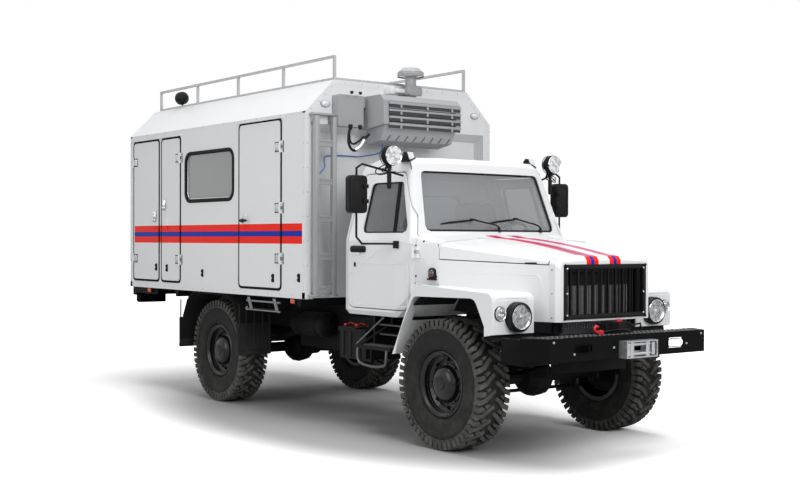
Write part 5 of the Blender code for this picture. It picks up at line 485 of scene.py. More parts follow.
def make_brushing():
    """Streaks and spangle of rolled, galvanised steel."""
    tree, given, out = effect("brushing", [("Vector", "vector"), ("Colour", "colour"), ("Stretch", "vector")],
                              [("Colour", "colour"), ("Height", "value")])
    stretched = node(tree, "ShaderNodeVectorMath", {0: given["Vector"], 1: given["Stretch"]},
                     operation="MULTIPLY").outputs[0]
    streak = noise(tree, stretched, 30.0, 4)
    spangle = node(tree, "ShaderNodeTexVoronoi", {"Vector": given["Vector"], "Scale": 60.0}).outputs["Color"]
    level = node(tree, "ShaderNodeSeparateColor", {"Color": spangle}).outputs["Red"]
    both = maths(tree, "ADD", maths(tree, "MULTIPLY", streak, 0.35), maths(tree, "MULTIPLY", level, 0.1))
    bright = maths(tree, "ADD", both, 0.78)
    tree.links.new(node(tree, "ShaderNodeVectorMath", {0: given["Colour"], "Scale": bright},
                        operation="SCALE").outputs[0], out.inputs["Colour"])
    tree.links.new(both, out.inputs["Height"])


def make_banding():
    """A red band with a blue middle, across one coordinate and inside limits of another."""
    tree, given, out = effect("banding", [("Across", "value"), ("Low", "value"), ("High", "value"),
                                          ("Mask", "value"), ("Paint", "colour"), ("Red", "colour"),
                                          ("Blue", "colour")], [("Colour", "colour"), ("Mask", "value")])
    share = node(tree, "ShaderNodeMapRange", {"Value": given["Across"], "From Min": given["Low"],
                                              "From Max": given["High"]}, clamp=False).outputs["Result"]
    away = maths(tree, "ABSOLUTE", maths(tree, "SUBTRACT", share, 0.5))
    inside = maths(tree, "MULTIPLY", maths(tree, "LESS_THAN", away, 0.5), given["Mask"])
    middle = maths(tree, "LESS_THAN", away, 0.135)
    band = blended(tree, middle, given["Red"], given["Blue"])
    tree.links.new(blended(tree, inside, given["Paint"], band), out.inputs["Colour"])
    tree.links.new(inside, out.inputs["Mask"])


def use(tree, name, inputs):
    """Place an effect in a material and return its outputs."""
    made = tree.nodes.new("ShaderNodeGroup")
    made.node_tree = bpy.data.node_groups[name]
    for key, value in inputs.items():
        if isinstance(value, bpy.types.NodeSocket):
            tree.links.new(value, made.inputs[key])
        else:
            made.inputs[key].default_value = value
    return made.outputs


def rgb(colour):
    """Return a colour with full opacity."""
    return (*colour, 1.0)


def coated(name, colour, roughness, dust=0.0, top=1.2, uneven=0.05, grain=180.0, depth=0.0002, spread=0.12,
           dust_colour=(0.34, 0.31, 0.27), bands=None, metal=False, stretch=None, **plain):
    """Make a finish: a colour with unevenness, dust and grain on a Principled surface."""
    material = bpy.data.materials.new(name)
    material.use_nodes = True
    tree = material.node_tree
    shader = tree.nodes["Principled BSDF"]
    coordinates = node(tree, "ShaderNodeTexCoord").outputs["Object"]
    base = rgb(colour)
    if bands:
        base = bands(tree, coordinates, base)
    if metal:
        streaked = use(tree, "brushing", {"Vector": coordinates, "Colour": base,
                                          "Stretch": stretch or (1, 1, 0.06)})
        base = streaked["Colour"]
        shader.inputs["Metallic"].default_value = 0.85
    aged = use(tree, "weathering", {"Vector": coordinates, "Colour": base, "Dust": rgb(dust_colour), "Amount": dust,
                                    "Top": top, "Unevenness": uneven})
    fine = use(tree, "grain", {"Vector": coordinates, "Scale": grain, "Roughness": roughness, "Spread": spread})
    dull = maths(tree, "MULTIPLY", aged["Mask"], 0.4)
    tree.links.new(aged["Colour"], shader.inputs["Base Color"])
    tree.links.new(maths(tree, "ADD", fine["Roughness"], dull, clamp=True), shader.inputs["Roughness"])
    bump = node(tree, "ShaderNodeBump", {"Height": fine["Height"], "Distance": depth, "Strength": 0.6})
    tree.links.new(bump.outputs["Normal"], shader.inputs["Normal"])
    for key, value in plain.items():
        shader.inputs[key.replace("_", " ").title().replace("Ior", "IOR")].default_value = value
    return material


def side_bands(tree, coordinates, base):
    """Lay the red and blue band along the van's flat sides."""
    place = node(tree, "ShaderNodeSeparateXYZ", {"Vector": coordinates}).outputs
    outside = maths(tree, "GREATER_THAN", maths(tree, "ABSOLUTE", place["Y"]), SIDE_Y - 0.004)
    ahead = maths(tree, "LESS_THAN", place["X"], AXLE_X - 1.93)
    behind = maths(tree, "GREATER_THAN", place["X"], AXLE_X - 5.56)
    mask = maths(tree, "MULTIPLY", outside, maths(tree, "MULTIPLY", ahead, behind))
    tones = colours()
    return use(tree, "banding", {"Across": place["Z"], "Low": sizes().band_low, "High": sizes().band_high,
                                 "Mask": mask, "Paint": base, "Red": rgb(tones.band_red),
                                 "Blue": rgb(tones.band_blue)})["Colour"]


def nose_bands(tree, coordinates, base):
    """Lay two narrow bands from the nose over the bonnet to the windscreen."""
    place = node(tree, "ShaderNodeSeparateXYZ", {"Vector": coordinates}).outputs
    over = maths(tree, "GREATER_THAN", place["Z"], 1.527)
    ahead = maths(tree, "GREATER_THAN", place["X"], AXLE_X - 0.4)
    below = maths(tree, "LESS_THAN", place["Z"], 1.8)
    mask = maths(tree, "MULTIPLY", over, maths(tree, "MULTIPLY", ahead, below))
    normal = node(tree, "ShaderNodeTexCoord").outputs["Normal"]
    rise = node(tree, "ShaderNodeSeparateXYZ", {"Vector": normal}).outputs["Z"]
    mask = maths(tree, "MULTIPLY", mask, maths(tree, "GREATER_THAN", rise, -0.2))
    tones = colours()
    for low, high in ((-0.22, -0.081), (0.048, 0.18)):
        base = use(tree, "banding", {"Across": place["Y"], "Low": low, "High": high, "Mask": mask, "Paint": base,
                                     "Red": rgb(tones.band_red), "Blue": rgb(tones.band_blue)})["Colour"]
    return base


def glazed(name, colour, alpha, roughness=0.04):
    """Make tinted glass that is seen through."""
    material = coated(name, colour, roughness, dust=0.0, uneven=0.1, grain=2.0, depth=0.0, spread=0.02, alpha=alpha,
                      coat_weight=0.6, coat_roughness=0.03)
    material.use_transparency_overlap = False
    return material


def make_reflector():
    """Make the bright metal of a lamp's bowl, broken into light and dark facets by painted glints in its colour."""
    material = coated("reflector", (0.8, 0.81, 0.82), 0.16, uneven=0.1, grain=60.0, depth=0.0006)
    tree = material.node_tree
    shader = tree.nodes["Principled BSDF"]
    shader.inputs["Metallic"].default_value = 0.9
    coordinates = node(tree, "ShaderNodeTexCoord").outputs["Object"]
    # Painted reflection: cells of brighter and darker metal colour stand in for the glints of a faceted bowl.
    glint_cells = node(tree, "ShaderNodeTexVoronoi", {"Vector": coordinates, "Scale": 38.0}).outputs["Color"]
    level = node(tree, "ShaderNodeSeparateColor", {"Color": glint_cells}).outputs["Red"]
    painted_glint_colour = blended(tree, ramp(tree, level, 0.15, 0.75), (0.55, 0.56, 0.57, 1), (0.95, 0.96, 0.97, 1))
    tree.links.new(painted_glint_colour, shader.inputs["Base Color"])


def make_finishes():
    """Build every effect and finish once."""
    make_weathering()
    make_grain()
    make_brushing()
    make_banding()
    tones = colours()
    paint = dict(roughness=0.3, uneven=0.03, grain=260.0, depth=0.00008, spread=0.08, coat_weight=0.35,
                 coat_roughness=0.12)
    coated("body_paint", tones.paint, dust=0.1, top=1.5, **paint)
    banded = dict(paint, specular_ior_level=0.12, coat_weight=0.0)
    coated("nose_paint", tones.paint, dust=0.06, top=1.3, bands=nose_bands, **banded)
    coated("van_paint", tones.paint, dust=0.08, top=1.5, bands=side_bands, **banded)
    coated("wing_paint", tones.paint, dust=0.35, top=1.05, dust_colour=(0.52, 0.51, 0.48), **paint)
    coated("trim_paint", [share * 0.97 for share in tones.paint], 0.42, dust=0.06, top=1.5)
    coated("gloss_black", tones.black, 0.22, specular_ior_level=0.3, dust=0.03, top=1.0, coat_weight=0.1)
    coated("bumper_black", (0.0035, 0.0037, 0.004), 0.4, specular_ior_level=0.06, dust=0.04, top=1.0, grain=420.0,
           depth=0.0003)
    coated("chassis_black", (0.005, 0.005, 0.005), 0.55, specular_ior_level=0.15, dust=0.1, top=1.0,
           dust_colour=(0.06, 0.055, 0.05))
    # Black of the rear mudguards, also used for the painted shade sheets in the front arches.
    coated("liner_black", (0.011, 0.011, 0.011), 0.75, specular_ior_level=0.15, dust=0.12, top=1.2,
           dust_colour=(0.06, 0.055, 0.05))
    coated("cast_iron", (0.016, 0.016, 0.016), 0.6, specular_ior_level=0.15, dust=0.12, top=1.3, grain=90.0,
           depth=0.0006, dust_colour=(0.06, 0.055, 0.05))
    coated("satin_black", (0.01, 0.01, 0.011), 0.45, specular_ior_level=0.15, uneven=0.08, grain=500.0,
           depth=0.0003)
    coated("seal_rubber", tones.rubber, 0.62, specular_ior_level=0.15, uneven=0.15, grain=300.0, depth=0.0003)
    # Black of the door seals, also used for the painted shadow outlines behind the hinge plates.
    coated("seal_black", (0.006, 0.006, 0.006), 0.6, specular_ior_level=0.08, uneven=0.1, grain=300.0, depth=0.0002)
    coated("dusty_tread", (0.052, 0.052, 0.05), 0.8, specular_ior_level=0.12, dust=1.0, top=2.6, uneven=0.6,
           grain=120.0, depth=0.0008, dust_colour=(0.12, 0.118, 0.112))
    coated("tyre_tread", tones.tyre, 0.72, specular_ior_level=0.15, dust=0.22, top=1.4, uneven=0.3, grain=120.0,
           depth=0.0008, dust_colour=(0.14, 0.135, 0.125))
    coated("rack_zinc", tones.zinc, 0.42, metal=True, uneven=0.1, coat_weight=0.0)
    # Painted shade: a grey darker than the ladder's whitish metal, for the ladder and its covers; the roof vent
    # shares it.
    coated("ladder_grey", (0.36, 0.37, 0.38), 0.45, uneven=0.1, grain=220.0)
    coated("worn_steel", (0.11, 0.11, 0.112), 0.48, metal=True, uneven=0.5, grain=90.0)
    coated("flap_rubber", (0.014, 0.014, 0.014), 0.6, specular_ior_level=0.25, dust=0.3, top=1.1, uneven=0.3,
           dust_colour=(0.1, 0.095, 0.09))
    coated("bright_zinc", (0.62, 0.63, 0.65), 0.3, metal=True, uneven=0.12)
    coated("dark_zinc", (0.26, 0.27, 0.29), 0.34, metal=True, uneven=0.14)
    coated("rivet_zinc", (0.42, 0.43, 0.45), 0.42, uneven=0.2)
    coated("chrome", (0.75, 0.76, 0.78), 0.1, metal=True, uneven=0.04, stretch=(0.3, 0.3, 0.3), spread=0.05)
    coated("grey_plastic", tones.plastic, 0.55, uneven=0.06, grain=350.0, depth=0.0003)
    coated("slot_dark", (0.045, 0.046, 0.047), 0.7, uneven=0.1)
    coated("dash_plastic", (0.055, 0.057, 0.062), 0.65, uneven=0.08, grain=420.0, depth=0.0004)
    coated("seat_fabric", (0.085, 0.088, 0.095), 0.92, uneven=0.12, grain=700.0, depth=0.0012)
    coated("copper_core", (0.22, 0.22, 0.225), 0.6, uneven=0.2)
    coated("amber_lens", tones.amber, 0.2, uneven=0.15, coat_weight=0.6)
    coated("red_lens", (0.45, 0.01, 0.008), 0.2, uneven=0.15, coat_weight=0.6)
    coated("clear_lens", (0.72, 0.74, 0.76), 0.08, uneven=0.1, coat_weight=0.8)
    coated("smoked_lens", (0.06, 0.018, 0.012), 0.15, uneven=0.2, coat_weight=0.7)
    make_reflector()
    coated("red_paint", (0.62, 0.018, 0.028), 0.35, uneven=0.1)
    coated("blue_jacket", (0.01, 0.085, 0.3), 0.42, uneven=0.1, grain=320.0)
    glazed("cab_glass", (0.15, 0.16, 0.168), 0.6)
    glazed("screen_glass", (0.42, 0.44, 0.455), 0.38)
    glazed("van_glass", (0.255, 0.27, 0.268), 0.93)
    glazed("lamp_glass", (0.6, 0.62, 0.64), 0.1)


NODE_FINISHES = {
    "body_paint": "cab_door_left cab_door_right rear_door_left rear_door_right",
    "nose_paint": "bonnet fascia cab_shell",
    "van_paint": "van_shell side_door locker_door_front locker_door_rear",
    "wing_paint": "wing_left wing_right",
    "bumper_black": "front_bumper rear_bar",
    "chassis_black": "chassis_frame front_axle rear_axle knuckle_left knuckle_right tie_rod driveline fuel_tank"
                     " step_left step_right exhaust entry_step",
    "liner_black": "mudguard_left mudguard_right",
    "cast_iron": "engine radiator",
    "gloss_black": "wheel_front_left wheel_front_right wheel_rear_left wheel_rear_right",
    "satin_black": "grille winch mirror_left mirror_right steering_wheel headlamp_left headlamp_right",
    "tyre_tread": "tyre_front_left tyre_front_right tyre_rear_left tyre_rear_right",
    "rack_zinc": "roof_rack",
    "ladder_grey": "ladder roof_vent",
    "bright_zinc": "fairlead",
    "grey_plastic": "condenser",
    "dash_plastic": "dashboard",
    "seat_fabric": "seats",
    "screen_glass": "windscreen",
    "cab_glass": "door_glass_left door_glass_right cab_rear_glass",
    "van_glass": "van_window_left van_window_right",
    "blue_jacket": "blue_cable",
}


class TRUCK_OT_finishes(bpy.types.Operator):
    """Build the finishes and lay them on the nodes of the frame"""
    bl_idname = "truck.finishes"
    bl_label = "Finishes"

    def execute(self, context):
        make_finishes()
        for finish, names in NODE_FINISHES.items():
            for name in names.split():
                slots = NODES[name].material_slots
                for slot in slots:
                    slot.material = bpy.data.materials[finish]
        return {"FINISHED"}


class TRUCK_OT_stage(bpy.types.Operator):
    """Set up the floor, the lights and the camera"""
    bl_idname = "truck.stage"
    bl_label = "Stage"

    def execute(self, context):
        view = context.scene.truck_view
        self.set_camera(context, view)
        self.set_world(context, view)
        self.lay_floor()
        self.add_light("key_light", view.key, (9.5, -1.5, 5.5), (0, 0, 1.2), 5.0)
        self.add_light("side_light", view.side, (1.0, -10.0, 5.0), (-0.5, 0, 1.2), 6.0)
        self.add_light("top_light", view.fill, (0.5, -0.5, 14.0), (0.0, 0, 0), 8.0)
        context.scene.view_settings.view_transform = "Standard"
        return {"FINISHED"}

    def set_camera(self, context, view):
        """Aim a camera by its turn, rise and tilt."""
        put_down()
        bpy.ops.object.camera_add()
        camera = context.object
        camera.name = "camera"
        rise = math.cos(view.pitch)
        aim = Vector((rise * math.cos(view.yaw), rise * math.sin(view.yaw), math.sin(view.pitch)))
        across = aim.cross(Vector(UP)).normalized()
        upward = across.cross(aim)
        cosine, sine = math.cos(view.roll), math.sin(view.roll)
        across, upward = across * cosine + upward * sine, upward * cosine - across * sine
        matrix = Matrix((across, upward, -aim)).transposed().to_4x4()
        matrix.translation = Vector(view.camera)
        camera.matrix_world = matrix
        camera.data.sensor_width = 36
        camera.data.lens = view.lens
        camera.data.clip_end = 200
        context.scene.camera = camera

    def set_world(self, context, view):
        """Light the truck evenly, and show white to the camera, to gloss and through glass."""
        world = bpy.data.worlds.new("studio")
        world.use_nodes = True
        tree = world.node_tree
        seen = node(tree, "ShaderNodeLightPath").outputs
        direct = maths(tree, "MAXIMUM", seen["Is Camera Ray"],
                       maths(tree, "MAXIMUM", seen["Is Glossy Ray"], seen["Is Transmission Ray"]))
        rest = maths(tree, "SUBTRACT", 1.0, direct)
        level = maths(tree, "ADD", direct, maths(tree, "MULTIPLY", rest, view.ambient))
        back = tree.nodes["Background"]
        back.inputs["Color"].default_value = (1, 1, 1, 1)
        tree.links.new(level, back.inputs["Strength"])
        context.scene.world = world

    def lay_floor(self):
        """Lay a wide pale floor that keeps the truck's shadow, darkens under the truck with a painted shadow, and
        fades to white.
        """
        put_down()
        bpy.ops.mesh.primitive_plane_add(size=1, location=(0, 0, 0))
        piece = take("studio_floor")
        bpy.ops.mesh.select_all(action="SELECT")
        bpy.ops.transform.resize(value=(160, 160, 1), center_override=(0, 0, 0))
        close(piece, None, 0)
        material = bpy.data.materials.new("floor_white")
        material.use_nodes = True
        tree = material.node_tree
        shader = tree.nodes["Principled BSDF"]
        shader.inputs["Roughness"].default_value = 0.9
        shader.inputs["Specular IOR Level"].default_value = 0.0
        shader.inputs["Emission Color"].default_value = (1, 1, 1, 1)
        camera_ray = node(tree, "ShaderNodeLightPath").outputs["Is Camera Ray"]
        coordinates = node(tree, "ShaderNodeTexCoord").outputs["Object"]
        # Painted shadow: the camera sees the floor at 0.42 inside an ellipse round a point beside the truck's right
        # side, rising to 1.45 outside it.
        from_painted_shadow_middle = node(tree, "ShaderNodeVectorMath", {0: coordinates, 1: (-0.6, 0.9, 0)}, operation="ADD").outputs[0]
        scaled = node(tree, "ShaderNodeVectorMath", {0: from_painted_shadow_middle, 1: (1 / 3.3, 1 / 1.4, 0)}, operation="MULTIPLY")
        spread = node(tree, "ShaderNodeVectorMath", {0: scaled.outputs[0]}, operation="LENGTH").outputs["Value"]
        painted_shadow_tone = blended(tree, ramp(tree, spread, 0.55, 1.25), (0.42, 0.42, 0.42, 1), (1.45, 1.45, 1.45, 1))
        seen_tone_with_painted_shadow = blended(tree, camera_ray, (0.72, 0.72, 0.72, 1), painted_shadow_tone)
        tree.links.new(seen_tone_with_painted_shadow, shader.inputs["Base Color"])
        away = node(tree, "ShaderNodeVectorMath", {0: coordinates}, operation="LENGTH").outputs["Value"]
        far = maths(tree, "MULTIPLY", ramp(tree, away, 4.5, 9.0), camera_ray)
        tree.links.new(far, shader.inputs["Emission Strength"])
        piece.data.materials.append(material)

    def add_light(self, name, power, place, aim, size):
        """Hang a large square light and turn it towards a point."""
        bpy.ops.object.light_add(type="AREA", location=place)
        lamp = bpy.context.object
        lamp.name = name
        lamp.data.energy = power
        lamp.data.size = size
        lamp.rotation_euler = (Vector(aim) - Vector(place)).to_track_quat("-Z", "Y").to_euler()


# Wheels


def wheel_places():
    """Return each wheel's name, body, middle and outward direction."""
    places = []
    for end in ("front", "rear"):
        for hand, facing in (("right", RIGHT), ("left", LEFT)):
            low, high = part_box("tyre_" + end + "_" + hand)
            places.append((end + "_" + hand, end + "_" + hand + "_wheel", (low + high) / 2, facing))
    return places


TYRE_RADIUS = 0.542
TYRE_HALF = 0.1575
SIDEWALL = ((0.11, 0.256), (0.1105, 0.279), (0.131, 0.286), (0.1365, 0.29), (0.135, 0.296), (0.143, 0.305),
            (0.148, 0.318), (0.1502, 0.323), (0.1492, 0.33), (0.153, 0.355), (0.1548, 0.39), (0.154, 0.42),
            (0.1558, 0.423), (0.1556, 0.429), (0.1525, 0.433), (0.149, 0.455), (0.142, 0.478), (0.128, 0.498),
            (0.105, 0.511), (0.07, 0.518), (0.03, 0.5215))


def carcass_radius(place):
    """Return the radius of the tyre between its blocks, at a place across it."""
    return 0.522 - 0.04 * (abs(place) / TYRE_HALF) ** 4 - 0.008 * (place / TYRE_HALF) ** 2


def crown_radius(place):
    """Return the radius of the tops of the tread's blocks, at a place across the tyre."""
    return TYRE_RADIUS - 0.011 * (abs(place) / TYRE_HALF) ** 3


def wrap_block(piece, height):
    """Wrap a block modelled flat, along X and across Y, round the tyre's axis Z."""
    for vertex in piece.data.vertices:
        along, across, up = vertex.co
        low = carcass_radius(across) - 0.004
        radius = low + (crown_radius(across) - low) * up / height
        angle = along / TYRE_RADIUS
        vertex.co = (radius * math.cos(angle), radius * math.sin(angle), across)


def tread_block(corners, pitch, height, offset=0, mirror=1):
    """Model one block of the tread from corners given as shares of the pitch and of the half width."""
    flat = [((share + offset) * pitch, mirror * across * TYRE_HALF) for share, across in corners]
    piece = outlined("tread_block", flat, height, (0, 0, 0), UP, bevel=0.0035, up=LEFT)
    piece.data.transform(standing((0, 0, 0), UP, LEFT).inverted())
    wrap_block(piece, height)
    return piece


LONG_BLOCK = ((0.02, 1.0), (0.36, 1.0), (0.54, 0.62), (0.92, 0.26), (1.04, 0.05), (0.82, 0.02), (0.62, 0.24),
              (0.24, 0.56))
SHOULDER_BLOCK = ((0.54, 1.0), (0.84, 1.0), (0.92, 0.7), (0.8, 0.62), (0.6, 0.7))
INNER_BLOCK = ((0.82, 0.54), (1.0, 0.62), (1.16, 0.4), (1.04, 0.3))


class TRUCK_OT_tyres(bpy.types.Operator):
    """Model a tyre with an open tread of staggered blocks and fit it to all four wheels"""
    bl_idname = "truck.tyres"
    bl_label = "Tyres"

    def execute(self, context):
        count = sizes().tread_pitches
        pitch = math.tau * TYRE_RADIUS / count
        half = list(SIDEWALL)
        rings = half + [(-place, radius) for place, radius in reversed(half)] + [half[0]]
        carcass = turned("carcass", rings, (0, 0, 0), UP, 96, hollow=True, smooth=50)
        blocks = []
        for corners in (LONG_BLOCK, SHOULDER_BLOCK, INNER_BLOCK):
            for mirror, offset in ((1, 0), (-1, 0.5)):
                blocks.append(tread_block(corners, pitch, sizes().tread_depth, offset, mirror))
        for mirror in (1, -1):
            for offset in (0.0, 0.5):
                blocks.append(self.side_block(pitch, offset + (0.25 if mirror < 0 else 0), mirror))
        one = joined("tread_pitch", blocks)
        turns = [Matrix.Rotation(math.tau * number / count, 4, "Z") for number in range(count)]
        tread = copied(one, turns, "tread")
        for name, body, middle, facing in wheel_places():
            for model, label, finish, nodes in ((carcass, "tyre_carcass_", "tyre_tread", ("tyre_" + name,)),
                                                (tread, "tyre_blocks_", "dusty_tread", ())):
                fit(placed(model, label + name, standing(middle, facing)), finish, body, nodes=nodes)
        bpy.data.objects.remove(carcass)
        bpy.data.objects.remove(tread)
        return {"FINISHED"}

    def side_block(self, pitch, offset, mirror):
        """Model a low lug on the tyre's shoulder, below the tread."""
        width = pitch * 0.2
        piece = box("side_lug", (-width, -0.004, -0.016), (width, 0.004, 0.016), 0.003)
        place = Matrix.Translation((0.468, 0, mirror * 0.1475)) @ Matrix.Rotation(mirror * 0.32, 4, "Y")
        turn_to = Matrix.Rotation(offset * pitch / TYRE_RADIUS, 4, "Z")
        laid = Matrix(((0, 0, 1, 0), (1, 0, 0, 0), (0, 1, 0, 0), (0, 0, 0, 1)))
        piece.data.transform(turn_to @ place @ laid)
        return piece


class TRUCK_OT_wheel_trims(bpy.types.Operator):
    """Model the domed hub caps, wheel nuts, lock rings and valves"""
    bl_idname = "truck.wheel_trims"
    bl_label = "Wheel trims"

    def execute(self, context):
        dome = turned("dome", [(0.046, 0.172), (0.056, 0.171), (0.06, 0.155), (0.082, 0.15), (0.104, 0.139),
                               (0.12, 0.12), (0.13, 0.096), (0.1335, 0.066), (0.1345, 0.05), (0.14, 0.048),
                               (0.1415, 0.03), (0.142, 0)], (0, 0, 0), UP, 48)
        ring = turned("ring", [(0.1, 0.239), (0.112, 0.236), (0.12, 0.243), (0.124, 0.252), (0.1305, 0.258),
                               (0.1315, 0.268), (0.126, 0.2755), (0.1, 0.2755), (0.1, 0.239)], (0, 0, 0), UP, 64,
                      hollow=True)
        step = turned("step", [(0.06, 0.232), (0.075, 0.228), (0.082, 0.231), (0.084, 0.237), (0.06, 0.2385),
                               (0.06, 0.232)], (0, 0, 0), UP, 64, hollow=True)
        nut = turned("nut", [(0.04, 0.0135), (0.058, 0.0135), (0.061, 0.0115), (0.061, 0.0075), (0.068, 0.007),
                             (0.07, 0.005), (0.07, 0)], (0.196, 0, 0), UP, 6)
        nuts = copied(nut, [Matrix.Rotation(math.tau * number / 8, 4, "Z") for number in range(8)])
        bolt = turned("bolt", [(0.05, 0.01), (0.062, 0.01), (0.065, 0.008), (0.065, 0)], (0.163, 0, 0), UP, 6)
        bolts = copied(bolt, [Matrix.Rotation(math.tau * (number + 0.5) / 10, 4, "Z") for number in range(10)])
        valve = bent("valve", [(0.218, 0.03, 0.05), (0.222, 0.03, 0.1), (0.226, 0.03, 0.128)], 0.0055)
        trim = joined("trim_model", [dome, ring, step, nuts, bolts, valve])
        for name, body, middle, facing in wheel_places():
            fit(placed(trim, "wheel_trim_" + name, standing(middle, facing)), "gloss_black", body)
        bpy.data.objects.remove(trim)
        return {"FINISHED"}


# Van body


SIDE_DOORS = (
    ("side_door", "van_side_door", -3.11, -2.31, 1.245, 2.885, 1, (1.54, 2.03, 2.62)),
    ("locker_door_rear", "rear_locker_door", -5.585, -4.93, 1.255, 2.85, -1, (1.5, 2.62)),
    ("locker_door_front", "front_locker_door", -4.86, -4.41, 1.255, 2.85, 1, (1.5, 2.62)),
)


HINGE_FACE = -1.1605
WALL_PLATE_FACE = -1.1545
HANDLE_X, HANDLE_Z = -3.012, 1.914
WINDOW_X, WINDOW_Z = -3.76, 2.395
TAIL_FACE = -5.709


def wall_strip(name, x_ends, z_ends, proud=0.0018):
    """Model a flat metal strip on the van's right wall."""
    return box(name, at(x_ends[0], -SIDE_Y - proud, z_ends[0]), at(x_ends[1], -SIDE_Y + 0.001, z_ends[1]), 0.0006,
               1)


def gable_strips(x, facing):
    """Model the strips along a gable's edges on the right side, from sill to roof."""
    out = facing[0]
    place = at(x - out * 0.001, 0, 0)
    depth = 0.003
    shapes = [((1.1, 1.166), (1.1485, 1.166), (1.1485, 2.931), (1.1, 2.912)),
              ((1.1, 2.912), (1.1485, 2.931), (0.83, 3.2485), (0.812, 3.203)),
              ((0.0, 3.203), (0.812, 3.203), (0.83, 3.2485), (0.0, 3.2485))]
    strips = []
    for corners in shapes:
        flat = [(-out * y, z) for y, z in corners]
        strips.append(outlined("gable_strip", flat, depth, place, facing))
    return strips


def rivet_places():
    """Return the place and direction of every rivet on the van's right half."""
    gap = sizes().rivet_pitch
    places = []
    wall, front, rear = -SIDE_Y - 0.0018, VAN_FRONT + 0.002, VAN_REAR - 0.002
    count = int((2.88 - 1.23) / gap)
    for number in range(count + 1):
        z = 1.25 + (2.86 - 1.25) * number / count
        places += [((VAN_FRONT - 0.028, wall, z), RIGHT), ((front, -1.124, z), FRONT)]
        places += [((VAN_REAR + 0.028, wall, z), RIGHT), ((rear, -1.124, z), BACK)]
    count = int((VAN_FRONT - VAN_REAR) / gap)
    for number in range(1, count):
        x = VAN_REAR + (VAN_FRONT - VAN_REAR) * number / count
        places += [((x, wall, 1.195), RIGHT), ((x, wall, 2.922), RIGHT)]
    for number in range(4):
        share = (number + 0.5) / 4
        y, z = -1.118 + (1.118 - 0.815) * share, 2.918 + (3.218 - 2.918) * share
        places += [((front, y, z), FRONT), ((rear, y, z), BACK)]
    for number in range(4):
        y = -0.1 - 0.2 * number
        places += [((front, y, 3.225), FRONT), ((rear, y, 3.225), BACK)]
    return places


class TRUCK_OT_van_trims(bpy.types.Operator):
    """Model the metal edge strips, gutters, panel joint and rivets of the van body"""
    bl_idname = "truck.van_trims"
    bl_label = "Van trims"

    def execute(self, context):
        strips = [wall_strip("strip", (VAN_FRONT - 0.052, VAN_FRONT + 0.0018), (1.166, 2.93)),
                  wall_strip("strip", (VAN_REAR - 0.0018, VAN_REAR + 0.052), (1.166, 2.93)),
                  wall_strip("strip", (VAN_REAR, VAN_FRONT), (1.166, 1.226)),
                  wall_strip("strip", (VAN_REAR, VAN_FRONT), (2.914, 2.9315))]
        joints = [wall_strip("joint", (-3.872, -3.858), (1.226, 2.1), 0.001),
                  wall_strip("joint", (-3.872, -3.858), (2.69, 2.914), 0.001)]
        dress_both("van_joints", joints, "van_paint")
        strips += gable_strips(VAN_FRONT, FRONT) + gable_strips(VAN_REAR, BACK)
        dress_both("van_trims", strips, "trim_paint")
        radius = sizes().rivet_radius
        rivet = turned("rivet", [(-0.0008, radius), (0.0006, radius), (0.0022, radius * 0.72), (0.0029, 0)],
                       (0, 0, 0), UP, 10)
        matrices = []
        for place, facing in rivet_places():
            matrix = standing(at(*place), facing)
            matrices += [matrix, flipped() @ matrix]
        fit(copied(rivet, matrices, "van_rivets"), "rivet_zinc")
        self.add_gutters()
        return {"FINISHED"}

    def add_gutters(self):
        """Model the drip rails over the side doors, each with a channel sunk along its top."""
        rails = []
        for x_ends, z in (((-3.15, -2.262), 2.893), ((-5.64, -4.37), 2.862)):
            low, high = at(x_ends[0], -1.171, z), at(x_ends[1], -1.145, z + 0.02)
            rail = box("rail", low, high, 0, 1)
            bpy.ops.object.mode_set(mode="EDIT")
            pick(rail, lambda middle, normal: normal.z > 0.9)
            bpy.ops.mesh.inset(thickness=0.0035)
            bpy.ops.transform.translate(value=(0, 0, -0.012))
            bpy.ops.mesh.select_all(action="SELECT")
            bpy.ops.mesh.bevel(offset=0.0012, segments=1, affect="EDGES")
            rails.append(close(rail))
        dress("door_gutters", rails, "trim_paint")


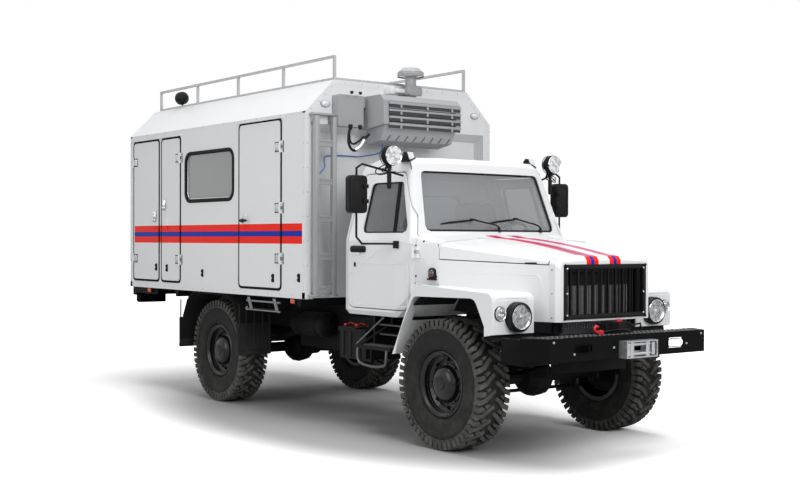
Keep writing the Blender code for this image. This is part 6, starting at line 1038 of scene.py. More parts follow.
class TRUCK_OT_door_fittings(bpy.types.Operator):
    """Model the seals, hinges, locks and catches of the van's doors, with black backs round the hinge plates as
    painted shadow outlines
    """
    bl_idname = "truck.door_fittings"
    bl_label = "Door fittings"

    def execute(self, context):
        seals = []
        wall_plates, bolts = [], []
        for node_name, body, rear, front, low, high, end, heights in SIDE_DOORS:
            middle = at((rear + front) / 2, -SIDE_Y + 0.02, (low + high) / 2)
            seals.append(outlined("seal", rectangle(front - rear + 0.032, high - low + 0.032), 0.0245, middle,
                                  RIGHT, rounding=0.054, band=sizes().seal_width + 0.0105, bevel=0.0015))
            hinge_x = front if end > 0 else rear
            plates, painted_shadow_backs = [], []
            for z in heights:
                inner = sorted((hinge_x - end * 0.016, hinge_x - end * 0.098))
                outer = sorted((hinge_x + end * 0.012, hinge_x + end * 0.046))
                plates.append(self.door_plate(inner, z))
                # Black back a little larger than the door's hinge plate: a painted shadow outline round it.
                painted_shadow_backs.append(box("back", at(inner[0] - 0.005, -1.156, z - 0.048),
                                 at(inner[1] + 0.005, -1.1515, z + 0.048), 0.001, 1))
                wall_plates.append(box("plate", at(outer[0], WALL_PLATE_FACE, z - 0.05),
                                       at(outer[1], -1.146, z + 0.05), 0.0015))
                # Black back a little larger than the wall plate: a painted shadow outline round it, joined with the
                # door seals.
                seals.append(box("back", at(outer[0] - 0.004, -1.15, z - 0.055),
                                 at(outer[1] + 0.004, -1.144, z + 0.055), 0.001, 1))
                for along in (0.36, 0.78):
                    for up in (-0.028, 0.028):
                        x = hinge_x - end * (0.016 + 0.082 * along)
                        plates.append(self.bolt((x, HINGE_FACE, z + up)))
                for up in (-0.032, 0.032):
                    bolts.append(self.bolt((hinge_x + end * 0.032, WALL_PLATE_FACE, z + up)))
            dress(node_name + "_hinge_plates", plates, "bright_zinc", body)
            dress(node_name + "_hinge_backs", painted_shadow_backs, "seal_black", body)
        dress("side_door_seals", seals, "seal_black")
        dress("side_hinge_wall_plates", wall_plates + bolts, "dark_zinc")
        self.add_handle()
        self.add_locks()
        self.add_catches()
        return {"FINISHED"}

    def door_plate(self, ends, z):
        """Model a hinge's stepped plate on a side door."""
        low, high = at(ends[0], HINGE_FACE, z - 0.042), at(ends[1], -1.1525, z + 0.042)
        plate = box("plate", low, high, 0, 1)
        bpy.ops.object.mode_set(mode="EDIT")
        bpy.ops.mesh.bisect(plane_co=at((ends[0] + ends[1]) / 2, 0, 0), plane_no=FRONT)
        pick(plate, lambda middle, normal: abs(normal.x) > 0.9 and abs(middle.z - z) < 0.01)
        bpy.ops.transform.resize(value=(1, 1, 0.78), center_override=at(0, 0, z))
        bpy.ops.mesh.select_all(action="SELECT")
        bpy.ops.mesh.bevel(offset=0.002, segments=2, affect="EDGES")
        return close(plate)

    def bolt(self, place, facing=RIGHT, radius=0.0075):
        """Model a hexagon bolt head."""
        return turned("bolt", [(-0.001, radius), (0.0042, radius), (0.0055, radius * 0.86), (0.0055, 0)],
                      at(*place), facing, 6)

    def add_handle(self):
        """Model the side door's black lever on its rose."""
        rose = turned("rose", [(-0.012, 0.023), (0.005, 0.023), (0.007, 0.02), (0.007, 0)],
                      at(HANDLE_X, -1.1645, HANDLE_Z), RIGHT, 28)
        boss = turned("boss", [(0, 0.017), (0.018, 0.016), (0.024, 0.013), (0.025, 0)],
                      at(HANDLE_X, -1.168, HANDLE_Z), RIGHT, 24)
        lever = outlined("lever", ((-0.016, -0.013), (0.02, -0.012), (0.104, -0.01), (0.112, 0.0), (0.104, 0.011),
                                   (0.02, 0.014), (-0.016, 0.013)), 0.015, at(HANDLE_X, -1.182, HANDLE_Z), RIGHT,
                         rounding=0.005, bevel=0.003)
        dress("side_door_lever", [rose, boss, lever], "satin_black", "van_side_door")

    def add_locks(self):
        """Model the lockers' bright fold-down locks."""
        for name, body, x, z, turn_up in (("locker_lock_rear", "rear_locker_door", -5.014, 1.98, 1),
                                          ("locker_lock_front", "front_locker_door", -4.775, 2.11, -1)):
            place = at(x, -1.164, z)
            base = outlined("base", rectangle(0.066, 0.124), 0.006, place, RIGHT, rounding=0.014, bevel=0.002)
            bar = outlined("bar", rectangle(0.02, 0.094), 0.01, at(x, -1.17, z), RIGHT, rounding=0.006, bevel=0.002)
            grip = outlined("grip", rectangle(0.052, 0.022), 0.012, at(x, -1.17, z + turn_up * 0.034), RIGHT,
                            rounding=0.007, bevel=0.002)
            pin = turned("pin", [(0, 0.013), (0.015, 0.012), (0.017, 0.009), (0.017, 0)],
                         at(x, -1.17, z - turn_up * 0.036), RIGHT, 20)
            dress(name, [base, bar, grip, pin], "chrome", body)

    def add_catches(self):
        """Model the door stays' catches, on the wall and at the doors' feet."""
        for name, body, places in (("wall_catches", "truck", ((-3.893, 1.364), (-1.985, 1.362))),
                                   ("side_door_catch", "van_side_door", ((-2.443, 1.349),)),
                                   ("locker_catch_rear", "rear_locker_door", ((-4.985, 1.407),)),
                                   ("locker_catch_front", "front_locker_door", ((-4.718, 1.401),))):
            parts = []
            for x, z in places:
                face = -SIDE_Y if body == "truck" else -DOOR_Y
                parts.append(outlined("foot", rectangle(0.04, 0.082), 0.004, at(x, face + 0.001, z), RIGHT,
                                      rounding=0.006, bevel=0.001))
                for up in (-0.02, 0.02):
                    parts.append(outlined("loop", rectangle(0.03, 0.03), 0.012, at(x, face - 0.002, z + up), RIGHT,
                                          rounding=0.006, band=0.007, bevel=0.0015))
            dress(name, parts, "satin_black", body)


class TRUCK_OT_van_windows(bpy.types.Operator):
    """Model the rubber frames round the van's windows"""
    bl_idname = "truck.van_windows"
    bl_label = "Van windows"

    def execute(self, context):
        middle = at(WINDOW_X, -SIDE_Y + 0.014, WINDOW_Z)
        lip = outlined("window_rubbers", rectangle(1.084, 0.554), 0.023, middle, RIGHT, rounding=0.118, band=0.04,
                       bevel=0.005, segments=8)
        fit(both_sides(lip), "seal_rubber")
        inner = outlined("window_beads", rectangle(1.012, 0.482), 0.006, at(WINDOW_X, -1.1335, WINDOW_Z), RIGHT,
                         rounding=0.086, band=0.012, bevel=0.002, segments=8)
        fit(both_sides(inner), "bright_zinc")
        return {"FINISHED"}


class TRUCK_OT_van_lamps(bpy.types.Operator):
    """Model the marker lamps and tail lamps of the van body"""
    bl_idname = "truck.van_lamps"
    bl_label = "Van lamps"

    def execute(self, context):
        self.add_brow_lamps()
        self.add_side_markers()
        self.add_tail_lamps()
        return {"FINISHED"}

    def add_brow_lamps(self):
        """Model the oval marker lamps on the van's brow."""
        spots = [surface("van_shell", at(-1.0, side * 0.93, 3.01), BACK)[0] for side in (-1, 1)]
        bases, lenses = [], []
        for spot in spots:
            base = turned("base", [(-0.002, 0.036), (0.01, 0.036), (0.014, 0.031), (0.014, 0)], (0, 0, 0), UP, 32)
            base.data.transform(standing(spot, FRONT) @ Matrix.Diagonal((1.5, 0.92, 1, 1)))
            lens = turned("lens", [(0.012, 0.03), (0.02, 0.027), (0.027, 0.018), (0.03, 0)], (0, 0, 0), UP, 32)
            lens.data.transform(standing(spot, FRONT) @ Matrix.Diagonal((1.5, 0.9, 1, 1)))
            bases.append(base)
            lenses.append(lens)
        dress("brow_lamp_bases", bases, "grey_plastic")
        dress("brow_lamp_lenses", lenses, "clear_lens")

    def add_side_markers(self):
        """Model the amber markers under the van's sides, each on a bracket."""
        brackets, lenses = [], []
        for x in (-5.213, -2.124):
            brackets.append(box("bracket", at(x - 0.038, -1.1165, 1.108), at(x + 0.038, -1.1135, 1.1652), 0.001, 1))
            brackets.append(box("foot", at(x - 0.038, -1.1165, 1.1612), at(x + 0.038, -1.07, 1.1652), 0.001, 1))
            brackets.append(box("back", at(x - 0.036, -1.124, 1.112), at(x + 0.036, -1.116, 1.158), 0.003, 2))
            lenses.append(box("lens", at(x - 0.032, -1.137, 1.116), at(x + 0.032, -1.122, 1.154), 0.005, 3))
        dress_both("side_marker_brackets", brackets, "satin_black")
        dress_both("side_marker_lenses", lenses, "amber_lens")

    def add_tail_lamps(self):
        """Model the tail lamps on the rear bar."""
        reds, ambers = [], []
        cases = [box("case", at(TAIL_FACE - 0.002, -1.06, 0.985), at(TAIL_FACE + 0.03, -0.74, 1.085), 0.006, 2)]
        for low, high, lenses in ((-1.052, -0.962, ambers), (-0.956, -0.848, reds), (-0.842, -0.748, reds)):
            lens = box("lens", at(TAIL_FACE - 0.0005, low, 0.993), at(TAIL_FACE + 0.02, high, 1.077), 0.006, 2)
            lens.data.transform(Matrix.Translation((-0.0005, 0, 0)))
            lenses.append(lens)
        dress_both("tail_lamp_cases", cases, "satin_black")
        dress_both("tail_lamp_reds", reds, "red_lens")
        dress_both("tail_lamp_ambers", ambers, "amber_lens")


# Cab


DOOR_SKIN = -0.9495
MIRROR = (-1.234, 2.128)
SPOTLIGHT = (-0.975, 2.457)
SPOTLIGHT_FACE = -0.745


def rim(node_name, start, direction):
    """Return the corners round the outer edge of a pane, in order."""
    normal = surface(node_name, start, direction)[1]
    mesh = bmesh.new()
    mesh.from_mesh(NODES[node_name].data)
    mesh.transform(NODES[node_name].matrix_world)
    bmesh.ops.remove_doubles(mesh, verts=mesh.verts, dist=0.0001)
    faces = {face for face in mesh.faces if face.normal.dot(normal) > 0.8}
    edges = {edge for edge in mesh.edges if len(faces.intersection(edge.link_faces)) == 1}
    edge = next(iter(sorted(edges, key=lambda item: item.index)))
    corner = edge.verts[0]
    points = []
    while edge:
        edges.discard(edge)
        points.append(corner.co.copy())
        corner = edge.other_vert(corner)
        edge = next((item for item in corner.link_edges if item in edges), None)
    mesh.free()
    return points


def on_skin(node_name, places, off, direction=LEFT, back=2.0):
    """Return points that lie a little way off a node's surface, seen along a direction, where it is met."""
    points = []
    for place in places:
        hit, spot, normal, _ = NODES[node_name].ray_cast(at(*place) - Vector(direction) * back, Vector(direction))
        if hit:
            points.append(spot + normal * off)
    return points


def screw(place, facing, radius=0.008):
    """Model a round screw head with a driver's recess."""
    return turned("screw", [(-0.001, radius), (0.002, radius), (0.0038, radius * 0.7), (0.0038, radius * 0.36),
                            (0.0022, radius * 0.3), (0.0022, 0)], place, facing, 14)


def cab_doors():
    """Return each cab door's mirroring, side and body, the right one first."""
    return (Matrix.Identity(4), "right", "right_cab_door"), (flipped(), "left", "left_cab_door")


class TRUCK_OT_cab_glazing(bpy.types.Operator):
    """Model the rubbers round the cab's panes, the quarter light dividers and the wipers"""
    bl_idname = "truck.cab_glazing"
    bl_label = "Cab glazing"

    def execute(self, context):
        screen = bent("windscreen_rubber", rim("windscreen", at(2, 0, 2.05), BACK), 0.0165, closed=True, sharp=True)
        fit(screen, "seal_rubber")
        rear = bent("rear_glass_rubber", rim("cab_rear_glass", at(-1.7, 0, 1.95), FRONT), 0.012, closed=True,
                    sharp=True)
        fit(rear, "seal_rubber")
        loop = rim("door_glass_right", at(-1.0, -2, 2.0), LEFT)
        for matrix, name, body in cab_doors():
            seal = bent("door_glass_rubber_" + name, loop, 0.0125, closed=True, sharp=True)
            post = self.divider()
            piece = copied(joined("door_glass_rubber_" + name, [seal, post]), [matrix])
            fit(piece, "seal_rubber", body)
        self.add_wipers()
        return {"FINISHED"}

    def divider(self):
        """Model the bar between the quarter light and the winding window, with its catch."""
        middle, facing = surface("door_glass_right", at(-0.85, -2, 2.02), LEFT)
        corners = ((0.026, -0.232), (0.064, -0.232), (-0.008, 0.222), (-0.046, 0.222))
        bar = outlined("bar", corners, 0.013, middle - facing * 0.002, facing, bevel=0.004)
        catch = outlined("catch", rectangle(0.03, 0.022), 0.016, middle + Vector((0.082, -0.03, -0.19)), facing,
                         rounding=0.007, bevel=0.003)
        return joined("divider", [bar, catch])

    def add_wipers(self):
        """Model two wipers: spindle, arm, blade carrier and rubber."""
        parts = []
        for pivot, knee, tip, heel in ((0.045, (-0.262, 1.893), (-0.6, 1.862), (-0.235, 1.896)),
                                       (0.56, (0.262, 1.906), (-0.055, 1.872), (0.29, 1.91))):
            foot = surface("cab_shell", at(-0.5, pivot, 4), DOWN)[0]
            parts.append(turned("spindle", [(-0.004, 0.021), (0.016, 0.019), (0.022, 0.012), (0.04, 0.011),
                                            (0.043, 0.006), (0.043, 0)], foot, UP, 20))
            over = on_skin("windscreen", [(0, knee[0], knee[1])], 0.042, BACK)[0]
            first = foot + Vector((0.004, 0, 0.032))
            second = first.lerp(over, 0.16) + Vector((0.026, 0, 0.01))
            parts.append(bent("arm", [first, second, second.lerp(over, 0.5) + Vector((0.012, 0, 0)), over], 0.0075,
                              1))
            spread = [tuple(a + (b - a) * share for a, b in zip(tip, heel)) for share in (0, 0.25, 0.5, 0.75, 1)]
            blade = on_skin("windscreen", [(0, y, z) for y, z in spread], 0.01, BACK)
            parts.append(bent("rubber", blade, 0.0055, 1))
            yoke = on_skin("windscreen", [(0, y, z + 0.004) for y, z in spread], 0.022, BACK)
            parts.append(bent("yoke", [blade[0], yoke[1], yoke[2], yoke[3], blade[4]], 0.006, 1))
            parts.append(box("clip", over - Vector((0.016, 0.022, 0.01)), over + Vector((0.01, 0.022, 0.01)),
                             0.004))
        dress("wipers", parts, "satin_black")


class TRUCK_OT_cab_fittings(bpy.types.Operator):
    """Model the cab doors' handles, locks and creases, the cowl panels, repeaters and roof lamps"""
    bl_idname = "truck.cab_fittings"
    bl_label = "Cab fittings"

    def execute(self, context):
        for matrix, name, body in cab_doors():
            for model, label, finish in ((self.handle, "door_handle_", "satin_black"),
                                         (self.crease, "door_crease_", "body_paint"),
                                         (self.trim_card, "door_card_", "dash_plastic")):
                fit(copied(model(), [matrix], label + name), finish, body)
        self.add_cowl_panels()
        self.add_repeaters()
        self.add_roof_lamps()
        return {"FINISHED"}

    def handle(self):
        """Model the door's grip in its dish, and the lock under it."""
        dish = outlined("dish", rectangle(0.222, 0.06), 0.0245, at(-1.29, -0.948, 1.64), RIGHT, rounding=0.026,
                        bevel=0.004)
        pad = outlined("pad", rectangle(0.196, 0.036), 0.006, at(-1.29, -0.972, 1.64), RIGHT, rounding=0.016,
                       band=0.005, bevel=0.001)
        grip = outlined("grip", ((-0.088, -0.01), (0.07, -0.013), (0.088, -0.004), (0.088, 0.008), (0.07, 0.013),
                                 (-0.088, 0.011)), 0.014, at(-1.286, -0.973, 1.643), RIGHT, rounding=0.005,
                        bevel=0.004)
        lock = outlined("lock", rectangle(0.026, 0.044), 0.007, at(-1.348, -0.949, 1.5), RIGHT, rounding=0.012,
                        bevel=0.002)
        slot = outlined("slot", rectangle(0.012, 0.026), 0.003, at(-1.348, -0.955, 1.5), RIGHT, rounding=0.005,
                        band=0.003)
        return joined("handle", [dish, pad, grip, lock, slot])

    def crease(self):
        """Model the pressed ridge that runs down and back from the mirror's foot, and the raised lower field."""
        ridge = outlined("ridge", ((-1.452, 1.398), (-1.452, 1.41), (-1.41, 1.431), (-0.862, 1.702),
                                   (-0.856, 1.691), (-1.408, 1.419)), 0.0045, at(0, DOOR_SKIN, 0), RIGHT,
                         bevel=0.0022)
        field = outlined("field", ((-0.43, -0.19), (0.4, -0.19), (0.4, 0.19), (-0.43, 0.19)), 0.003,
                         at(-0.955, DOOR_SKIN, 1.33), RIGHT, rounding=0.045, band=0.01, bevel=0.0016)
        return joined("crease", [ridge, field])

    def trim_card(self):
        """Model the door's inner card with its armrest and pull."""
        card = outlined("card", rectangle(0.74, 0.43), 0.008, at(-0.985, -0.885, 1.48), LEFT, rounding=0.04,
                        bevel=0.003)
        rest = outlined("rest", rectangle(0.3, 0.055), 0.045, at(-1.06, -0.88, 1.54), LEFT, rounding=0.022,
                        bevel=0.01)
        pull = bent("pull", path((-0.83, -0.876, 1.56), (-0.826, -0.845, 1.575), (-0.8, -0.84, 1.61),
                                 (-0.796, -0.874, 1.63)), 0.009)
        return joined("card", [card, rest, pull])

    def add_cowl_panels(self):
        """Model the plates on the cowl's sides and their screws."""
        middle, facing = surface("cab_shell", at(-0.35, -2, 1.53), LEFT)
        plate = outlined("plate", rectangle(0.28, 0.325), 0.0022, middle - facing * 0.0006, facing, rounding=0.008,
                         bevel=0.0008)
        dress_both("cowl_plates", [plate], "nose_paint")
        heads = []
        for x, z in ((-0.474, 1.676), (-0.226, 1.678), (-0.474, 1.415), (-0.226, 1.415)):
            spot = surface("cab_shell", at(x, -2, z), LEFT)[0]
            heads.append(screw(spot + facing * 0.0016, facing, 0.0095))
        spot = surface("cab_shell", at(-0.4, -2, 1.712), LEFT)
        heads.append(screw(spot[0], spot[1], 0.0095))
        dress_both("cowl_screws", heads, "satin_black")

    def add_repeaters(self):
        """Model the side repeaters on the cowl: black shoe and smoked dome."""
        middle, facing = surface("cab_shell", at(-0.272, -2, 1.44), LEFT)
        shoe = outlined("shoe", rectangle(0.088, 0.098), 0.014, middle + facing * 0.001, facing, rounding=0.034,
                        bevel=0.005)
        foot = outlined("foot", rectangle(0.104, 0.016), 0.02, middle + facing * 0.001 + Vector((0, 0, -0.047)),
                        facing, rounding=0.004, bevel=0.003)
        dress_both("repeater_shoes", [shoe, foot], "satin_black")
        dome = turned("dome", [(0.012, 0.034), (0.026, 0.032), (0.038, 0.025), (0.045, 0.014), (0.047, 0)],
                      (0, 0, 0), UP, 28)
        dome.data.transform(standing(middle, facing) @ Matrix.Diagonal((0.85, 1.1, 0.8, 1)))
        dress_both("repeater_lenses", [dome], "smoked_lens")

    def add_roof_lamps(self):
        """Model the two marker lamps on the cab roof, with wedge housings, lenses and leads."""
        spot = surface("cab_shell", at(-0.835, -0.736, 5), DOWN)[0]
        side = spot + Vector((0, 0.036, -0.006))
        house = outlined("house", ((-0.06, -0.006), (0.046, -0.004), (0.04, 0.02), (0.016, 0.07), (-0.02, 0.078),
                                   (-0.05, 0.05)), 0.072, side, RIGHT, rounding=0.008, bevel=0.006)
        foot = outlined("foot", rectangle(0.092, 0.13), 0.008, spot + Vector((-0.006, 0, -0.002)),
                        (0.04, -0.4, 0.91), rounding=0.014, bevel=0.003)
        lead = on_skin("cab_shell", [(-0.8, -0.745, 0), (-0.76, -0.765, 0), (-0.735, -0.775, 0)], 0.004, DOWN, 5.0)
        wire = bent("lead", lead, 0.0035, 1)
        dress_both("roof_lamp_houses", [house, foot, wire], "satin_black")
        lens = outlined("lens", ((0.044, 0.002), (0.054, 0.006), (0.046, 0.03), (0.024, 0.07), (0.014, 0.07),
                                 (0.036, 0.022)), 0.058, spot + Vector((0, 0.029, -0.004)), RIGHT, rounding=0.003,
                        bevel=0.004)
        dress_both("roof_lamp_lenses", [lens], "clear_lens")


class TRUCK_OT_mirrors(bpy.types.Operator):
    """Model the mirrors' glass, shells and clamps, and the spotlights on their arms"""
    bl_idname = "truck.mirrors"
    bl_label = "Mirrors and spotlights"

    def execute(self, context):
        for matrix, name, body in cab_doors():
            for model, label, finish, slot in ((self.glass, "mirror_glass_", "chrome", "window_glass"),
                                               (self.shell, "mirror_shell_", "satin_black", None),
                                               (self.bowl, "spotlight_bowl_", "reflector", None),
                                               (self.casing, "spotlight_case_", "satin_black", None),
                                               (self.lens, "spotlight_glass_", "lamp_glass", None)):
                fit(copied(model(), [matrix], label + name), finish, body, slot)
        return {"FINISHED"}

    def glass(self):
        """Model the mirror's pane."""
        return outlined("glass", rectangle(0.158, 0.29), 0.003, at(-0.959, *MIRROR), BACK, rounding=0.032,
                        bevel=0.001, segments=6)

    def lens(self):
        """Model the spotlight's glass."""
        return turned("lens", [(0.014, 0.0755), (0.021, 0.07), (0.029, 0.05), (0.033, 0.026), (0.034, 0)],
                      at(SPOTLIGHT_FACE, *SPOTLIGHT), FRONT, 40)

    def shell(self):
        """Model the pressed front of the mirror's shell and the clamps that hold it on its tube."""
        crown = outlined("crown", rectangle(0.172, 0.304), 0.012, at(-0.901, *MIRROR), FRONT, rounding=0.04,
                         bevel=0.006, segments=6)
        ring = outlined("ring", rectangle(0.128, 0.256), 0.004, at(-0.89, *MIRROR), FRONT, rounding=0.028,
                        band=0.008, bevel=0.0015, segments=6)
        clamps = [box("clamp", at(-0.905, -1.192, z - 0.018), at(-0.868, -1.142, z + 0.018), 0.005)
                  for z in (2.06, 2.19)]
        heads = [screw(at(-0.868, -1.178, z), FRONT, 0.006) for z in (2.06, 2.19)]
        rim_ring = outlined("rim", rectangle(0.18, 0.312), 0.005, at(-0.958, *MIRROR), BACK, rounding=0.04,
                            band=0.01, bevel=0.002, segments=6)
        return joined("shell", [crown, ring, rim_ring] + clamps + heads)

    def bowl(self):
        """Model the spotlight's faceted reflector, its bulb shield and its bright rim."""
        place = at(SPOTLIGHT_FACE, *SPOTLIGHT)
        dish = turned("dish", [(0.013, 0.077), (0.008, 0.062), (0.004, 0.044), (0.0015, 0.022), (0.001, 0)], place,
                      FRONT, 18, smooth=0)
        shield = turned("shield", [(0.001, 0.015), (0.012, 0.015), (0.018, 0.01), (0.019, 0)], place, FRONT, 16)
        ring = turned("ring", [(0.008, 0.086), (0.016, 0.086), (0.019, 0.082), (0.016, 0.0765), (0.01, 0.0765)],
                      place, FRONT, 40, True)
        return joined("bowl", [dish, shield, ring])

    def casing(self):
        """Model the spotlight's ribbed shell, its yoke, hanging lever and lead."""
        place = at(-0.855, *SPOTLIGHT)
        hoops = [turned("hoop", [(along, 0.0865), (along + 0.003, 0.0895), (along + 0.008, 0.0895),
                                 (along + 0.011, 0.0865)], place, FRONT, 32, True)
                 for along in (0.03, 0.052, 0.074, 0.094)]
        knob = turned("knob", [(-0.012, 0.02), (-0.01, 0.026), (0.002, 0.03)], place, FRONT, 20)
        lever = outlined("lever", rectangle(0.04, 0.15), 0.016, at(-0.806, -0.975, 2.245), FRONT, rounding=0.018,
                         bevel=0.005)
        neck = turned("neck", [(0, 0.016), (0.03, 0.016), (0.034, 0.024), (0.048, 0.024), (0.052, 0.014),
                               (0.062, 0.014)], at(-0.8, -0.975, 2.318), UP, 18)
        lead = bent("lead", path((-0.838, -0.97, 2.395), (-0.872, -1.01, 2.365), (-0.862, -1.075, 2.33),
                                 (-0.835, -1.085, 2.3), (-0.815, -1.03, 2.296), (-0.82, -0.95, 2.318),
                                 (-0.8, -0.905, 2.322)), 0.0055, 1)
        loop = bent("loop", path((-0.8, -0.94, 2.338), (-0.815, -1.02, 2.35), (-0.8, -1.055, 2.325),
                                 (-0.79, -0.99, 2.308)), 0.0045, 1)
        return joined("casing", hoops + [knob, lever, neck, lead, loop])


class TRUCK_OT_seats(bpy.types.Operator):
    """Model the two seats as stitched pads on their frames"""
    bl_idname = "truck.seats"
    bl_label = "Seats"

    def execute(self, context):
        frames = []
        for name, y in (("right", -0.45), ("left", 0.45)):
            cushion = self.pad("seat_cushion_" + name, (0.48, 0.47, 0.15), 0.022)
            cushion.data.transform(Matrix.Translation(at(-1.0, y, 1.49)) @ Matrix.Rotation(-0.06, 4, "Y"))
            back = self.pad("seat_back_" + name, (0.64, 0.45, 0.12), 0.02)
            back.data.transform(Matrix.Translation(at(-1.262, y, 1.77)) @ Matrix.Rotation(-1.72, 4, "Y"))
            for piece in (cushion, back):
                fit(piece, "seat_fabric")
            if name == "right":
                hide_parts("seats")
            frames.append(box("frame", at(-1.22, y - 0.205, 1.33), at(-0.79, y + 0.205, 1.425), 0.015))
            frames.append(box("riser", at(-1.18, y - 0.16, 1.102), at(-0.84, y + 0.16, 1.34), 0.02))
            for side in (-1, 1):
                frames.append(bent("piping", path((-1.225, y + side * 0.222, 1.562), (-1.0, y + side * 0.23, 1.566),
                                                  (-0.79, y + side * 0.222, 1.532)), 0.005, 1))
        dress("seat_frames", frames, "satin_black")
        return {"FINISHED"}

    def pad(self, name, size, crown):
        """Model one crowned pad with two stitched channels along it."""
        put_down()
        bpy.ops.mesh.primitive_cube_add(size=1, scale=size)
        bpy.ops.object.transform_apply(location=True, rotation=True, scale=True)
        piece = take(name)
        bpy.ops.mesh.subdivide(number_cuts=13)
        mesh = bmesh.from_edit_mesh(piece.data)
        for vertex in mesh.verts:
            u, v, w = (vertex.co[axis] * 2 / size[axis] for axis in range(3))
            swell = (1 - u ** 4) * (1 - v ** 4)
            channel = math.exp(-((abs(v) - 0.46) / 0.07) ** 2) * swell
            vertex.co.z += (1 if w > 0 else 0.3) * w * (crown * swell - 0.014 * channel)
            vertex.co.x *= 1 - 0.045 * w * w * w * w - 0.04 * v ** 6
            vertex.co.y *= 1 - 0.05 * w * w * w * w - 0.04 * u ** 6
        bmesh.update_edit_mesh(piece.data)
        bpy.ops.mesh.select_all(action="SELECT")
        bpy.ops.mesh.vertices_smooth(factor=0.5, repeat=3)
        bpy.ops.mesh.subdivide(number_cuts=1, smoothness=0.6)
        return close(piece, None, 80)


class TRUCK_OT_dashboard(bpy.types.Operator):
    """Model the instruments, switches and grab handle of the dashboard"""
    bl_idname = "truck.dashboard"
    bl_label = "Dashboard"

    def execute(self, context):
        dark, bright = [], []
        for y, z, radius in ((0.36, 1.6, 0.052), (0.5, 1.6, 0.052), (0.61, 1.615, 0.03), (0.255, 1.615, 0.03),
                             (0.1, 1.56, 0.022), (0.03, 1.56, 0.022)):
            spot, facing = surface("dashboard", at(-1.5, y, z), FRONT)
            dark.append(turned("cup", [(-0.004, radius * 1.16), (0.014, radius * 1.14), (0.018, radius * 1.06),
                                       (0.014, radius), (0.004, radius * 0.98), (0.004, 0)], spot, facing, 28))
            bright.append(turned("dial", [(0.0045, radius * 0.9), (0.0055, radius * 0.88), (0.0055, 0)], spot,
                                 facing, 28))
        for number in range(6):
            spot, facing = surface("dashboard", at(-1.5, -0.08 + 0.045 * number, 1.48), FRONT)
            dark.append(outlined("switch", rectangle(0.028, 0.046), 0.01, spot, facing, rounding=0.005,
                                 bevel=0.003))
        spot, facing = surface("dashboard", at(-1.5, -0.45, 1.6), FRONT)
        dark.append(bent("grab", [spot + Vector((0.004, -0.15, 0)), spot + Vector((-0.04, -0.14, 0.004)),
                                  spot + Vector((-0.046, 0, 0.006)), spot + Vector((-0.04, 0.14, 0.004)),
                                  spot + Vector((0.004, 0.15, 0))], 0.011))
        dress("dashboard_fittings", dark, "satin_black")
        dress("dashboard_dials", bright, "grey_plastic")
        return {"FINISHED"}


# Nose, bumper and underside


HEADLAMP = (0.683, -0.795, 1.119)
SMALL_LAMP = (0.635, -0.967, 1.149)
WING_FACE = 0.6345
RADIATOR_FACE = 0.7235
BUMPER_FACE = 1.124
BUMPER_TOP = 0.9775
STEP_TOP = 0.7848
PLATE_PITCH = 0.026
SPRING_Y = 0.4


class TRUCK_OT_headlamps(bpy.types.Operator):
    """Model the headlamps' bezels, reflectors and lenses, and the small lamps beside them"""
    bl_idname = "truck.headlamps"
    bl_label = "Headlamps"

    def execute(self, context):
        place = at(*HEADLAMP)
        bezel = turned("bezel", [(-0.046, 0.119), (0.0, 0.119), (0.014, 0.117), (0.022, 0.11), (0.022, 0.099),
                                 (0.014, 0.093), (-0.006, 0.0915)], place, FRONT, 48, True)
        small_place = at(*SMALL_LAMP)
        gasket = turned("gasket", [(-0.002, 0.058), (0.01, 0.058), (0.014, 0.054), (0.014, 0)], small_place, FRONT,
                        32)
        dress_both("headlamp_bezels", [bezel, gasket], "satin_black")
        self.add_bowls(place, small_place)
        lens = turned("lens", [(0.01, 0.093), (0.018, 0.088), (0.028, 0.066), (0.034, 0.036), (0.036, 0)], place,
                      FRONT, 48)
        cover = turned("cover", [(0.016, 0.047), (0.026, 0.044), (0.036, 0.034), (0.042, 0.018), (0.043, 0)],
                       small_place, FRONT, 32)
        dress_both("headlamp_glasses", [lens, cover], "lamp_glass")
        line = outlined("line", rectangle(0.372, 0.288), 0.003, at(0.6342, -0.842, 1.128), FRONT, rounding=0.052,
                        band=0.008, bevel=0.0018, segments=6)
        heads = [screw(at(WING_FACE, y, z), FRONT, 0.006) for y, z in ((-0.69, 1.01), (-0.69, 1.23))]
        dress_both("lamp_panel_lines", [line] + heads, "body_paint")
        return {"FINISHED"}

    def add_bowls(self, place, small_place):
        """Model the faceted reflectors, bulb shields and bright rims."""
        parts = [turned("dish", [(0.012, 0.0935), (0.004, 0.08), (-0.002, 0.06), (-0.0045, 0.034), (-0.005, 0)],
                        place, FRONT, 20, smooth=0), turned("shield", [(-0.005, 0.019), (0.01, 0.019),
                                                                       (0.018, 0.013), (0.02, 0)], place, FRONT,
                                                            18), turned("rim", [(0.012, 0.1), (0.021, 0.099),
                                                                                (0.024, 0.096), (0.02, 0.092),
                                                                                (0.012, 0.0915)], place, FRONT, 48,
                                                                        True), turned("rim", [(0.008, 0.054),
                                                                                              (0.018, 0.054),
                                                                                              (0.022, 0.051),
                                                                                              (0.018, 0.0465),
                                                                                              (0.012, 0.046)],
                                                                                      small_place, FRONT, 32, True),
                 turned("dish", [(0.0165, 0.047), (0.0155, 0.03), (0.015, 0.012), (0.015, 0)], small_place, FRONT,
                        14, smooth=0)]
        for angle in (90, 210, 330):
            out = Vector((0, math.cos(math.radians(angle)), math.sin(math.radians(angle)))) * 0.022
            parts.append(turned("bulb", [(0.015, 0.01), (0.024, 0.009), (0.029, 0.005), (0.03, 0)],
                                small_place + out, FRONT, 12))
        ribs = []
        for number in range(9):
            y = -0.064 + 0.016 * number
            tall = math.sqrt(0.08 ** 2 - y ** 2)
            ribs.append(bent("rib", [place + Vector((0.002, y, -tall)), place + Vector((0.0045, y, 0.03 - tall)),
                                     place + Vector((0.0045, y, 0))], 0.0016, 1))
        dress_both("headlamp_bowls", parts + ribs, "reflector")


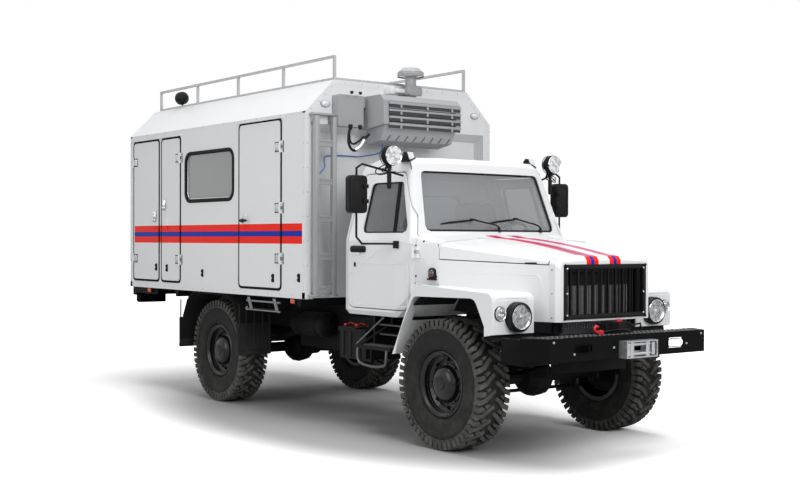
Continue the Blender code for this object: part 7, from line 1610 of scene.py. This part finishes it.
class TRUCK_OT_nose(bpy.types.Operator):
    """Model the grille's frame and screws, the radiator's fins, the pressed lines and the bonnet's seal"""
    bl_idname = "truck.nose"
    bl_label = "Nose"

    def execute(self, context):
        frame_ring = outlined("ring", rectangle(0.958, 0.44), 0.012, at(0.8465, 0, 1.3125), FRONT, rounding=0.012,
                              band=0.034, bevel=0.004)
        parts = [frame_ring]
        for number in range(11):
            y = -0.4 + 0.08 * number
            parts.append(box("fold", at(0.838, y - 0.0035, 1.13), at(0.851, y + 0.0035, 1.495), 0.0015, 1))
        dress("grille_frame", parts, "satin_black")
        heads = [screw(at(0.858, y, z), FRONT, 0.0085) for y in (-0.448, 0.448) for z in (1.126, 1.3, 1.499)]
        dress("grille_screws", heads, "bright_zinc")
        self.add_core()
        self.add_lines()
        return {"FINISHED"}

    def add_core(self):
        """Model the radiator's stacked fins and tubes behind the grille."""
        fin = outlined("fin", ((-0.385, -0.0016), (0.385, -0.0016), (0.385, 0.0016), (-0.385, 0.0016)), 0.01,
                       (0, 0, 0), FRONT, bevel=0.0008)
        fins = copied(fin, [Matrix.Translation(at(RADIATOR_FACE, 0, 1.01 + 0.0095 * number))
                            for number in range(37)], "fins")
        tubes = []
        for number in range(25):
            y = -0.372 + 0.031 * number
            tubes.append(box("tube", at(RADIATOR_FACE, y - 0.003, 1.006), at(0.737, y + 0.003, 1.356), 0.0015, 1))
        dress("radiator_core", [fins] + tubes, "copper_core")
        tank = outlined("tank", rectangle(0.8, 0.105), 0.016, at(RADIATOR_FACE, 0, 1.415), FRONT, rounding=0.02,
                        bevel=0.006)
        boards = []
        for place, half, rear, front, low, high, bevel in ((0.398, 0.014, 0.722, 0.746, 0.98, 1.47, 0.004),
                                                           (0.47, 0.006, 0.7, 0.838, 1.085, 1.5, 0.003),
                                                           (0.435, 0.04, 0.7, 0.708, 1.085, 1.5, 0.003)):
            for y in (-place, place):
                boards.append(box("board", at(rear, y - half, low), at(front, y + half, high), bevel))
        dress("radiator_tank", [tank] + boards, "satin_black")

    def add_lines(self):
        """Model the pressed lines of the engine's side panels, the bonnet's seals and the nose's screws."""
        run = [(0.56, 0, 1.446), (0.64, 0, 1.446), (0.672, 0, 1.438), (0.688, 0, 1.415), (0.692, 0, 1.38),
               (0.694, 0, 1.24), (0.696, 0, 1.06)]
        line = bent("line", on_skin("wing_right", run, 0.0004), 0.0034, 1)
        low = bent("line", on_skin("wing_right", [(0.56, 0, 1.446), (0.3, 0, 1.452), (0.02, 0, 1.458)], 0.0004),
                   0.0028, 1)
        dress_both("side_panel_lines", [line, low], "body_paint")
        edge = on_skin("bonnet", [(-0.195 + 0.0945 * number, 0, 1.5415) for number in range(11)], 0.0006)
        seal = bent("seal", edge, 0.0062, 1)
        dress_both("bonnet_seals", [seal], "seal_rubber", "engine_bonnet")
        heads = []
        for z in (1.11, 1.3, 1.49):
            spot, facing = surface("fascia", at(0.79, -2, z), LEFT)
            heads.append(screw(spot, facing, 0.007))
        dress_both("fascia_screws", heads, "dark_zinc")


class TRUCK_OT_bumper_fittings(bpy.types.Operator):
    """Model the bumper's raised tread pattern, bolts, fairlead rollers, winch rope and hook"""
    bl_idname = "truck.bumper_fittings"
    bl_label = "Bumper fittings"

    def execute(self, context):
        self.add_tread_pattern()
        bolts = [turned("bolt", [(-0.001, 0.01), (0.003, 0.01), (0.0038, 0.0075), (0.009, 0.0075), (0.0102, 0.006),
                                 (0.0102, 0)], at(BUMPER_FACE, y, z), FRONT, 6) for y,
                 z in ((-0.2, 0.882), (0.29, 0.882), (0.673, 0.875), (-0.64, 0.85), (-0.86, 0.95), (0.86, 0.95))]
        dress("bumper_bolts", bolts, "bright_zinc")
        folds = []
        for y in (-0.537, 0.537):
            folds.append(outlined("lip", ((-0.1, -0.012), (-0.078, -0.036), (0.078, -0.036), (0.1, -0.012),
                                          (0.1, 0.012), (0.078, 0.036), (-0.078, 0.036), (-0.1, 0.012)), 0.005,
                                  at(1.1225, y, 0.887), FRONT, rounding=0.01, band=0.007, bevel=0.002))
        dress("bumper_lips", folds, "bumper_black")
        self.add_fairlead()
        self.add_rope()
        return {"FINISHED"}

    def add_tread_pattern(self):
        """Lay the raised bars of tread plate over the bumper's top and the cab steps."""
        bar = outlined("bar", ((-0.013, 0), (-0.004, -0.003), (0.004, -0.003), (0.013, 0), (0.004, 0.003),
                               (-0.004, 0.003)), 0.0024, (0, 0, 0), UP, bevel=0.0011)
        slant = math.radians(45)
        matrices = []
        for row in range(7):
            for column in range(70):
                x, y = 0.936 + PLATE_PITCH * row, -0.9 + PLATE_PITCH * column
                if abs(y) < 0.19 and x < 0.96:
                    continue
                way = slant if (row + column) % 2 else -slant
                matrices.append(Matrix.Translation(at(x, y, BUMPER_TOP)) @ Matrix.Rotation(way, 4, "Z"))
        for side in (-1, 1):
            for row in range(6):
                for column in range(19):
                    x, y = -1.2 + PLATE_PITCH * column, side * (0.868 + PLATE_PITCH * row)
                    way = slant if (row + column) % 2 else -slant
                    matrices.append(Matrix.Translation(at(x, y, STEP_TOP)) @ Matrix.Rotation(way, 4, "Z"))
        fit(copied(bar, matrices, "tread_plate_bars"), "worn_steel")

    def add_fairlead(self):
        """Model the fairlead's rollers, cheeks and nuts."""
        parts = []
        for y in (-0.105, 0.185):
            parts.append(turned("roller", [(-0.052, 0.012), (-0.05, 0.016), (0.05, 0.016), (0.052, 0.012)],
                                at(1.19, y, 0.864), UP, 20))
        for z in (0.826, 0.902):
            parts.append(turned("roller", [(-0.128, 0.01), (-0.126, 0.0135), (0.126, 0.0135), (0.128, 0.01)],
                                at(1.172, 0.04, z), LEFT, 20))
        for y in (-0.134, 0.214):
            for z in (0.814, 0.914):
                parts.append(turned("nut", [(0, 0.009), (0.007, 0.009), (0.009, 0.0075), (0.009, 0)], at(1.2, y, z),
                                    FRONT, 6))
        dress("fairlead_rollers", parts, "bright_zinc")

    def add_rope(self):
        """Model the winch's laid rope, its run to the red hook, and the cooling ribs of its box."""
        coils = []
        for number in range(18):
            y = -0.105 + 0.0155 * number
            coils.append(turned("coil", [(-0.007, 0.05), (-0.004, 0.055), (0.004, 0.055), (0.007, 0.05)],
                                at(0.975, y, 0.925), LEFT, 24, True))
        run = bent("run", path((1.01, 0.12, 0.975), (1.045, 0.06, 1.0), (1.03, -0.06, 1.01), (1.012, -0.16, 1.0),
                               (1.01, -0.215, 0.992)), 0.0075)
        lead = bent("lead", path((0.96, 0.17, 1.03), (0.99, 0.24, 1.046), (0.93, 0.33, 1.03), (0.885, 0.38, 0.99)),
                    0.007)
        tie = bent("tie", path((0.96, 0.045, 1.068), (1.0, 0.105, 1.056), (1.02, 0.155, 1.02)), 0.006, 1)
        rows = (-0.1, -0.084, -0.068, -0.052, -0.036)
        ribs = [box("rib", at(0.895, y - 0.003, 1.052), at(1.022, y + 0.003, 1.0712), 0.001, 1) for y in rows]
        ribs += [box("rib", at(1.01, y - 0.003, 0.96), at(1.0255, y + 0.003, 1.06), 0.001, 1) for y in rows]
        dress("winch_rope", coils + [run, lead, tie] + ribs, "satin_black")
        hook = bent("hook", path((1.01, -0.216, 0.992), (1.01, -0.246, 0.99), (1.012, -0.282, 1.0),
                                 (1.012, -0.3, 1.022), (1.012, -0.286, 1.044), (1.012, -0.262, 1.04)), 0.0115, 3)
        eye = outlined("eye", rectangle(0.05, 0.044), 0.026, at(0.998, -0.232, 0.992), FRONT, rounding=0.012,
                       bevel=0.004)
        strap = outlined("strap", rectangle(0.056, 0.022), 0.022, at(0.955, 0.03, 1.078), FRONT, rounding=0.006,
                         bevel=0.003)
        dress("winch_hook", [hook, eye, strap], "red_paint")


class TRUCK_OT_underside(bpy.types.Operator):
    """Model the step loops, battery clips, mud flaps, air tanks and pipes under the truck"""
    bl_idname = "truck.underside"
    bl_label = "Underside"

    def execute(self, context):
        self.add_step_loops()
        self.add_flaps()
        self.add_tanks()
        self.add_folding_step()
        self.add_front_panels()
        return {"FINISHED"}

    def add_front_panels(self):
        """Model the bumper's right return, the splash panel, the front springs, and the dark sheets in the front
        arches that are painted shade.
        """
        parts = [box("splash", at(0.662, -0.44, 0.64), at(0.674, 0.44, 0.8), 0.004),
                 box("return", at(0.668, -0.985, 0.76), at(0.926, -0.6, 0.962), 0.008)]
        for side in (-1, 1):
            for number in range(4):
                reach = 0.62 - 0.12 * number
                z = 0.66 - 0.014 * number
                line = [at(share * reach, side * SPRING_Y, z + 0.13 * (share * reach / 0.62) ** 2)
                        for share in (-1, -0.6, -0.2, 0.2, 0.6, 1)]
                leaf = bent("leaf", line, 0.0075, 1)
                leaf.data.transform(Matrix.Translation((0, side * SPRING_Y, 0)) @ Matrix.Scale(4.6, 4, (0, 1, 0))
                                    @ Matrix.Translation((0, -side * SPRING_Y, 0)))
                parts.append(leaf)
            for x in (-0.055, 0.055):
                parts.append(box("clamp", at(x - 0.012, side * SPRING_Y - 0.046, 0.598),
                                 at(x + 0.012, side * SPRING_Y + 0.046, 0.688), 0.004))
        dress("front_underside", parts, "bumper_black")
        # Painted shade: dark sheets under the wing's top and on the arch's inner wall darken the upper front
        # arches.
        liner = outlined("liner", ((-0.4, 1.18), (-0.3, 1.258), (0.45, 1.258), (0.56, 1.1), (0.602, 0.93),
                                   (0.592, 0.93), (0.55, 1.094), (0.444, 1.248), (-0.294, 1.248), (-0.392, 1.17)),
                         0.44, at(0, -0.575, 0), RIGHT, bevel=0.002)
        wall = outlined("wall", ((-0.4, 1.11), (0.56, 1.11), (0.45, 1.25), (-0.3, 1.25)), 0.008, at(0, -0.566, 0),
                        RIGHT, bevel=0.002)
        dress_both("arch_liners", [liner, wall], "liner_black")

    def add_step_loops(self):
        """Model the bar steps below the cab doors and the battery box's lid, straps and clips."""
        loop = bent("loop", path((-1.18, -1.034, 0.76), (-1.18, -1.04, 0.7), (-1.168, -1.036, 0.645),
                                 (-1.13, -1.032, 0.622), (-0.8, -1.032, 0.622), (-0.762, -1.036, 0.645),
                                 (-0.75, -1.04, 0.7), (-0.75, -1.034, 0.76)), 0.0125, 3)
        stay = bent("stay", path((-1.205, -1.03, 0.79), (-0.97, -0.9, 1.035)), 0.009, sharp=True)
        bars = [bent("bar", path((-1.05, -0.88, z), (-0.7, -0.88, z)), 0.008, sharp=True) for z in (0.88, 0.965)]
        dress_both("step_loops", [loop, stay] + bars, "worn_steel")
        lid = box("lid", at(-1.738, -0.866, 0.89), at(-1.462, -0.458, 0.912), 0.006)
        straps = [box("strap", at(x - 0.014, -0.868, 0.64), at(x + 0.014, -0.857, 0.905), 0.003)
                  for x in (-1.66, -1.54)]
        dress("battery_lid", [lid] + straps, "satin_black")
        clips = []
        for x, tall in ((-1.7, 0.024), (-1.52, 0.034)):
            clips.append(outlined("clip", rectangle(0.036, tall), 0.016, at(x, -0.8, 0.926), RIGHT, rounding=0.008,
                                  bevel=0.003))
            clips.append(bent("lead", path((x + 0.01, -0.8, 0.926), (x + 0.04, -0.79, 0.948),
                                           (x + 0.08, -0.77, 0.936), (x + 0.1, -0.74, 0.912)), 0.0045, 1))
        dress("battery_clips", clips, "red_paint")

    def add_flaps(self):
        """Model the ribbed mud flaps at both ends of the rear mudguards and the guards' rolled edges."""
        flaps = []
        for x, facing in ((-3.184, FRONT), (-4.453, BACK)):
            out = facing[0]
            sheet = outlined("sheet", rectangle(0.4, 0.33), 0.01, at(x + out * 0.002, -0.932, 0.7), facing,
                             rounding=0.01, bevel=0.003)
            flaps.append(sheet)
            for y in (-1.11, -1.03, -0.932, -0.834, -0.754):
                flaps.append(outlined("rib", rectangle(0.014, 0.5), 0.008, at(x + out * 0.0105, y, 0.81), facing,
                                      rounding=0.004, bevel=0.003))
            flaps.append(outlined("hem", rectangle(0.398, 0.03), 0.01, at(x + out * 0.01, -0.932, 0.56), facing,
                                  rounding=0.008, bevel=0.003))
        dress_both("mud_flaps", flaps, "flap_rubber")

    def add_tanks(self):
        """Model the air tanks with their straps, the pipes and the panels between the chassis rails."""
        parts = []
        for x, y, z, radius, half in ((-2.62, -0.56, 0.87, 0.125, 0.3), (-1.9, -0.25, 0.8, 0.12, 0.23),
                                      (-2.65, 0.82, 0.73, 0.125, 0.33)):
            parts.append(turned("tank", [(-half, radius * 0.3), (-half + 0.01, radius * 0.7),
                                         (-half + 0.035, radius * 0.95), (-half + 0.06, radius),
                                         (half - 0.06, radius), (half - 0.035, radius * 0.95),
                                         (half - 0.01, radius * 0.7), (half, radius * 0.3),
                                         (half + 0.012, radius * 0.28), (half + 0.012, 0)], at(x, y, z), FRONT, 32))
            for along in (-half * 0.55, half * 0.55):
                parts.append(turned("strap", [(along - 0.016, radius + 0.001), (along - 0.014, radius + 0.006),
                                              (along + 0.014, radius + 0.006), (along + 0.016, radius + 0.001)],
                                    at(x, y, z), FRONT, 32, True))
        parts.append(turned("reservoir", [(-0.6, 0.05), (-0.59, 0.11), (-0.56, 0.145), (-0.54, 0.15), (0.54, 0.15),
                                          (0.56, 0.145), (0.59, 0.11), (0.6, 0.05), (0.6, 0)], at(-4.72, 0.1, 0.66),
                            LEFT, 32))
        for y in (-0.3, 0.36):
            parts.append(bent("pipe", path((0.3, y, 0.8), (-0.6, y * 1.05, 0.79), (-1.6, y, 0.8),
                                           (-2.9, y * 1.05, 0.8)), 0.011))
        parts.append(box("panel", at(-3.02, -0.46, 0.62), at(-1.5, -0.452, 0.98), 0.003))
        parts.append(box("panel", at(-3.02, 0.44, 0.64), at(-1.5, 0.448, 0.98), 0.003))
        dress("air_tanks", parts, "chassis_black")

    def add_folding_step(self):
        """Model the folded entrance ladder's brackets and rails under the side door."""
        parts = []
        for x in (-2.96, -2.47):
            parts.append(outlined("gusset", ((-0.036, 0.052), (0.014, 0.056), (0.074, -0.056), (0.024, -0.064)),
                                  0.006, at(x, -1.117, 1.09), RIGHT, rounding=0.006, bevel=0.0015))
        for z in (1.108, 1.02):
            parts.append(bent("rail", path((-3.02, -1.108, z), (-2.38, -1.108, z)), 0.011, sharp=True))
        parts.append(turned("roller", [(-0.01, 0.02), (0.03, 0.02), (0.032, 0.012), (0.04, 0.012), (0.04, 0)],
                            at(-3.02, -1.08, 1.028), RIGHT, 18))
        dress("folding_step_rails", parts, "dark_zinc")


# Ladder and roof


LADDER_FACE = -1.788
CONDENSER_FACE = -1.519
SEARCHLIGHT = (-5.061, -0.8, 3.361)


class TRUCK_OT_ladder_fittings(bpy.types.Operator):
    """Model the ladder's square rungs, stile covers, gussets and feet, in a grey darker than the whitish ladder as
    painted shade
    """
    bl_idname = "truck.ladder_fittings"
    bl_label = "Ladder fittings"

    def execute(self, context):
        parts = []
        for y in (-0.872, -1.069):
            parts.append(box("stile", at(-1.842, y - 0.022, 1.192), at(LADDER_FACE, y + 0.022, 2.886), 0.005, 2))
            parts.append(outlined("gusset", ((-0.028, 0.044), (0.038, 0.044), (0.038, 0.014), (-0.028, -0.06)),
                                  0.005, at(-1.85, y - 0.02, 2.87), RIGHT, bevel=0.0015))
        for z in (1.256, 1.564, 1.92, 2.27, 2.63):
            for up in (-0.022, 0.022):
                parts.append(box("rung", at(-1.834, -1.05, z + up - 0.009), at(-1.802, -0.89, z + up + 0.009),
                                 0.004, 2))
            parts.append(box("web", at(-1.826, -1.05, z - 0.02), at(-1.808, -0.89, z + 0.02), 0.002, 1))
        bar = box("bar", at(-1.879, -1.112, 2.894), at(-1.8, -0.832, 2.914), 0.004, 2)
        foot = box("foot", at(-1.879, -1.12, 1.19), at(-1.8, -1.02, 1.208), 0.004, 2)
        parts += [bar, foot, box("foot", at(-1.879, -0.93, 1.19), at(-1.8, -0.822, 1.208), 0.004, 2)]
        dress("ladder_covers", parts, "ladder_grey")
        return {"FINISHED"}


class TRUCK_OT_roof_fittings(bpy.types.Operator):
    """Model the condenser's louvres and hoses, the vent's clamp and arm, and the rack's searchlight"""
    bl_idname = "truck.roof_fittings"
    bl_label = "Roof fittings"

    def execute(self, context):
        self.add_louvres()
        self.add_hoses()
        self.add_vent_clamp()
        self.add_searchlight()
        return {"FINISHED"}

    def add_louvres(self):
        """Model the condenser's louvre blades, slot shadows and belly slits."""
        dark, pale = [], []
        for number in range(4):
            z = 3.004 - 0.0665 * number
            dark.append(box("slot", at(CONDENSER_FACE - 0.004, -0.44, z - 0.017),
                            at(CONDENSER_FACE + 0.0035, 0.44, z + 0.008), 0.001, 1))
            pale.append(outlined("blade", ((-0.44, 0.01), (0.44, 0.01), (0.446, 0.03), (-0.446, 0.03)), 0.017,
                                 at(CONDENSER_FACE - 0.001, 0, z), FRONT, bevel=0.004))
            for y in (-0.3, 0.02, 0.33):
                pale.append(box("clip", at(CONDENSER_FACE + 0.001, y - 0.01, z - 0.02),
                                at(CONDENSER_FACE + 0.014, y + 0.01, z + 0.014), 0.002, 1))
        dress("condenser_blades", pale, "grey_plastic")
        for number in range(8):
            y = -0.39 + 0.105 * number
            spot, facing = surface("condenser", at(2, y, 2.7), BACK)
            dark.append(outlined("slit", ((-0.004, -0.026), (0.008, -0.026), (0.034, 0.03), (0.022, 0.03)), 0.003,
                                 spot - 0.001 * facing, facing, bevel=0.0008))
        dress("condenser_slots", dark, "slot_dark")

    def add_hoses(self):
        """Model the control box's glands, hoses and knob."""
        black = [bent("hose", path((-1.64, -0.8, 2.8), (-1.64, -0.822, 2.7), (-1.636, -0.812, 2.6),
                                   (-1.62, -0.772, 2.56), (-1.6, -0.728, 2.59), (-1.58, -0.69, 2.66),
                                   (-1.56, -0.64, 2.72)), 0.013), bent("hose",
                                                                       path((-1.7, -0.76, 2.8), (-1.7, -0.77, 2.69),
                                                                            (-1.69, -0.745, 2.63),
                                                                            (-1.66, -0.7, 2.65),
                                                                            (-1.65, -0.64, 2.7)), 0.01)]
        for x, y in ((-1.64, -0.8), (-1.7, -0.76), (-1.64, -0.69)):
            black.append(turned("gland", [(-0.004, 0.02), (0.02, 0.02), (0.024, 0.016), (0.038, 0.016),
                                          (0.04, 0.011), (0.04, 0)], at(x, y, 2.802), DOWN, 6))
        for y in (-0.76, -0.66):
            black.append(turned("knob", [(0, 0.012), (0.01, 0.011), (0.012, 0.018), (0.026, 0.017), (0.028, 0)],
                                at(-1.68, y, 3.098), UP, 16))
        dress("condenser_hoses", black, "satin_black", slot="black_rubber")
        bright = bent("hose", path((-1.6, -0.775, 2.565), (-1.588, -0.73, 2.6), (-1.575, -0.69, 2.665)), 0.0175)
        fit(bright, "bright_zinc")

    def add_vent_clamp(self):
        """Model the vent post's clamp and its white arm to the roof's edge."""
        clamp = box("clamp", at(-1.862, -0.066, 3.15), at(-1.702, 0.106, 3.222), 0.006)
        plate = box("plate", at(-1.704, -0.05, 3.14), at(-1.694, 0.09, 3.232), 0.002)
        heads = [screw(at(-1.694, y, z), FRONT, 0.008) for y in (-0.03, 0.07) for z in (3.158, 3.214)]
        arm = box("arm", at(-1.8, -0.2, 3.166), at(-1.764, -0.06, 3.206), 0.004)
        shoe = box("shoe", at(-1.879, -0.236, 3.15), at(-1.76, -0.188, 3.222), 0.004)
        ring = turned("ring", [(-0.006, 0.128), (-0.002, 0.134), (0.006, 0.134), (0.01, 0.128)],
                      at(-1.782, 0.02, 3.335), UP, 40, True)
        dress("vent_clamp", [clamp, plate, ring] + heads, "grey_plastic")
        dress("vent_arm", [arm, shoe], "body_paint")

    def add_searchlight(self):
        """Model the ball searchlight on the rack's rail, with its bracket."""
        place = at(*SEARCHLIGHT)
        shell = turned("shell", [(-0.074, 0.016), (-0.066, 0.036), (-0.048, 0.057), (-0.022, 0.071), (0.006, 0.075),
                                 (0.034, 0.072), (0.04, 0.074), (0.048, 0.074), (0.05, 0.068), (0.044, 0.064),
                                 (0.044, 0)], place, BACK, 32)
        shell.data.transform(Matrix.Translation((0.02, 0, 0)))
        stalk = turned("stalk", [(0, 0.02), (0.01, 0.02), (0.014, 0.011), (0.05, 0.011)], at(-5.061, -0.79, 3.25),
                       UP, 16)
        dress("searchlight", [shell, stalk], "satin_black")
        lens = turned("lens", [(0.042, 0.063), (0.052, 0.056), (0.06, 0.034), (0.062, 0)],
                      place + Vector((0.02, 0, 0)), BACK, 32)
        fit(lens, "clear_lens")


OPERATORS = (TRUCK_OT_stage, TRUCK_OT_finishes, TRUCK_OT_tyres, TRUCK_OT_wheel_trims, TRUCK_OT_van_trims,
             TRUCK_OT_door_fittings, TRUCK_OT_van_windows, TRUCK_OT_van_lamps, TRUCK_OT_cab_glazing,
             TRUCK_OT_cab_fittings, TRUCK_OT_mirrors, TRUCK_OT_seats, TRUCK_OT_dashboard,
             TRUCK_OT_headlamps, TRUCK_OT_nose, TRUCK_OT_bumper_fittings, TRUCK_OT_underside,
             TRUCK_OT_ladder_fittings, TRUCK_OT_roof_fittings)


class TRUCK_PT_panel(bpy.types.Panel):
    """List the truck's pieces in the sidebar"""
    bl_idname = "TRUCK_PT_panel"
    bl_label = "Workshop Truck"
    bl_space_type = "VIEW_3D"
    bl_region_type = "UI"
    bl_category = "Truck"

    def draw(self, context):
        for operator in OPERATORS:
            self.layout.operator(operator.bl_idname)
        for group in ("truck_sizes", "truck_colours", "truck_view"):
            column = self.layout.column()
            values = getattr(context.scene, group)
            for key in values.__annotations__:
                column.prop(values, key)


CLASSES = (TruckSizes, TruckColours, TruckView, *OPERATORS, TRUCK_PT_panel)


def register():
    """Register the add-on's classes and values."""
    for kind in CLASSES:
        bpy.utils.register_class(kind)
    bpy.types.Scene.truck_sizes = bpy.props.PointerProperty(type=TruckSizes)
    bpy.types.Scene.truck_colours = bpy.props.PointerProperty(type=TruckColours)
    bpy.types.Scene.truck_view = bpy.props.PointerProperty(type=TruckView)


def unregister():
    """Take the add-on's classes and values away again."""
    for name in ("truck_sizes", "truck_colours", "truck_view"):
        delattr(bpy.types.Scene, name)
    for kind in reversed(CLASSES):
        bpy.utils.unregister_class(kind)


def main():
    """Dress the truck."""
    register()
    for operator in OPERATORS:
        group, name = operator.bl_idname.split(".")
        getattr(getattr(bpy.ops, group), name)()


if __name__ == "__main__":
    main()
